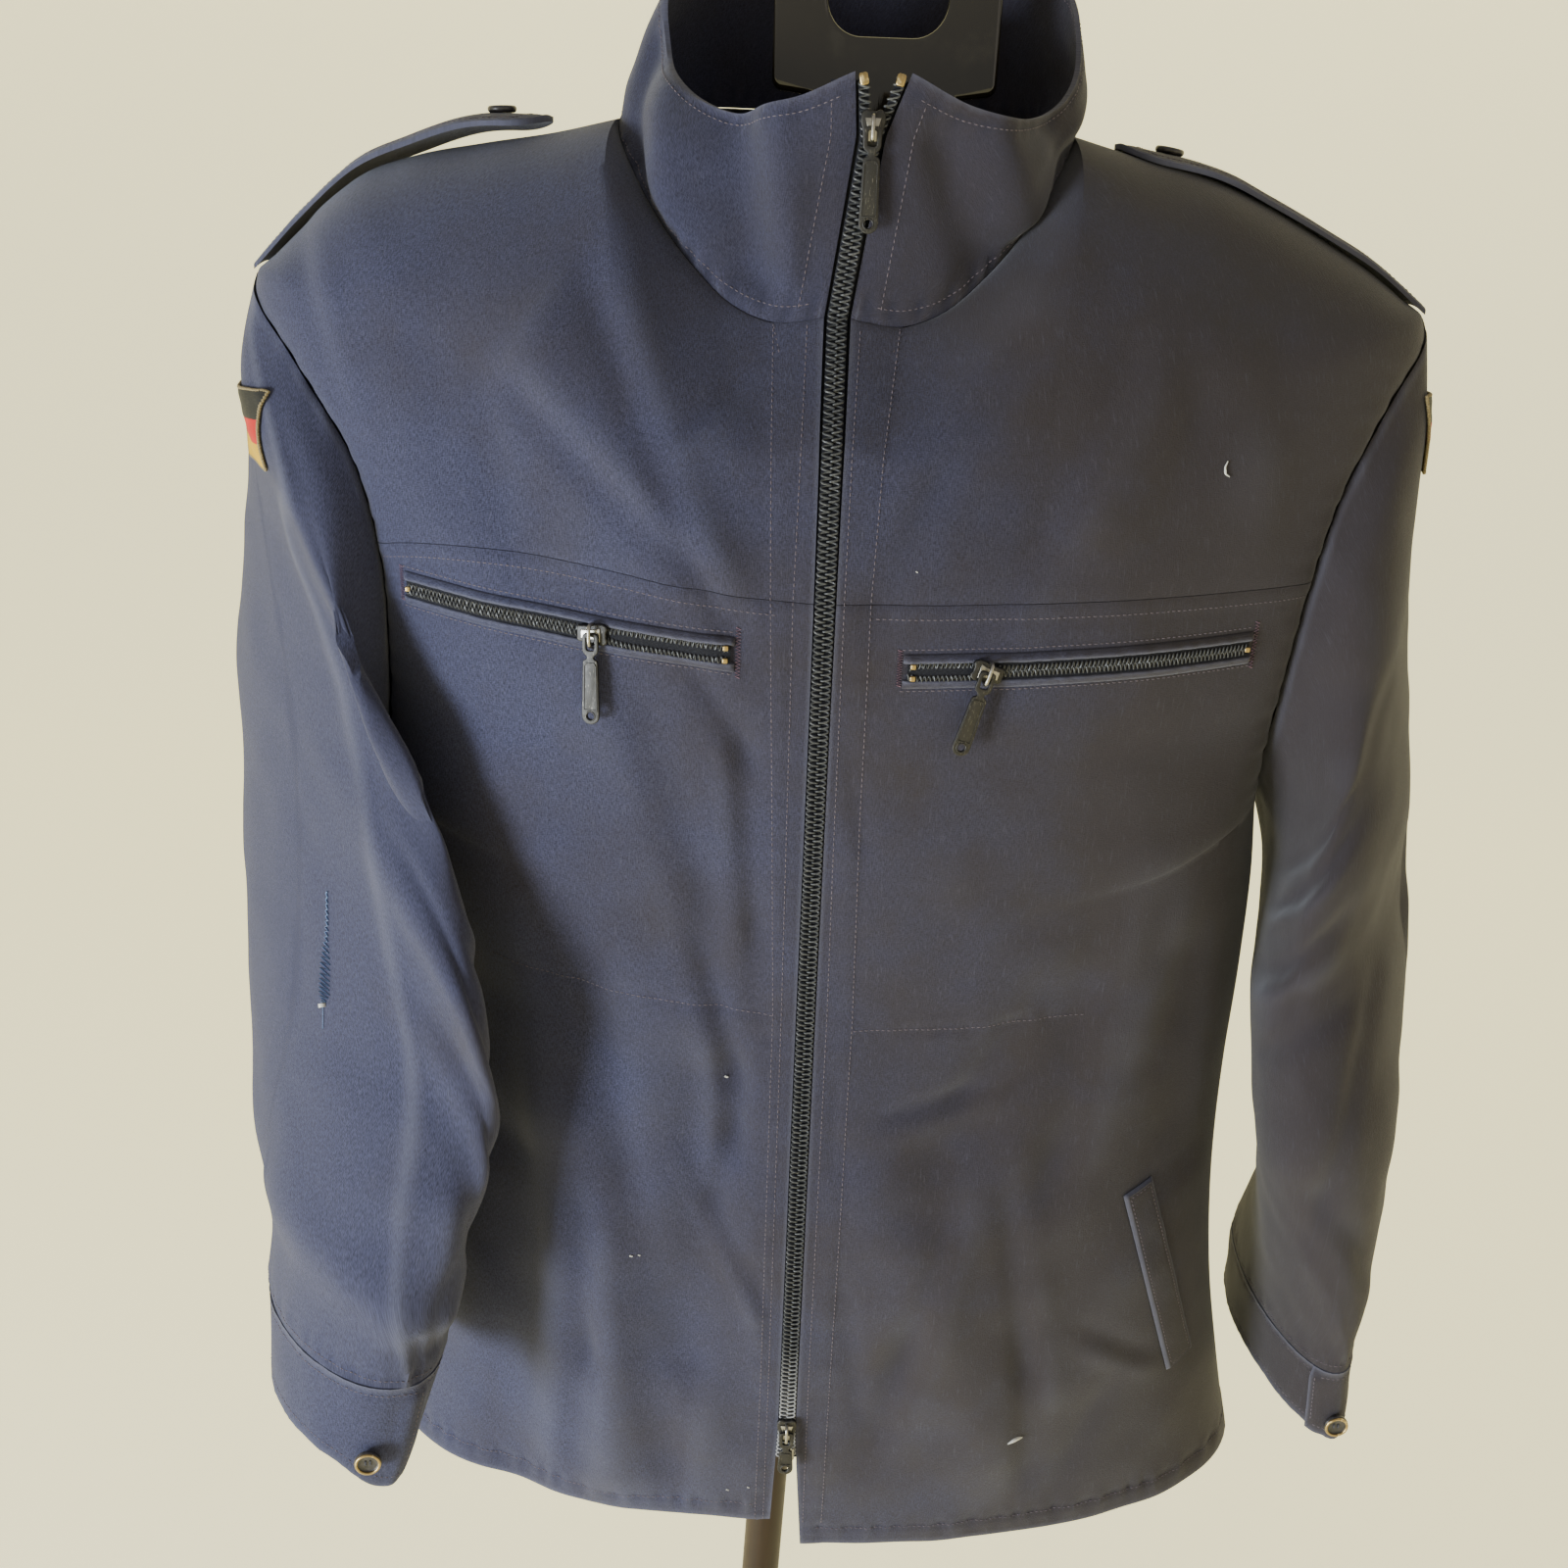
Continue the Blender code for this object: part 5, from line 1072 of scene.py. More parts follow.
SLEEVE_ANGLES = np.linspace(0, 360, 133)[:-1]
SLEEVE_ROWS = np.linspace(0, 9, 150)
CUFF_SLIT = {-1: 118, 1: 112}    # where each cuff's end laps over its beginning
CUFF_START = {-1: 2.5, 1: 1.0}
CUFF_OUT = 0.0004
CUFF_LAP = {-1: 9.0, 1: 5.0}     # by that angle
for side in (-1, 1):
    angle, ring = np.meshgrid(SLEEVE_ANGLES, SLEEVE_ROWS)
    skin, lining = sleeve(side, angle, ring), sleeve(side, angle, ring, WALL)
    rise, wear = sleeve_relief(side, angle, ring)
    normal = skin - lining
    lift = normal / np.linalg.norm(normal, axis=-1, keepdims=True) * rise[..., None]
    name = f"sleeve_{side_name(side)}"
    SURFACES[name] = np.concatenate([skin + lift, (skin + lift)[:, :1]], axis=1)
    cloth = panel(name + "_cloth", skin + lift, lining + lift, TWILL, wear, ring=True)
    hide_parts(name)
    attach(cloth, "jacket")
    hung_sheet(SURFACES[name])

    slit = CUFF_SLIT[side]
    turns = np.linspace(slit + CUFF_START[side], slit + 360 + CUFF_LAP[side], 146)
    angle, ring = np.meshgrid(turns, np.linspace(9, 10, 22))
    skin, lining = sleeve(side, angle, ring, -CUFF_OUT), sleeve(side, angle, ring, WALL)
    normal = skin - lining
    normal = normal / np.linalg.norm(normal, axis=-1, keepdims=True)
    lapped = 0.0024 * (ease((angle - (slit + 360 - 12)) / 12) * ease((ring - 9) * 5))[..., None] * normal
    skin, lining = skin + lapped, lining + lapped
    edge = np.minimum(angle - angle.min(), angle.max() - angle) * 0.0013
    edge = np.minimum(np.minimum(ring - 9, 10 - ring) * 0.038, edge)
    girth = np.radians(angle) * 0.075
    rise = 0.0005 * crumple(girth, ring * 0.04, 0.016, 23 + side) + seam_groove(edge - 0.004, girth, 0.0003, 0.0002)
    skin[0, :, 2] -= SEAM
    lining[0, :, 2] -= SEAM
    lift = normal * rise[..., None]
    name = f"cuff_{side_name(side)}"
    SURFACES[name] = skin + lift
    band_cloth = panel(name + "_cloth", skin + lift, lining + lift, TWILL, np.exp(-edge / 0.002) * 0.8)
    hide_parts(name)
    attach(band_cloth, "jacket")
    hung_sheet(SURFACES[name])

# ==== Collar ==========================================================================
# A stand collar of two layers of the twill, turned out along its top edge and stitched
# round, held up by the zip and sagging into soft folds beside it.
COLLAR_WALL = 0.0022
COLLAR_LEAN = 0.0095        # its top leans to the right
FRONT_LEAN = 1.45           # and its front leans this many times as far
# The collar's top edge, from the centre front at 0 degrees to the centre back at 180
COLLAR = columns(
    "angle height half   deep   bulge",
    (0,    1.409, 0.092, 0.090, 0.000),
    (20,   1.398, 0.092, 0.091, 0.001),
    (40,   1.395, 0.093, 0.090, 0.004),
    (55,   1.401, 0.094, 0.086, 0.006),
    (70,   1.415, 0.094, 0.082, 0.006),
    (90,   1.444, 0.092, 0.078, 0.003),
    (120,  1.466, 0.088, 0.073, 0.001),
    (150,  1.476, 0.086, 0.070, 0.001),
    (180,  1.480, 0.086, 0.069, 0.001),
)


def collar(side, angle, height, inset=0.0):
    """A point of the collar: angle 0 at the centre front, 180 at the centre back; height 0 at
    the neck seam and 1 at the top edge."""
    angle, height = np.broadcast_arrays(np.asarray(angle, float), np.asarray(height, float))
    turn = np.radians(angle)
    seam_z = read(NECKLINE, "height", angle) + SEAM
    top_z = read(COLLAR, "height", angle)
    z = seam_z + (top_z - seam_z) * height
    bulge = read(COLLAR, "bulge", angle) * np.sin(pi * height)
    half = NECK_HALF + (read(COLLAR, "half", angle) - NECK_HALF) * height + bulge - inset
    seam_deep = np.where(angle <= 90, NECK_FRONT, NECK_BACK)
    deep = seam_deep + (read(COLLAR, "deep", angle) - seam_deep) * height + bulge - inset
    gap = np.where(angle < 90, ramp(GAP, side_name(side), z), 0.0)
    x = gap * (1 - np.sin(turn)) + half * np.sin(turn)
    lean = COLLAR_LEAN * (1 + (FRONT_LEAN - 1) * np.cos(turn)) * height
    return np.stack([side * x + lean, -deep * np.cos(turn), z], -1)

# Soft folds of the collar: side, angle and height from one end to the other
COLLAR_FOLDS = columns(
    "side angle0 rise0 angle1 rise1 width  depth",
    (-1,  38,    0.95, 20,    0.15, 0.13,  -0.0042),
    (-1,  24,    0.95, 10,    0.20, 0.10,   0.0030),
    (-1,  60,    0.90, 42,    0.10, 0.14,   0.0036),
    (-1,  78,    0.85, 62,    0.10, 0.12,  -0.0032),
    (1,   16,    0.80, 34,    0.10, 0.11,  -0.0030),
    (1,   30,    0.95, 46,    0.20, 0.12,   0.0032),
    (1,   52,    0.90, 66,    0.15, 0.12,  -0.0030),
)
FOLD_SHARE = 60.0           # degrees that count as much as the collar's height


def collar_relief(side, angle, height):
    """How far the collar's cloth stands out, in metres, and how worn it is, with painted shade over all of it and in
    its seam grooves, and painted highlights on its puckers.
    """
    folds = dict(COLLAR_FOLDS)
    for name in ("angle0", "angle1"):
        folds[name] = folds[name] / FOLD_SHARE
    rise = stand_out(folds, folds["side"] == side, angle / FOLD_SHARE, height, ("angle0", "rise0", "angle1", "rise1"))
    rise = rise * ease(height * 5) * ease((angle - 4) / 8)
    along = np.radians(angle) * 0.095
    up = height * 0.085
    rise = rise + 0.0007 * crumple(along, up, 0.020, 31 + side)
    fine = seam_groove(up - 0.006, along, 0.0003, 0.0005) + 0.0004 * puckers(along, up, 0.0130, 0.0060)
    fine = fine + seam_groove(0.085 - up - 0.006, along, 0.0004, 0.0002)
    # Painted light: fine / 0.0010 lights the puckers and shades the seam grooves, and -0.40 darkens the whole collar
    # with painted shade; only its top edge is really rubbed
    wear = fine / 0.0010 - 0.40 + 0.9 * np.exp(-(((0.085 - up) / 0.0028) ** 2))
    return (1.5 * rise + fine) * ease(height * 14), np.clip(wear, -1, 1.5)


COLLAR_ANGLES = np.linspace(0, 180, 130)
COLLAR_ROWS = np.linspace(0, 1, 34)
grids = []
for side in (-1, 1):
    angle, height = np.meshgrid(COLLAR_ANGLES, COLLAR_ROWS)
    skin, lining = collar(side, angle, height), collar(side, angle, height, COLLAR_WALL)
    rise, wear = collar_relief(side, angle, height)
    lift = outward(skin, lining) * rise[..., None]
    grids.append((skin + lift, lining + lift, wear))
outer, inner, wear = (np.concatenate([left, right[:, -2::-1]], axis=1) for left, right in zip(*grids))
SURFACES["collar"] = outer
SURFACES["collar_inside"] = inner
collar_cloth = panel("collar_cloth", outer, inner, TWILL, wear)
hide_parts("collar")
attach(collar_cloth, "jacket")
hung_sheet(outer)

# ==== Shoulder straps and buttons =====================================================
# Two layers of the twill with a round end, sewn into the armhole seam and buttoned down
# beside the collar. The cuffs' buttons have a brass rim, and all are sewn on crosswise.
# The straps' height over the distance from the centre line
STRAP = columns(
    "across  left    right",
    (0.1240, 1.3920, 1.3900),
    (0.1400, 1.3925, 1.3870),
    (0.1700, 1.3910, 1.3808),
    (0.1950, 1.3830, 1.3700),
    (0.2200, 1.3720, 1.3580),
    (0.2450, 1.3510, 1.3445),
    (0.2680, 1.3275, 1.3275),
)
STRAP_START = {-1: 0.1335, 1: 0.1240}  # distance of each strap's round end from the centre line
STRAP_END = 0.268
STRAP_HALF = 0.0235
STRAP_WALL = 0.0022
STRAP_STITCH = 0.0042       # its stitching lies this far inside its edge
BUTTON_RADIUS = 0.0066
BUTTON_PROFILE = ((0, 0), (0.0058, 0), (0.0066, 0.0009), (0.0066, 0.0022), (0.0058, 0.0030),
                  (0.0046, 0.0021), (0.0020, 0.0019), (0, 0.0019))
CUFF_BUTTON = {-1: (96, 9.72), 1: (88, 9.72)}  # angle and ring of each cuff's button


def strap(side, along, beside, lift):
    """A point of a strap: along 0 at its round end to 1 at the sleeve; beside -1 to 1."""
    across = STRAP_START[side] + (STRAP_END - STRAP_START[side]) * along
    height = read(STRAP, side_name(side), across) + lift
    tip = np.sqrt(np.clip(1 - (1 - np.clip(along / 0.14, 0, 1)) ** 2, 0.02, 1))
    half = STRAP_HALF * (0.9 + 0.1 * along) * tip
    arch = 0.0035 * (beside * tip) ** 2
    return np.stack([side * across, half * beside, height - arch], -1)


def facing(point, outward, upward=(0, 0, 1)):
    """A frame on a surface: its Z points outward, its Y as near upward as it can."""
    z = Vector(outward).normalized()
    x = Vector(upward).cross(z).normalized()
    frame = Matrix((x, z.cross(x), z)).transposed().to_4x4()
    frame.translation = Vector(point)
    return JACKET_PLACE @ frame


def merged(parts):
    """One list of points and faces from several."""
    points, faces, count = [], [], 0
    for some, these in parts:
        points.append(np.asarray(some, float))
        faces.extend([[i + count for i in face] for face in these])
        count += len(some)
    return np.concatenate(points), faces


def tube(path, radius, sides=6, closed=False):
    """A round rod along a path, closed into a loop or with capped ends."""
    path = np.asarray(path, float)
    if closed:
        ahead, behind = np.roll(path, -1, 0), np.roll(path, 1, 0)
    else:
        ahead = np.concatenate([path[1:], path[-1:]])
        behind = np.concatenate([path[:1], path[:-1]])
    run = ahead - behind
    run /= np.linalg.norm(run, axis=-1, keepdims=True) + 1e-12
    side_on = np.cross(run[0], (0.31, 0.52, 0.79))
    normals = []
    for step in run:
        side_on = side_on - step * (side_on @ step)
        side_on = side_on / np.linalg.norm(side_on)
        normals.append(side_on)
    normals = np.array(normals)
    other = np.cross(run, normals)
    turn = np.arange(sides) * 2 * pi / sides
    wide = np.broadcast_to(np.asarray(radius, float), len(path))[:, None, None]
    ring = normals[:, None] * np.cos(turn)[None, :, None] + other[:, None] * np.sin(turn)[None, :, None]
    points = (path[:, None] + wide * ring).reshape(-1, 3)
    faces = []
    for i in range(len(path) if closed else len(path) - 1):
        a, b = i * sides, (i + 1) % len(path) * sides
        faces += [(a + k, a + (k + 1) % sides, b + (k + 1) % sides, b + k) for k in range(sides)]
    if not closed:
        faces += [tuple(range(sides))[::-1], tuple(range(len(points) - sides, len(points)))]
    return points, faces


def metal(name, dark, bare, roughness, share):
    """Plated zinc, dulled by handling and rubbed through to the bare metal in spots."""
    m = Nodes(name)
    place = m.add("TexCoord")["Object"]
    patch = m.add("TexNoise", {"Vector": place, "Scale": 260.0, "Detail": 5.0, "Roughness": 0.65})["Fac"]
    scratch_at = m.add("Mapping", {"Vector": place, "Rotation": (0.3, 0.5, 0.2), "Scale": (2600.0, 300.0, 500.0)})[0]
    scratch = m.add("TexNoise", {"Vector": scratch_at, "Scale": 1.0, "Detail": 2.0})["Fac"]
    tone = m.mix(m.ramp(patch, (1 - share, (0, 0, 0)), (1.06 - share, (1, 1, 1))), dark, bare)
    tone = m.mix(m.ramp(scratch, (0.62, (0, 0, 0)), (0.70, (0.5, 0.5, 0.5))), tone, bare)
    m.set(Base_Color=tone, Metallic=1.0, Roughness=m.sum(patch, 0.3, "MULTIPLY_ADD", roughness))
    m.set(Normal=m.bump(scratch, 0.25, 0.0001))
    return m.material


def button_plastic():
    """Dark casein-like plastic, mottled and dulled by washing."""
    m = Nodes("button_plastic")
    place = m.add("TexCoord")["Object"]
    cloud = m.add("TexNoise", {"Vector": place, "Scale": 420.0, "Detail": 4.0})["Fac"]
    m.set(Base_Color=m.ramp(cloud, (0.35, (0.012, 0.011, 0.013)), (0.75, (0.050, 0.044, 0.046))))
    m.set(Roughness=m.sum(cloud, 0.35, "MULTIPLY_ADD", 0.18), Normal=m.bump(cloud, 0.1, 0.0002))
    return m.material


def thread(name, colour, dark):
    """Spun sewing thread, with its twist."""
    m = Nodes(name)
    place = m.add("TexCoord")["Object"]
    ply_at = m.add("Mapping", {"Vector": place, "Rotation": (0.4, 0.6, 0.8), "Scale": (5200.0, 1500.0, 1500.0)})[0]
    ply = m.add("TexNoise", {"Vector": ply_at, "Scale": 1.0, "Detail": 1.0})["Fac"]
    m.set(Base_Color=m.ramp(ply, (0.35, dark), (0.65, colour)), Roughness=0.75, Sheen_Weight=0.1)
    m.set(Normal=m.bump(ply, 0.3, 0.0001))
    return m.material


GUNMETAL = metal("gunmetal", (0.045, 0.044, 0.044), (0.20, 0.187, 0.168), 0.36, 0.24)
NICKEL = metal("nickel", (0.30, 0.285, 0.26), (0.46, 0.38, 0.25), 0.18, 0.36)
BRASS = metal("brass", (0.33, 0.24, 0.11), (0.62, 0.50, 0.28), 0.20, 0.45)
BUTTON = button_plastic()
THREAD = thread("seam_thread", (0.125, 0.098, 0.122), (0.055, 0.044, 0.060))
BUTTON_THREAD = thread("button_thread", (0.050, 0.050, 0.070), (0.015, 0.015, 0.022))


def sewn_button(name, place, node, rimmed):
    """A dished button with four holes, shown as near-black discs of painted shade on its face, and its thread, and a
    brass rim where it has one.
    """
    face = rounded_profile(BUTTON_PROFILE, 0.0005, 4)
    button = turned(name, face, BUTTON, 56, place)
    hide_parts(node)
    hole_shades, threads = [], []
    for x in (-0.00115, 0.00115):
        for y in (-0.00115, 0.00115):
            # each hole is a short near-black disc on the button's face: painted shade, not a cut hole
            spot = [(x, y, 0.00185), (x, y, 0.00200)]
            hole_shades.append(tube(spot, (0.00062, 0.00062), 14))
        sag = [(x, y, 0.0021 + 0.0004 * (1 - (y / 0.0012) ** 2)) for y in np.linspace(-0.0012, 0.0012, 7)]
        threads += [tube(np.array(sag) + (shift, 0, 0), 0.00022, 6) for shift in (-0.0002, 0.0002)]
    pieces = [(button, "button")]
    groups = [("_holes", hole_shades, Nodes("hole_shade").material, "button"), ("_thread", threads, BUTTON_THREAD, "cloth")]
    if rimmed:
        turns = np.linspace(0, 2 * pi, 49)[:-1]
        ring = [(0.0056 * cos(t), 0.0056 * sin(t), 0.0029) for t in turns]
        groups.append(("_rim", [tube(ring, 0.00075, 10, True)], BRASS, "metal"))
    for ending, parts, material, slot in groups:
        points, faces = merged(parts)
        points = [place @ Vector(p) for p in points]
        pieces.append((mesh_object(name + ending, points, faces, material), slot))
        if ending == "_holes":
            material.node_tree.nodes["Principled BSDF"].inputs["Base Color"].default_value = (0.004, 0.004, 0.005, 1)
    for piece, slot in pieces:
        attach(piece, "jacket")


for side in (-1, 1):
    name = side_name(side)
    along = np.concatenate([0.14 * np.linspace(0, 1, 18) ** 1.7, np.linspace(0.14, 1, 64)[1:]])
    beside, along = np.meshgrid(np.linspace(-1, 1, 45), along)
    length = (STRAP_END - STRAP_START[side]) * along
    edge = np.minimum((1 - np.abs(beside)) * STRAP_HALF, length)
    swell = 0.0006 * ease(edge / 0.0016) + 0.0003 * crumple(length, beside * 0.02, 0.014, 41 + side)
    swell = swell + seam_groove(edge - STRAP_STITCH, length + beside * 0.02, 0.0003, 0.00012)
    above, below = strap(side, along, beside, swell), strap(side, along, beside, -STRAP_WALL)
    SURFACES["strap_" + name] = above
    rub = 0.9 * np.exp(-((edge / 0.0016) ** 2)) + 0.15 * crumple(length, beside * 0.02, 0.006, 5)
    cloth = panel(f"strap_{name}_cloth", above, below, TWILL, rub)
    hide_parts("strap_" + name)
    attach(cloth, "jacket")
    hung_sheet(above)
    seat = strap(side, np.array(0.17), np.array(0.0), 0.0008)
    uphill = strap(side, np.array(0.20), np.array(0.0), 0.0008) - seat
    up = (-side * uphill[2], 0, abs(uphill[0]))
    sewn_button(f"strap_button_{name}_disc", facing(seat, up, (0, 1, 0)), "strap_button_" + name, False)

    angle, ring = CUFF_BUTTON[side]
    seat = sleeve(side, angle, ring)
    beside, lower = sleeve(side, angle + 2, ring) - seat, sleeve(side, angle, ring + 0.05) - seat
    out = Vector(np.cross(beside, lower)).normalized()
    out = out if out.y < 0 else -out
    seat = Vector(seat) + out * (0.0014 if side > 0 else 0.0030)
    sewn_button(f"cuff_button_{name}_disc", facing(seat, out), "cuff_button_" + name, True)

# ==== Flag patches ====================================================================
# Woven patches in black, red and gold, one on each upper sleeve, with a thick merrowed
# border in olive-tan.
FLAG_RING = {-1: 1.38, 1: 1.27}      # how far down the sleeve each patch's middle is
FLAG_ANGLE = {-1: 21.0, 1: 12.0}     # and how far it is turned forward
FLAG_LEAN = {-1: 0.33, 1: 0.12}      # it hangs plumb, where the sleeve's cloth leans forward
SLEEVE_RADIUS = 0.080
ROW_LONG = 0.0034           # a step down the sleeve's grid there
FLAG_WIDE, FLAG_TALL = 0.050, 0.034
BORDER = 0.0008


def tree_of(points):
    """A grid's surface, for laying things on it."""
    index = np.arange(points.shape[0] * points.shape[1]).reshape(points.shape[:2])
    quads = np.stack([index[:-1, :-1], index[:-1, 1:], index[1:, 1:], index[1:, :-1]], -1).reshape(-1, 4)
    return BVHTree.FromPolygons(points.reshape(-1, 3).tolist(), quads.tolist())


def over_grid(name, rows, cols, inside=False):
    """Points and outward normals of a piece's cloth at these rows and columns of its grid."""
    grid = SURFACES[name]
    rows, cols = np.broadcast_arrays(np.asarray(rows, float), np.asarray(cols, float))
    down, along = np.gradient(grid, axis=0), np.gradient(grid, axis=1)
    normal = np.cross(down, along)
    normal /= np.linalg.norm(normal, axis=-1, keepdims=True) + 1e-12
    centre = grid.reshape(-1, 3).mean(0)
    flip = np.sign((normal * (grid - centre)).sum(-1).mean()) * (-1 if inside else 1)
    low_row = np.clip(np.floor(rows).astype(int), 0, grid.shape[0] - 2)
    low_col = np.clip(np.floor(cols).astype(int), 0, grid.shape[1] - 2)
    down_by, along_by = (rows - low_row)[..., None], (cols - low_col)[..., None]

    def between(values):
        upper = values[low_row, low_col] * (1 - along_by) + values[low_row, low_col + 1] * along_by
        lower = values[low_row + 1, low_col] * (1 - along_by) + values[low_row + 1, low_col + 1] * along_by
        return upper * (1 - down_by) + lower * down_by

    return between(grid), between(normal) * flip


def on_sleeve(side, beside, up, lift):
    """Points of a flag patch, measured from its middle along the sleeve's cloth. The patch
    hangs level on the slanting cloth, so its rows are found step by step.
    """
    name = "sleeve_" + side_name(side)
    rings, turns = SURFACES[name].shape[0] - 1, SURFACES[name].shape[1] - 1
    row = FLAG_RING[side] / 9 * rings
    middle = over_grid(name, row, FLAG_ANGLE[side] / 360 * turns)[0]
    cols = (FLAG_ANGLE[side] - np.degrees((beside - FLAG_LEAN[side] * up) / SLEEVE_RADIUS)) / 360 * turns % turns
    rows = row + 0 * cols
    for _ in range(10):
        points, normals = over_grid(name, rows, cols)
        rows = rows + (points[..., 2] - middle[2] - up) / ROW_LONG
    return points + normals * np.asarray(lift)[..., None]


def flag_weave():
    """Three satin-stitched stripes, black over red over gold."""
    m = Nodes("flag_stripes")
    lay = m.add("UVMap", uv_map="cloth")[0]
    up = m.add("SeparateXYZ", {"Vector": lay})[1]
    satin_at = m.add("Mapping", {"Vector": lay, "Scale": (260.0, 5200.0, 1.0)})[0]
    satin = m.add("TexNoise", {"Vector": satin_at, "Scale": 1.0, "Detail": 2.0})["Fac"]
    share = m.sum(m.sum(up, 1 / FLAG_TALL, "MULTIPLY"), m.sum(satin, 0.02, "MULTIPLY"))
    stripes = m.ramp(share, (0.0, (0.46, 0.27, 0.002)), (0.345, (0.40, 0.004, 0.010)), (0.675, (0.012, 0.013, 0.013)))
    stripes.node.color_ramp.interpolation = "CONSTANT"
    worn = m.mix(m.ramp(satin, (0.45, (0, 0, 0)), (0.75, (0.10, 0.10, 0.10))), stripes, (0.20, 0.16, 0.11))
    m.set(Base_Color=worn, Roughness=0.6, Specular_IOR_Level=0.25, Normal=m.bump(satin, 0.5, 0.0003))
    return m.material


SLEEVE_TREE = {side: tree_of(SURFACES["sleeve_" + side_name(side)]) for side in (-1, 1)}
STRIPES = flag_weave()
BORDER_THREAD = thread("border_thread", (0.26, 0.20, 0.09), (0.10, 0.075, 0.035))
for side in (-1, 1):
    name = side_name(side)
    beside, up = np.meshgrid(np.linspace(-0.5, 0.5, 61) * FLAG_WIDE, np.linspace(-0.5, 0.5, 43) * FLAG_TALL)
    ribs = 0.00010 * np.sin(2 * pi * up / 0.0009)
    face, root = (on_sleeve(side, beside, up, lift) for lift in (0.0020 + ribs, 0.0008))
    patch = panel(f"flag_{name}_patch", face, root, STRIPES, 0 * beside)
    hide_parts("flag_" + name)
    share = np.linspace(0, 1, 60, endpoint=False)
    corners = np.array([(-0.5, -0.5), (0.5, -0.5), (0.5, 0.5), (-0.5, 0.5), (-0.5, -0.5)]) * (FLAG_WIDE, FLAG_TALL)
    walked = np.concatenate([[0], np.cumsum(np.linalg.norm(np.diff(corners, axis=0), axis=-1))])
    at = share * walked[-1]
    rim_y, rim_z = (np.interp(at, walked, corners[:, i]) for i in (0, 1))
    rim = on_sleeve(side, rim_y, rim_z, 0.0014)
    fine = np.linspace(0, len(rim), 640, endpoint=False)
    looped = np.concatenate([rim, rim[:1]])
    path = np.stack([np.interp(fine, np.arange(len(looped)), looped[:, i]) for i in range(3)], -1)
    bumpy = BORDER * (1 + 0.16 * np.sin(fine * 2 * pi * 2.4))
    points, faces = tube(path, bumpy, 8, True)
    points = [JACKET_PLACE @ Vector(p) for p in points]
    border = mesh_object(f"flag_{name}_border", points, faces, BORDER_THREAD)
    for piece in (patch, border):
        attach(piece, "jacket")
    hung_sheet(face)

# ==== Welts of the hand pockets =======================================================
# A folded strip of the twill over each slanted pocket, stitched down at its ends and along
# its lower edge.
WELT_TOP = (0.1735, 0.8940)      # middle of the welt's upper end
WELT_FOOT = (0.2140, 0.7705)     # and of its lower end
WELT_WIDE = 0.0165
WELT_SHARE = {-1: 0.97, 1: 1.0}  # the left front is narrower at the hem
FRONT_TREES = {
    side: [tree_of(SURFACES[piece + side_name(side)]) for piece in ("front_", "yoke_")] for side in (-1, 1)
}


def ahead(x, z, lift=0.0):
    """Points and normals of the jacket's front at each x and height, lifted off the cloth."""
    x, z, lift = np.broadcast_arrays(x, z, lift)
    points, normals = [], []
    for one_x, one_z, one_lift in zip(x.flat, z.flat, lift.flat):
        trees = FRONT_TREES[-1 if one_x < 0 else 1]
        hit = None
        for tree in trees:
            hit, normal = tree.ray_cast(Vector((one_x, -1, one_z)), Vector((0, 1, 0)))[:2]
            if hit:
                break
        if not hit:
            near = [tree.find_nearest(Vector((one_x, -0.12, one_z))) for tree in trees]
            hit, normal = min(near, key=lambda found: found[3])[:2]
        normal = normal if normal.y < 0 else -normal
        points.append(hit + normal * one_lift)
        normals.append(normal)
    return np.array(points).reshape(*x.shape, 3), np.array(normals).reshape(*x.shape, 3)


for side in (-1, 1):
    name = side_name(side)
    top, foot = (Vector(end) for end in (WELT_TOP, WELT_FOOT))
    run = (foot - top).normalized()
    long = (foot - top).length
    beside, along = np.meshgrid(np.linspace(-0.5, 0.5, 31), np.linspace(0, 1, 120))
    x = (top.x + (foot.x - top.x) * along + WELT_WIDE * beside * -run.y) * WELT_SHARE[side]
    z = top.y + (foot.y - top.y) * along + WELT_WIDE * beside * run.x
    edge = np.minimum((0.5 - np.abs(beside)) * WELT_WIDE, np.minimum(along, 1 - along) * long)
    raised = 0.0012 + 0.0014 * ease(edge / 0.0014) + 0.0003 * crumple(along * long, beside * 0.02, 0.012, 51)
    raised = raised - 0.00035 * np.exp(-(((edge - 0.0024) / 0.0008) ** 2))
    outer, inner = ahead(side * x, z, raised)[0], ahead(side * x, z, 0.0006)[0]
    SURFACES["welt_" + name] = outer
    cloth = panel(f"welt_{name}_cloth", outer, inner, TWILL, 0.8 * np.exp(-((edge / 0.0014) ** 2)))
    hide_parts("welt_" + name)
    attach(cloth, "jacket")
    hung_sheet(outer)

# ==== Front zip =======================================================================
# A two-way spiral zip: woven tape, a nylon coil sewn along each edge, brass stops, and two
# die-cast sliders whose pulls swing on their bails. The coil is worn bare near the bottom.
# Inner edge of each half of the closed chain, parted below the lower slider and above the upper
CHAIN = columns(
    "height left    right",
    (0.738, 0.0010, 0.0014),
    (0.765, 0.0000, 0.0000),
    (1.384, 0.0000, 0.0000),
    (1.406, 0.0052, 0.0058),
)
ZIP_LOW, ZIP_HIGH = 0.738, 1.406
ZIP_PITCH = 0.0027
LOOP_MIDDLE, LOOP_REACH = 0.00185, 0.00205   # each loop's middle beside the centre line, half its width
LOOP_DEEP, LOOP_RADIUS = 0.00060, 0.00046
SLIDER_BACK = 0.0040        # from a slider's back to the axis of its pull

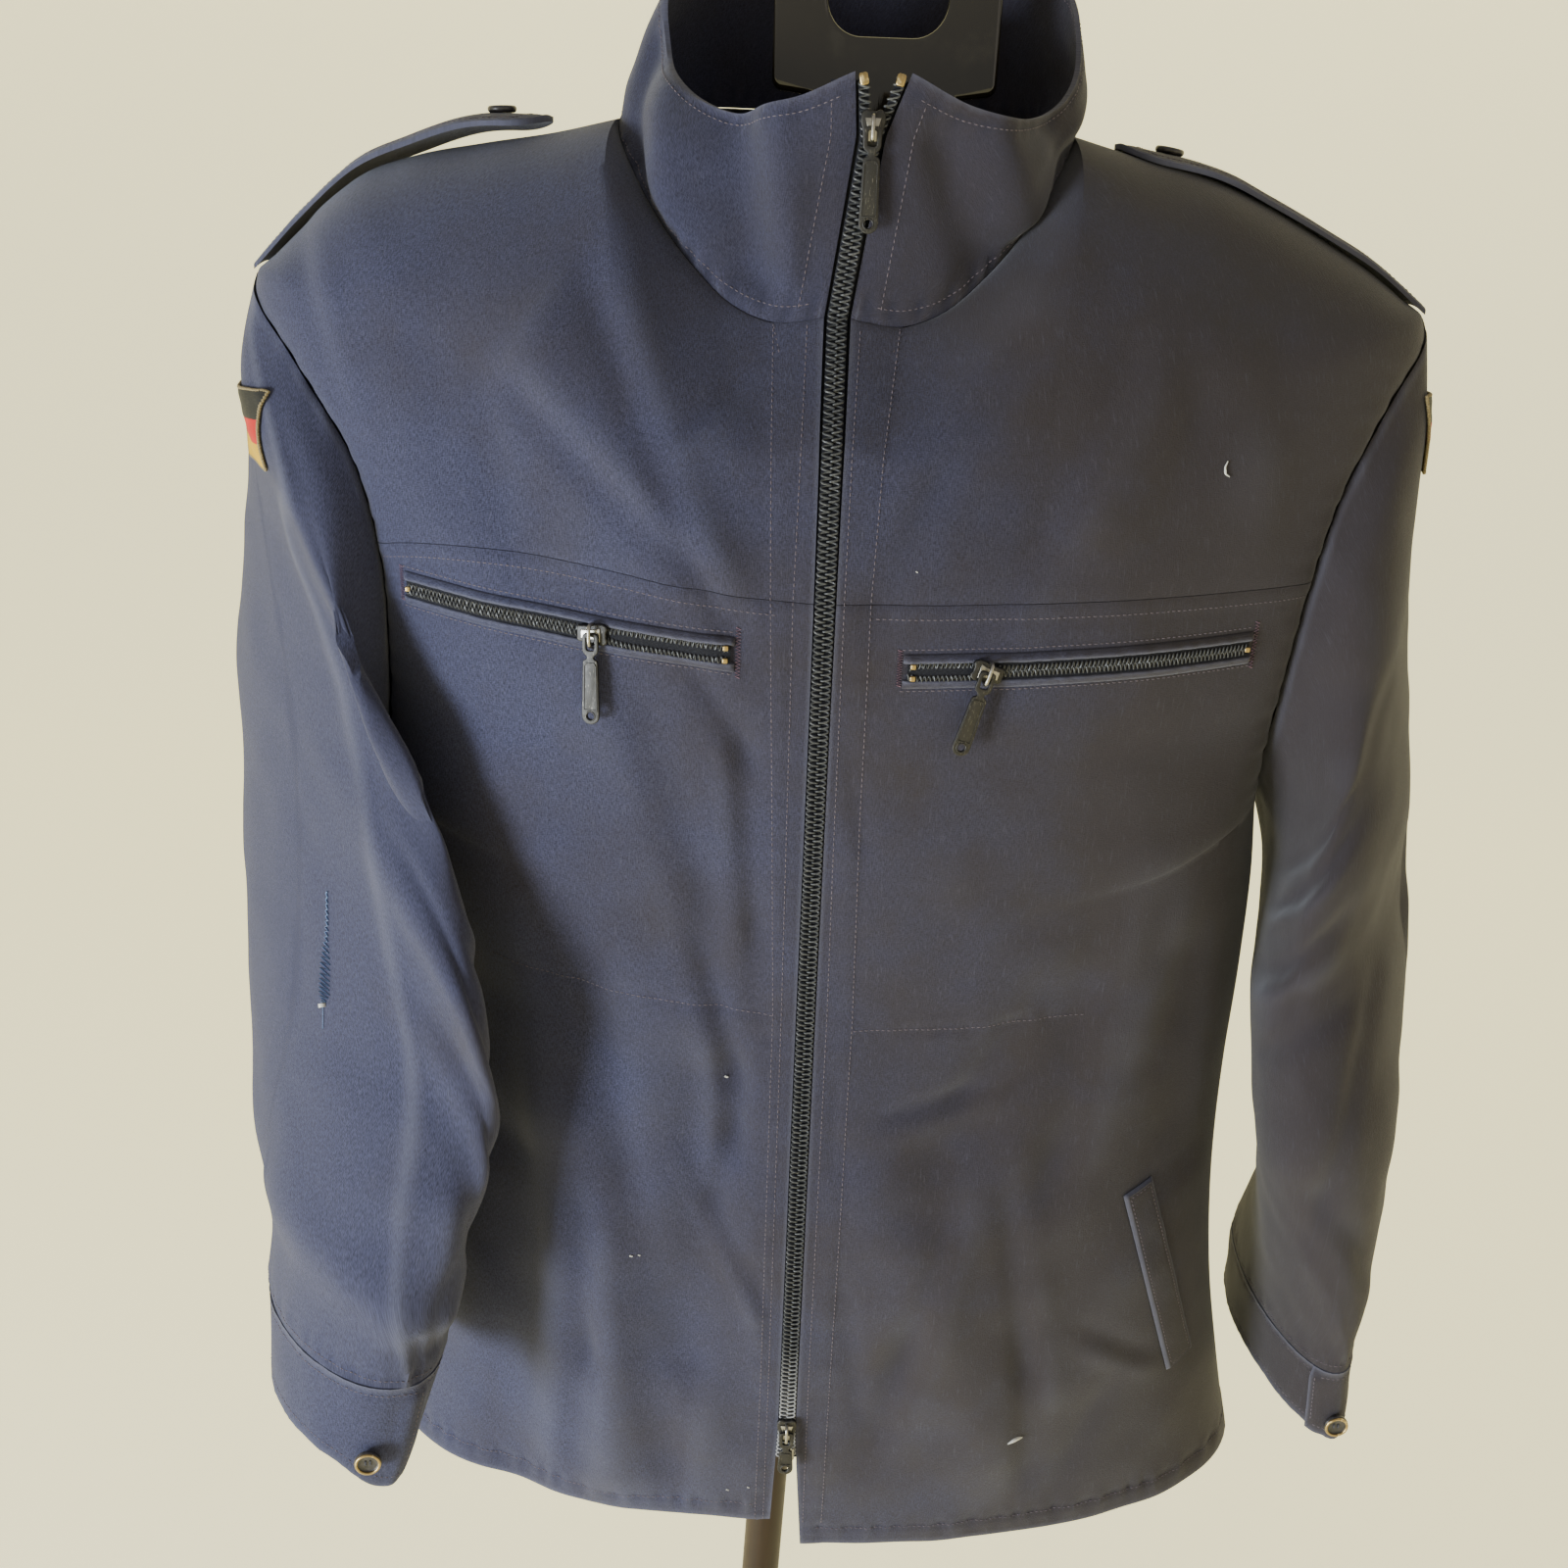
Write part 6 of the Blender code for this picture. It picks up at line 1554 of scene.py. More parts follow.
levels = np.linspace(0, 2, 240)
rise = np.linspace(0, 1, 60)[1:]
zip_line = np.concatenate([
    torso(1, -1, 0.0, levels) * (0, 1, 1),
    collar(1, 0.0, rise) * (0, 1, 1) + np.stack([COLLAR_LEAN * FRONT_LEAN * rise, 0 * rise, 0 * rise], -1),
])
zip_run = np.gradient(zip_line, axis=0)
zip_run /= np.linalg.norm(zip_run, axis=-1, keepdims=True)
zip_out = np.cross(zip_run, (1.0, 0, 0))
zip_out = -zip_out / np.linalg.norm(zip_out, axis=-1, keepdims=True)
zip_out = zip_out * -np.sign(zip_out[:, 1:2])


def on_zip(height, across, out):
    """A point beside the front zip's centre line, that far out of the cloth."""
    knots = zip_line[:, 2]
    middle = np.stack([np.interp(height, knots, zip_line[:, i]) for i in range(3)], -1)
    normal = np.stack([np.interp(height, knots, zip_out[:, i]) for i in range(3)], -1)
    return middle + np.asarray(across)[..., None] * (1.0, 0, 0) + np.asarray(out)[..., None] * normal


def coil_nylon():
    """Black monofilament with a soft shine, scuffed to bare grey at its lower end."""
    m = Nodes("coil_nylon")
    place = m.add("TexCoord")["Object"]
    height = m.add("SeparateXYZ", {"Vector": place})[2]
    scuff = m.add("TexNoise", {"Vector": place, "Scale": 900.0, "Detail": 3.0})["Fac"]
    low = m.ramp(height, (0.758, (1, 1, 1)), (0.815, (0, 0, 0)))
    bare = m.mix(m.ramp(scuff, (0.42, (0, 0, 0)), (0.70, (1, 1, 1))), (0.030, 0.032, 0.036), (0.070, 0.072, 0.078))
    bare = m.mix(low, bare, (0.30, 0.30, 0.31))
    m.set(Base_Color=bare, Roughness=m.sum(scuff, 0.3, "MULTIPLY_ADD", 0.30), Specular_IOR_Level=0.5)
    m.set(Normal=m.bump(scuff, 0.12, 0.0002))
    return m.material


def woven_tape():
    """Black polyester tape, woven in a herringbone."""
    m = Nodes("zip_tape")
    lay = m.add("UVMap", uv_map="cloth")[0]
    rib_at = m.add("Mapping", {"Vector": lay, "Scale": (3200.0, 900.0, 1.0)})[0]
    rib = m.add("TexNoise", {"Vector": rib_at, "Scale": 1.0, "Detail": 2.0})["Fac"]
    m.set(Base_Color=m.ramp(rib, (0.35, (0.005, 0.005, 0.008)), (0.70, (0.016, 0.017, 0.024))), Roughness=0.85)
    m.set(Normal=m.bump(rib, 0.5, 0.0003), Specular_IOR_Level=0.2)
    return m.material


COIL, TAPE = coil_nylon(), woven_tape()
for side in (-1, 1):
    name = side_name(side)
    steps = int((ZIP_HIGH - ZIP_LOW) / ZIP_PITCH) * 16
    phase = np.arange(steps) * 2 * pi / 16
    height = ZIP_LOW + 0.001 + (phase / (2 * pi) + (0.5 if side > 0 else 0)) * ZIP_PITCH
    height = height - 0.25 * ZIP_PITCH * np.sin(phase) * 0.5
    apart = np.interp(height, CHAIN["height"], CHAIN[name])
    across = side * (apart + LOOP_MIDDLE - LOOP_REACH * np.cos(phase))
    path = on_zip(height, across, 0.0007 + LOOP_DEEP * np.sin(phase))
    points, faces = tube(path, LOOP_RADIUS, 7)
    points = [JACKET_PLACE @ Vector(p) for p in points]
    coil = mesh_object(f"zip_coil_{name}", points, faces, COIL)
    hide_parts("zip_chain_" + name)
    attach(coil, "jacket")

    rows = np.linspace(ZIP_LOW, ZIP_HIGH, 260)
    apart = np.interp(rows, CHAIN["height"], CHAIN[name])
    strip = [(0.0002, -0.0004), (0.0010, -0.0003), (0.0036, -0.0001), (0.0043, -0.0003), (0.0046, -0.0022),
             (0.0070, -0.0030), (0.0150, -0.0032)]
    tape = []
    for thick in (0.0, 0.0009):
        tape.append(np.stack([on_zip(rows, side * (apart + at), 0 * rows + out - thick) for at, out in strip], 1))
    bend = (ease((rows - 1.23) / 0.08)[:, None] * np.array([at for at, out in strip]) ** 2 / 0.17)
    for grid in tape:
        grid[..., 1] += bend
    tape = [grid[:, ::side] for grid in tape]
    ribbon = panel(f"zip_tape_{name}_weave", tape[0], tape[1], TAPE, 0 * tape[0][..., 0])
    SURFACES["zip_tape_" + name] = tape[0]
    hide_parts("zip_tape_" + name)
    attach(ribbon, "jacket")
    hung_sheet(tape[0])


def cut_plate(name, loops, thick, rounding, material, place, segments=3, angle=35):
    """A flat piece in the XZ plane, cut to the first loop, with the others as holes through
    it and every edge rolled over.
    """
    made = bmesh.new()
    edges = []
    for loop in loops:
        verts = [made.verts.new((x, -thick / 2, z)) for x, z in loop]
        edges += [made.edges.new((a, b)) for a, b in zip(verts, verts[1:] + verts[:1])]
    filled = bmesh.ops.triangle_fill(made, edges=edges, use_beauty=True)
    faces = [f for f in filled["geom"] if isinstance(f, bmesh.types.BMFace)]
    grown = bmesh.ops.extrude_face_region(made, geom=faces)
    moved = [v for v in grown["geom"] if isinstance(v, bmesh.types.BMVert)]
    bmesh.ops.translate(made, verts=moved, vec=(0, thick, 0))
    bmesh.ops.recalc_face_normals(made, faces=made.faces)
    rims = [e for e in made.edges if len(e.link_faces) == 2 and e.calc_face_angle(0) > radians(50)
            and abs(e.verts[0].co.y - e.verts[1].co.y) < 1e-7]
    bmesh.ops.bevel(made, geom=rims, offset=rounding, segments=segments, profile=0.5, affect="EDGES")
    made.transform(place)
    mesh = bpy.data.meshes.new(name)
    made.to_mesh(mesh)
    mesh.shade_smooth()
    mesh.set_sharp_from_angle(angle=radians(angle))
    mesh.materials.append(material)
    plate = bpy.data.objects.new(name, mesh)
    bpy.context.collection.objects.link(plate)
    return plate


def mirrored(right):
    """A closed outline from its right half, listed upward."""
    return right + [(-x, z) for x, z in reversed(right)]


def joined(name, pieces):
    """Several objects as one, keeping their materials."""
    with bpy.context.temp_override(active_object=pieces[0], selected_editable_objects=pieces):
        bpy.ops.object.join()
    pieces[0].name = name
    return pieces[0]


def joint_frame(joint):
    """Where a pull's axis lies: X along it, Y into the cloth, Z up the slider."""
    spot = next(one for one in frame["joints"] if one["name"] == joint + "_swing")
    x = -Vector(spot["axis"])
    y = (JACKET_PLACE.to_3x3() @ Vector((0, 0, 1))).cross(x).normalized()
    made = Matrix((x, y, x.cross(y))).transposed().to_4x4()
    made.translation = Vector(spot["pos_m"])
    return made


def shifted(x=0.0, y=0.0, z=0.0):
    return Matrix.Translation((x, y, z))


def slider(ending, turned_by):
    """A slider: a waisted body with rolled flanges, a bridge down its middle and an arched bail."""
    seat = joint_frame("pull_" + ending) @ shifted(y=SLIDER_BACK)
    flat = seat @ Matrix.Rotation(turned_by, 4, "Y")
    half, long = (0.0050, 0.0072) if turned_by == 0 else (0.0047, 0.0070)
    right = [(0.55 * half, -long), (0.76 * half, -0.90 * long), (0.80 * half, -0.2 * long), (half, 0.35 * long)]
    right += [(half, 0.70 * long), (0.82 * half, 0.93 * long), (0.5 * half, long), (0.25 * half, 0.9 * long)]
    body = cut_plate("body", [mirrored(right)], 0.0024, 0.0006, GUNMETAL, flat @ shifted(y=-0.0012))
    cap = mirrored([(0.40 * half, -0.7 * long), (0.46 * half, 0.1 * long), (0.66 * half, 0.55 * long)])
    lid = cut_plate("lid", [cap], 0.0008, 0.0003, NICKEL, flat @ shifted(y=-0.0026))
    arch = [(0, -0.0020, -0.0046), (0, -0.0045, -0.0047), (0, -0.0057, -0.0041), (0, -0.0062, -0.0028)]
    arch += [(0, -0.0063, 0.0), (0, -0.0062, 0.0028), (0, -0.0057, 0.0041), (0, -0.0045, 0.0047), (0, -0.0020, 0.0046)]
    arch = np.array(arch)
    fine = np.linspace(0, len(arch) - 1, 33)
    arch = np.stack([np.interp(fine, np.arange(len(arch)), arch[:, i]) for i in range(3)], -1)
    points, faces = tube(arch, 0.00082, 10)
    bail = mesh_object("bail", [seat @ Vector(p) for p in points], faces, NICKEL)
    whole = joined(f"slider_{ending}_cast", [body, lid, bail])
    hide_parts("slider_" + ending)
    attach(whole, "jacket")


def pull(ending, long):
    """A flat pull: an eye, a narrow neck and a framed tab with a hole in its round end."""
    place = joint_frame("pull_" + ending)
    tab = -0.0105
    right = [(0.0022, 0.0008), (0.0033, 0.0003), (0.0036, -0.0010), (0.0036, -0.0070), (0.0030, -0.0082)]
    right += [(0.0018, -0.0091), (0.0015, -0.0098), (0.0018, tab), (0.0030, tab - 0.0006), (0.0034, tab - 0.0016)]
    end = [(0.0040 * cos(t), 0.0040 * sin(t) - long + 0.0040) for t in np.linspace(0, -pi, 15)]
    outline = right + end + [(-x, z) for x, z in reversed(right)]
    eye = mirrored([(0.0010, -0.0068), (0.0017, -0.0064), (0.0019, -0.0055), (0.0019, -0.0014), (0.0012, -0.0007)])
    ring = [(0.0016 * cos(t), 0.0016 * sin(t) - long + 0.0038) for t in np.linspace(0, 2 * pi, 19)[:-1]]
    plate = cut_plate("plate", [outline[::-1], eye, ring], 0.0014, 0.00032, GUNMETAL, place)
    foot = -long + 0.0068
    low, high = 0.0027, 0.0024
    well = [(low, foot), (high, tab - 0.0032), (high - 0.0008, tab - 0.0022)]
    lip = [(low + 0.0005, foot - 0.0004), (high + 0.0005, tab - 0.0030), (high - 0.0004, tab - 0.0015)]
    rims = [cut_plate("rim", [mirrored(lip), mirrored(well)], 0.0004, 0.0001, GUNMETAL, place @ shifted(y=step))
            for step in (-0.0008, 0.0008)]
    collar_at = [(0.0021 * cos(t), 0, 0.0021 * sin(t) - long + 0.0038) for t in np.linspace(0, 2 * pi, 25)[:-1]]
    for step in (-0.0006, 0.0006):
        points, faces = tube(np.array(collar_at) + (0, step, 0), 0.00035, 8, True)
        rims.append(mesh_object("rim", [place @ Vector(p) for p in points], faces, GUNMETAL))
    whole = joined(f"pull_{ending}_cast", [plate] + rims)
    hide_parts("pull_" + ending)
    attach(whole, "pull_" + ending)


for ending, turned_by, long in (("top", 0, 0.040), ("bottom", 0, 0.026),
                                ("pocket_left", pi / 2, 0.040), ("pocket_right", -pi / 2, 0.038)):
    slider(ending, turned_by)
    pull(ending, long)

stops = []
for side in (-1, 1):
    at = ZIP_HIGH + 0.0002
    apart = np.interp(at, CHAIN["height"], CHAIN[side_name(side)])
    outline = mirrored([(0.0012, -0.0024), (0.0018, -0.0018), (0.0018, 0.0018), (0.0012, 0.0024)])
    spot = JACKET_PLACE @ Matrix.Translation(on_zip(at, side * (apart + 0.0019), 0.0006))
    stops.append(cut_plate("stop", [outline], 0.0024, 0.0006, BRASS, spot @ Matrix.Rotation(side * 0.25, 4, "Y")))
pin_line = on_zip(np.linspace(0.7385, 0.7462, 6), np.full(6, 0.0034), np.full(6, 0.0014))
points, faces = tube(pin_line, 0.0011, 12)
stops.append(mesh_object("pin", [JACKET_PLACE @ Vector(p) for p in points], faces, NICKEL))
stops = joined("zip_stops", stops)
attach(stops, "jacket")

# ==== Chest pocket zips ===============================================================
# A finer coil zip in a slit of each front, between two folded lips of the twill. Each is
# drawn part of the way shut, so its coil lies parted beyond the slider.
# Each end of a pocket's zip: distance from the centre line and height
POCKETS = {-1: ((0.1880, 1.1895), (0.0395, 1.1765)), 1: ((0.0365, 1.1722), (0.1905, 1.1790))}
DRAWN = {-1: 0.60, 1: 0.22}      # where each slider stands
PARTED_UP_TO = {-1: 1.0, 1: 0.0}  # and which end of the zip is open
POCKET_PITCH = 0.0019
LIPS = ((0.0037, 0.0008), (0.0038, 0.0016), (0.0043, 0.0021), (0.0052, 0.0021), (0.0062, 0.0015), (0.0070, 0.0009),
        (0.0075, 0.0003))


def pocket_line(side, share, beside, lift):
    """Points along a pocket's zip; beside is measured up from its middle."""
    (x0, z0), (x1, z1) = POCKETS[side]
    x = side * (x0 + (x1 - x0) * share)
    return ahead(x, z0 + (z1 - z0) * share + beside, lift)[0]


for side in (-1, 1):
    name = side_name(side)
    long = np.hypot(*np.subtract(*POCKETS[side]))
    open_share = np.array([DRAWN[side], PARTED_UP_TO[side]])
    strands = []
    for row in (-1, 1):
        turns = int(long / POCKET_PITCH)
        phase = np.arange(turns * 12) * 2 * pi / 12
        share = (phase / (2 * pi) + (0.5 if row > 0 else 0)) / (turns + 1)
        beyond = (share - open_share[0]) / (open_share[1] - open_share[0])
        parted = 0.0019 * ease(np.clip(beyond, 0, 1) * 4) * (1 - ease((beyond - 0.86) / 0.16) * 0.6)
        beside = row * (parted + 0.00115 - 0.00130 * np.cos(phase))
        path = pocket_line(side, share, beside, 0.0017 + 0.00040 * np.sin(phase))
        strands.append(tube(path, 0.00032, 5))
    points, faces = merged(strands)
    coil = mesh_object(f"pocket_coil_{name}", [JACKET_PLACE @ Vector(p) for p in points], faces, COIL)
    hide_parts("pocket_zip_" + name)
    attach(coil, "jacket")

    share = np.linspace(0, 1, 90)[:, None]
    across = np.array([-0.0060, -0.0040, -0.0020, 0.0, 0.0020, 0.0040, 0.0060])[None, :]
    tape = [pocket_line(side, share + 0 * across, across + 0 * share, lift) for lift in (0.0013, 0.0006)]
    backing = panel(f"pocket_tape_{name}", tape[0], tape[1], TAPE, 0 * (share + across))
    SURFACES["pocket_tape_" + name] = tape[0]
    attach(backing, "jacket")
    hung_sheet(tape[0])

    for row in (-1, 1):
        share = np.linspace(-0.012, 1.012, 140)[:, None]
        at = np.array([a for a, lift in LIPS])[None, ::row]
        lift = np.array([lift for a, lift in LIPS])[None, ::row]
        wavy = 0.00025 * puckers(share * long, 0 * at, 0.0110, 1.0)
        slim = ease((0.5 - np.abs(share - 0.5) + 0.02) / 0.02)
        raised = lift * (1 + wavy / 0.0029) * slim + 0.0003
        outer = pocket_line(side, share + 0 * at, row * at + 0 * share, raised)
        inner = pocket_line(side, share + 0 * at, row * at + 0 * share, raised * 0.2)
        rub = 0.75 * np.exp(-(((at - 0.0044) / 0.0008) ** 2)) + 0 * share
        where = "upper" if row > 0 else "lower"
        lip = panel(f"pocket_lip_{name}_{where}", outer, inner, TWILL, rub)
        SURFACES[f"pocket_lip_{name}_{where}"] = outer
        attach(lip, "jacket")
    hung_sheet(SURFACES["front_" + name])

    stops = []
    end = PARTED_UP_TO[side]
    closed_end = 1 - end
    for share, beside in ((end + (0.5 - end) * 0.030, 0.0026), (end + (0.5 - end) * 0.030, -0.0026),
                          (closed_end + (0.5 - closed_end) * 0.016, 0.0)):
        spot = Vector(pocket_line(side, np.array(share), np.array(beside), 0.0021))
        outline = mirrored([(0.0009, -0.0012), (0.0012, -0.0008), (0.0012, 0.0008), (0.0009, 0.0012)])
        stops.append(cut_plate("stop", [outline], 0.0016, 0.0004, BRASS, JACKET_PLACE @ Matrix.Translation(spot)))
    stops = joined(f"pocket_stops_{name}", stops)
    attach(stops, "jacket")

# ==== Stitching =======================================================================
# Lockstitch in a faded mauve-grey thread, nearly four stitches to the centimetre, along
# every seam that is sewn down, with bar tacks at the ends of the pockets.
STITCH_PITCH = 0.0027
STITCH_LONG = 0.0018
STITCH_RADIUS = 0.00023


def stitched(lines, pitch=STITCH_PITCH, long=STITCH_LONG, radius=STITCH_RADIUS):
    """Points and faces of the stitches along lines, each a pair of points and normals."""
    starts, ends, outs = [], [], []
    for points, normals in lines:
        walked = np.concatenate([[0], np.cumsum(np.linalg.norm(np.diff(points, axis=0), axis=-1))])
        at = np.arange(pitch / 2, walked[-1] - pitch / 2, pitch)
        for store, offset in ((starts, -long / 2), (ends, long / 2)):
            store.append(np.stack([np.interp(at + offset, walked, points[:, i]) for i in range(3)], -1))
        outs.append(np.stack([np.interp(at, walked, normals[:, i]) for i in range(3)], -1))
    start, end, out = (np.concatenate(each) for each in (starts, ends, outs))
    out /= np.linalg.norm(out, axis=-1, keepdims=True)
    half = (end - start) / 2
    beside = np.cross(half, out)
    beside /= np.linalg.norm(beside, axis=-1, keepdims=True)
    turn = np.arange(5) * 2 * pi / 5
    count = len(start)
    rings = []
    for s, wide in ((-0.96, 0.35), (-0.45, 1.05), (0.45, 1.05), (0.96, 0.35)):
        middle = (start + end) / 2 + half * s + out * radius * (0.75 - 1.1 * s * s)
        ring = beside[:, None] * np.cos(turn)[None, :, None] + out[:, None] * np.sin(turn)[None, :, None]
        rings.append(middle[:, None] + ring * radius * wide)
    points = np.stack(rings, 1).reshape(-1, 3)
    index = np.arange(count * 20).reshape(count, 4, 5)
    turned_on = np.roll(index, -1, 2)
    quads = np.stack([index[:, :-1], turned_on[:, :-1], turned_on[:, 1:], index[:, 1:]], -1).reshape(-1, 4)
    caps = np.concatenate([index[:, 0, ::-1], index[:, -1]])
    return points, [list(q) for q in quads] + [list(c) for c in caps]


def over_front(x, z):
    """A line of stitching over the fronts, through points at each x and height."""
    knots = np.arange(len(x))
    fine = np.linspace(0, len(x) - 1, 40 * len(x) if len(x) < 8 else 4 * len(x))
    return ahead(np.interp(fine, knots, x), np.interp(fine, knots, z))


seams, trim = [], []
for side in (-1, 1):
    name = side_name(side)
    heights = np.linspace(0.690, 1.312, 150)
    for line in ("inner", "outer"):
        seams.append(over_front(side * ramp(PLACKET, f"{name}_{line}", heights), heights))
    across = np.linspace(0.07, 0.985, 60)
    chest = torso(side, -1, across, 1.5)
    seams.append(over_front(chest[:, 0], chest[:, 2] - CHEST_STITCH))
    x0, z0, x1, z1 = WAIST[side]
    seams.append(over_front(side * np.linspace(x0, x1, 60), np.linspace(z0, z1, 60)))
    hem = torso(side, -1, np.linspace(0.03, 0.99, 80), 0.0)
    seams.append(over_front(hem[:, 0], hem[:, 2] + HEM_STITCH))
    (x0, z0), (x1, z1) = POCKETS[side]
    for beside in (-0.0088, 0.0095):
        share = np.linspace(-0.02, 1.02, 40)
        seams.append(over_front(side * (x0 + (x1 - x0) * share), z0 + (z1 - z0) * share + beside))
    for rows, cols in ((np.linspace(3, 116, 60), 4.5), (np.linspace(3, 116, 60), 25.5), (2.6, np.linspace(5, 26, 20)),
                       (116.4, np.linspace(5, 26, 20))):
        points, normals = over_grid("welt_" + name, rows, cols)
        trim.append((points, np.where(normals[:, 1:2] < 0, normals, -normals)))
    rows = SURFACES["strap_" + name].shape[0] - 1
    for cols in (22 * (1 - 0.80), 22 * (1 + 0.80)):
        trim.append(over_grid("strap_" + name, np.linspace(14, rows - 1, 80), cols))
    turn = np.linspace(-1, 1, 24)
    trim.append(over_grid("strap_" + name, 11 + 3.5 * turn**4, 22 + 17.6 * turn))
    trim[-1] = (trim[-1][0], np.abs(trim[-1][1]) * (0, 0, 1) + (0, 0, 0.01))
    for rows, cols in ((2.4, np.linspace(3, 143, 150)), (18.6, np.linspace(3, 143, 150)),
                       (np.linspace(3, 18, 14), 2.6), (np.linspace(3, 18, 14), 143.2)):
        trim.append(over_grid("cuff_" + name, rows, cols))
    trim.append(over_grid("sleeve_" + name, 147.2, np.linspace(0, 132, 160)))

back_rows, back_cols = SURFACES["back"].shape[:2]
seams.append(over_grid("back", 3.6, np.linspace(2, back_cols - 3, 200)))
waist_row = np.argmin(np.abs(SURFACES["back"][:, back_cols // 2, 2] - 1.002))
seams.append(over_grid("back", waist_row, np.linspace(5, back_cols - 6, 200)))
last = SURFACES["collar"].shape[1] - 1
for rows, first in ((2.4, 3), (30.6, 3)):
    trim.append(over_grid("collar", rows, np.linspace(first, last - first, 260)))
trim.append(over_grid("collar_inside", 30.6, np.linspace(4, last - 4, 260), True))
for cols in (5.0, last - 5.0):
    trim.append(over_grid("collar", np.linspace(2, 31, 24), cols))
for name, lines in (("stitching_body", seams), ("stitching_trim", trim)):
    points, faces = stitched(lines)
    sewing = mesh_object(name, [JACKET_PLACE @ Vector(p) for p in points], faces, THREAD)
    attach(sewing, "jacket")

tacks = []
for side in (-1, 1):
    (x0, z0), (x1, z1) = POCKETS[side]
    for share, low, high in ((-0.022, -0.0065, 0.0095), (1.022, -0.0100, 0.0120)):
        height = np.linspace(low, high, 30)
        x = side * (x0 + (x1 - x0) * share) + 0 * height
        x = x + 0.0010 * (-1.0) ** np.arange(30)
        points, normals = ahead(x, z0 + (z1 - z0) * share + height, 0.0003)
        tacks.append(tube(points, 0.00024, 5))
points, faces = merged(tacks)
TACK_THREAD = thread("tack_thread", (0.24, 0.13, 0.19), (0.10, 0.055, 0.085))
bars = mesh_object("bar_tacks", [JACKET_PLACE @ Vector(p) for p in points], faces, TACK_THREAD)
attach(bars, "jacket")

# ==== Mended rip and lint =============================================================
# A short rip on the left sleeve, darned with a lighter blue thread, and the few bits of
# white lint that have caught on the cloth.
RIP_PATH = ((-0.092, 1.042), (-0.097, 1.028), (-0.099, 1.014), (-0.102, 1.000), (-0.105, 0.989))


def on_left_sleeve(y, z, lift, beside=0.0):
    """Points on the front of the left sleeve, and how far beside them along the cloth."""
    points = []
    for one_y, one_z, one_beside in zip(y, z, np.broadcast_to(beside, len(y))):
        hit, normal = SLEEVE_TREE[-1].find_nearest(Vector((-0.240, one_y - 0.004, one_z)))[:2]
        across = normal.cross(Vector((0, 0, 1))).normalized() * float(one_beside)
        hit, normal = SLEEVE_TREE[-1].find_nearest(hit + across)[:2]
        normal = normal if normal.x < 0 or normal.y < 0 else -normal
        points.append(hit + normal * lift)
    return np.array(points)


rip_y, rip_z = (np.array(column) for column in zip(*RIP_PATH))
fine = np.linspace(0, len(rip_y) - 1, 44)
knots = np.arange(len(rip_y))
sway = 0.0045 * (-1.0) ** np.arange(44) * np.interp(fine, [0, 1.6, 2.4, 3.6, 4], [0.1, 0.3, 0.9, 1.0, 0.4])
darn = on_left_sleeve(np.interp(fine, knots, rip_y), np.interp(fine, knots, rip_z), 0.0004, sway)
tail_z = np.linspace(0.989, 0.977, 12)
tail = on_left_sleeve(np.linspace(-0.105, -0.109, 12), tail_z, 0.0005)
points, faces = merged([tube(darn, 0.00042, 6), tube(tail, 0.00022, 5)])
DARNING = thread("darning_thread", (0.15, 0.25, 0.46), (0.05, 0.08, 0.18))
darned = mesh_object("darned_rip", [JACKET_PLACE @ Vector(p) for p in points], faces, DARNING)
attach(darned, "jacket")

LINT_CURL = ((0.1685, 1.2625), (0.1675, 1.2600), (0.1680, 1.2572), (0.1700, 1.2560))
LINT_DOTS = ((0.038, 1.215, 0.0004), (-0.037, 0.962, 0.0008), (-0.082, 0.861, 0.0007), (-0.078, 0.861, 0.0005),
             (-0.030, 0.713, 0.0006), (-0.019, 0.716, 0.0005))
bits = []
curl = np.array(LINT_CURL)
fine = np.linspace(0, 3, 14)
points = ahead(*(np.interp(fine, np.arange(4), curl[:, i]) for i in (0, 1)), 0.0006)[0]
bits.append(tube(points, np.interp(np.arange(14), [0, 7, 13], [0.0002, 0.0005, 0.0002]), 7))
for x, z, size in LINT_DOTS:
    spot = ahead(x + np.linspace(-1, 1, 5) * size, z + np.array([0, 0.5, 0, -0.5, 0]) * size, 0.0003)[0]
    bits.append(tube(spot, size * 0.55, 7))
fleck = ahead(0.121 + np.linspace(-0.0042, 0.0042, 9), 0.749 + 0.0012 * np.sin(np.linspace(0, 3, 9)), 0.0001)[0]
bits.append(tube(fleck, 0.0012 * np.sin(np.linspace(0.2, 2.9, 9)), 8))
darn_end = on_left_sleeve(np.array([-0.1045, -0.1060]), np.array([0.9885, 0.9870]), 0.0008)
bits.append(tube(darn_end, 0.0019, 8))
points, faces = merged(bits)
LINT = thread("lint", (0.62, 0.61, 0.58), (0.40, 0.40, 0.38))
lint = mesh_object("lint", [JACKET_PLACE @ Vector(p) for p in points], faces, LINT)
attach(lint, "jacket")

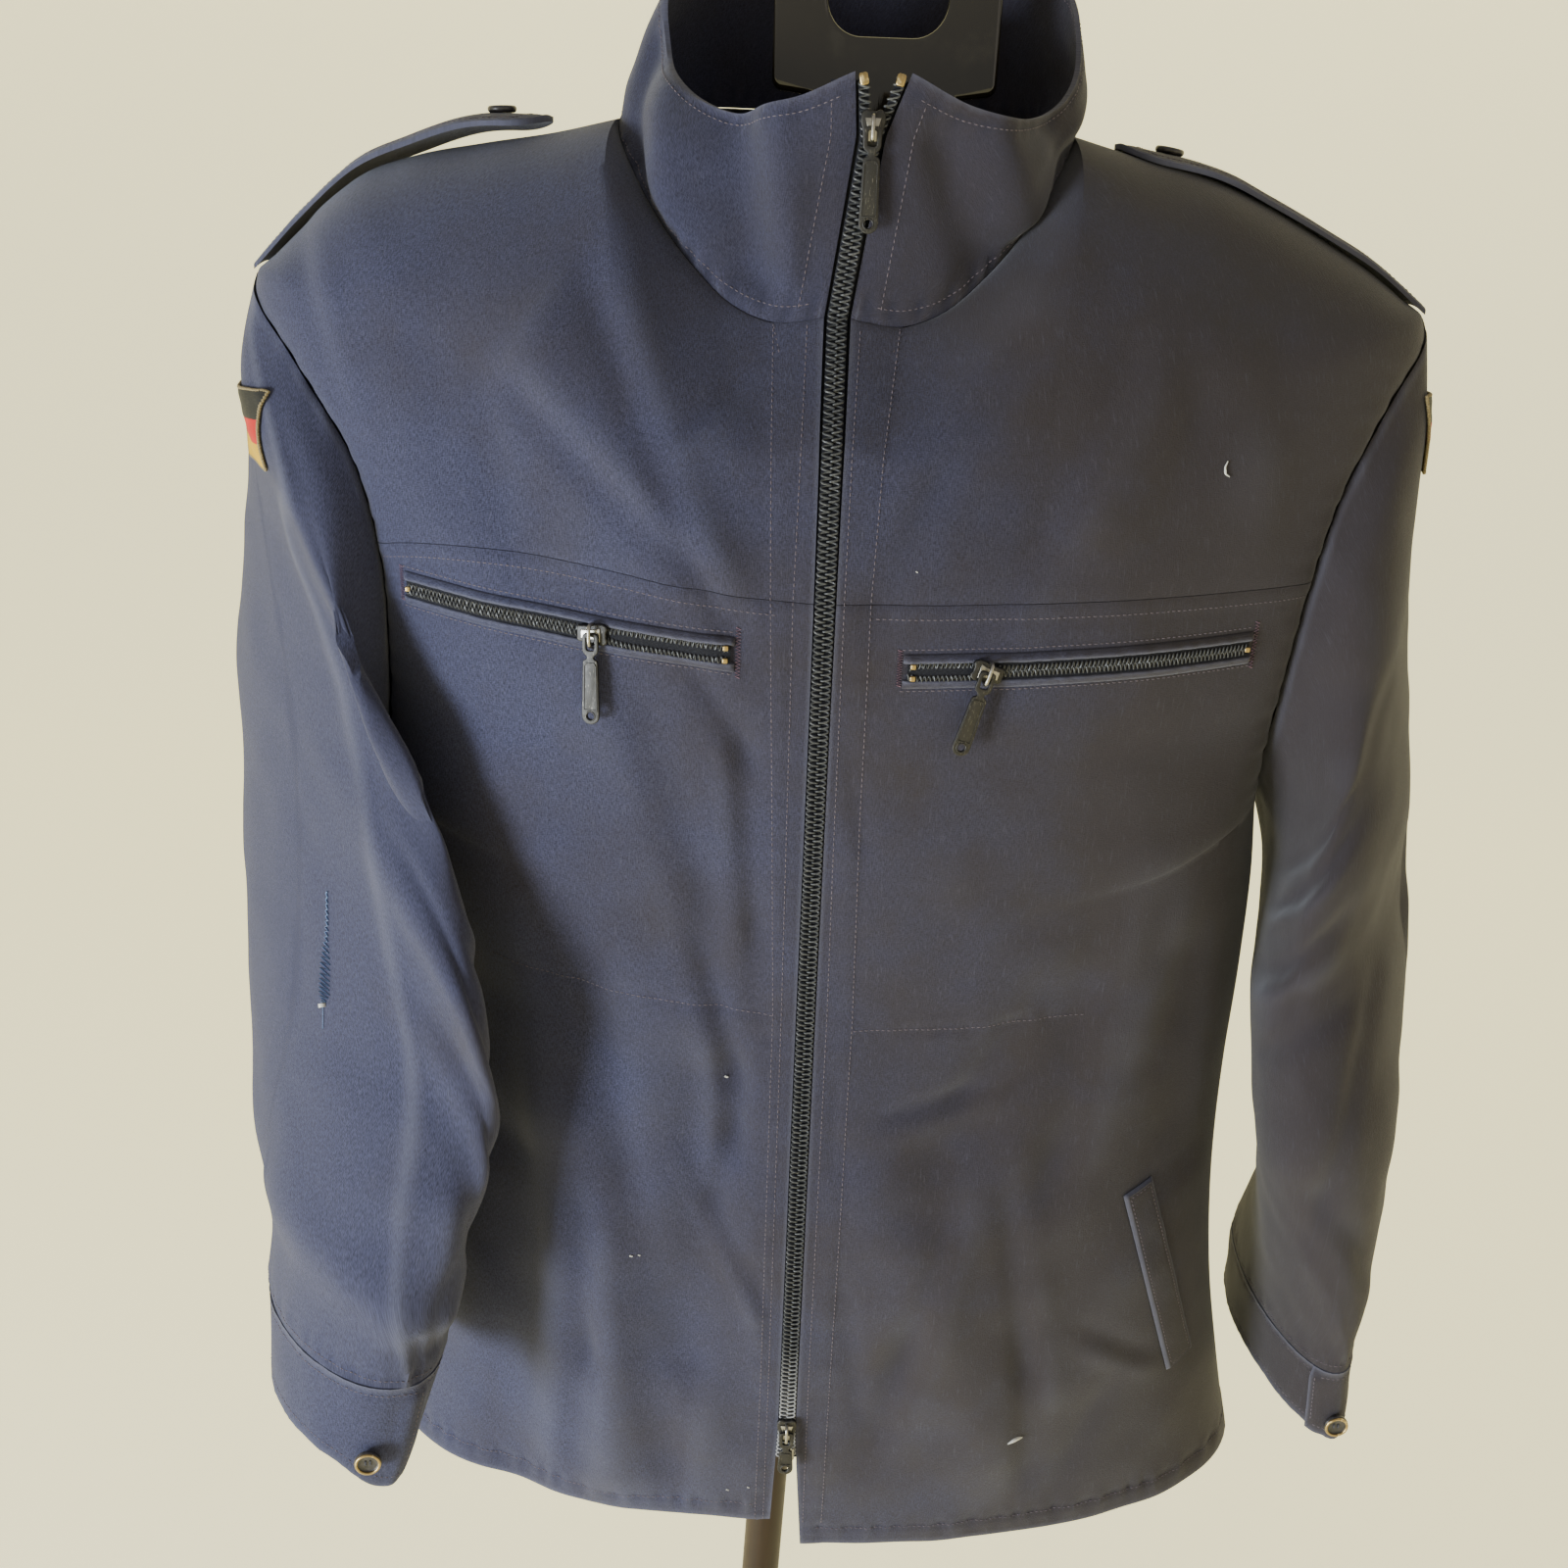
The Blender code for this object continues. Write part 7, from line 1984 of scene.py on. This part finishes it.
# ==== Floor and light =================================================================
# A plain cream floor that sweeps up into a wall behind, a broad soft window light low on
# the left, and a weak warm one from the right.
SWEEP = 2.2                 # radius of the bend between floor and wall
WALL_AT = 5.0               # how far behind the stand the wall is
sweep_line = [(-60.0, -0.0005), (WALL_AT - SWEEP, -0.0005)]
sweep_line += [(WALL_AT - SWEEP + SWEEP * sin(t), SWEEP - SWEEP * cos(t)) for t in np.linspace(0.05, pi / 2, 24)]
sweep_line.append((WALL_AT, 14.0))
floor_points = [(x, y, z) for y, z in sweep_line for x in (-60, 60)]
floor_faces = [(2 * i, 2 * i + 1, 2 * i + 3, 2 * i + 2) for i in range(len(sweep_line) - 1)]
floor_look = Nodes("pale_floor")
floor_place = floor_look.add("TexCoord")["Object"]
speck = floor_look.add("TexNoise", {"Vector": floor_place, "Scale": 30.0, "Detail": 6.0})["Fac"]
floor_tone = floor_look.ramp(speck, (0.3, (0.85, 0.80, 0.60)), (0.7, (0.87, 0.82, 0.62)))
floor_look.set(Base_Color=floor_tone, Roughness=0.8, Emission_Color=(1.0, 0.93, 0.52, 1.0), Emission_Strength=0.86)
floor = mesh_object("floor", floor_points, floor_faces, floor_look.material)


def soft_light(name, place, aim, size, power, colour):
    lamp = bpy.data.lights.new(name, "AREA")
    lamp.shape = "RECTANGLE"
    lamp.size, lamp.size_y = size
    lamp.energy = power
    lamp.color = colour
    made = bpy.data.objects.new(name, lamp)
    made.location = place
    made.rotation_euler = (Vector(aim) - Vector(place)).to_track_quat("-Z", "Y").to_euler()
    bpy.context.collection.objects.link(made)


soft_light("window", (-1.75, -1.60, 0.55), (0, 0, 0.85), (0.8, 0.9), 104.0, (0.84, 0.92, 1.0))
soft_light("fill", (1.7, -2.0, 1.6), (0, 0, 1.05), (1.6, 1.6), 4.0, (1.0, 0.86, 0.72))
world = bpy.data.worlds.new("room")
world.use_nodes = True
world.node_tree.nodes["Background"].inputs["Color"].default_value = (1.0, 0.965, 0.87, 1.0)
world.node_tree.nodes["Background"].inputs["Strength"].default_value = 0.58
bpy.context.scene.world = world
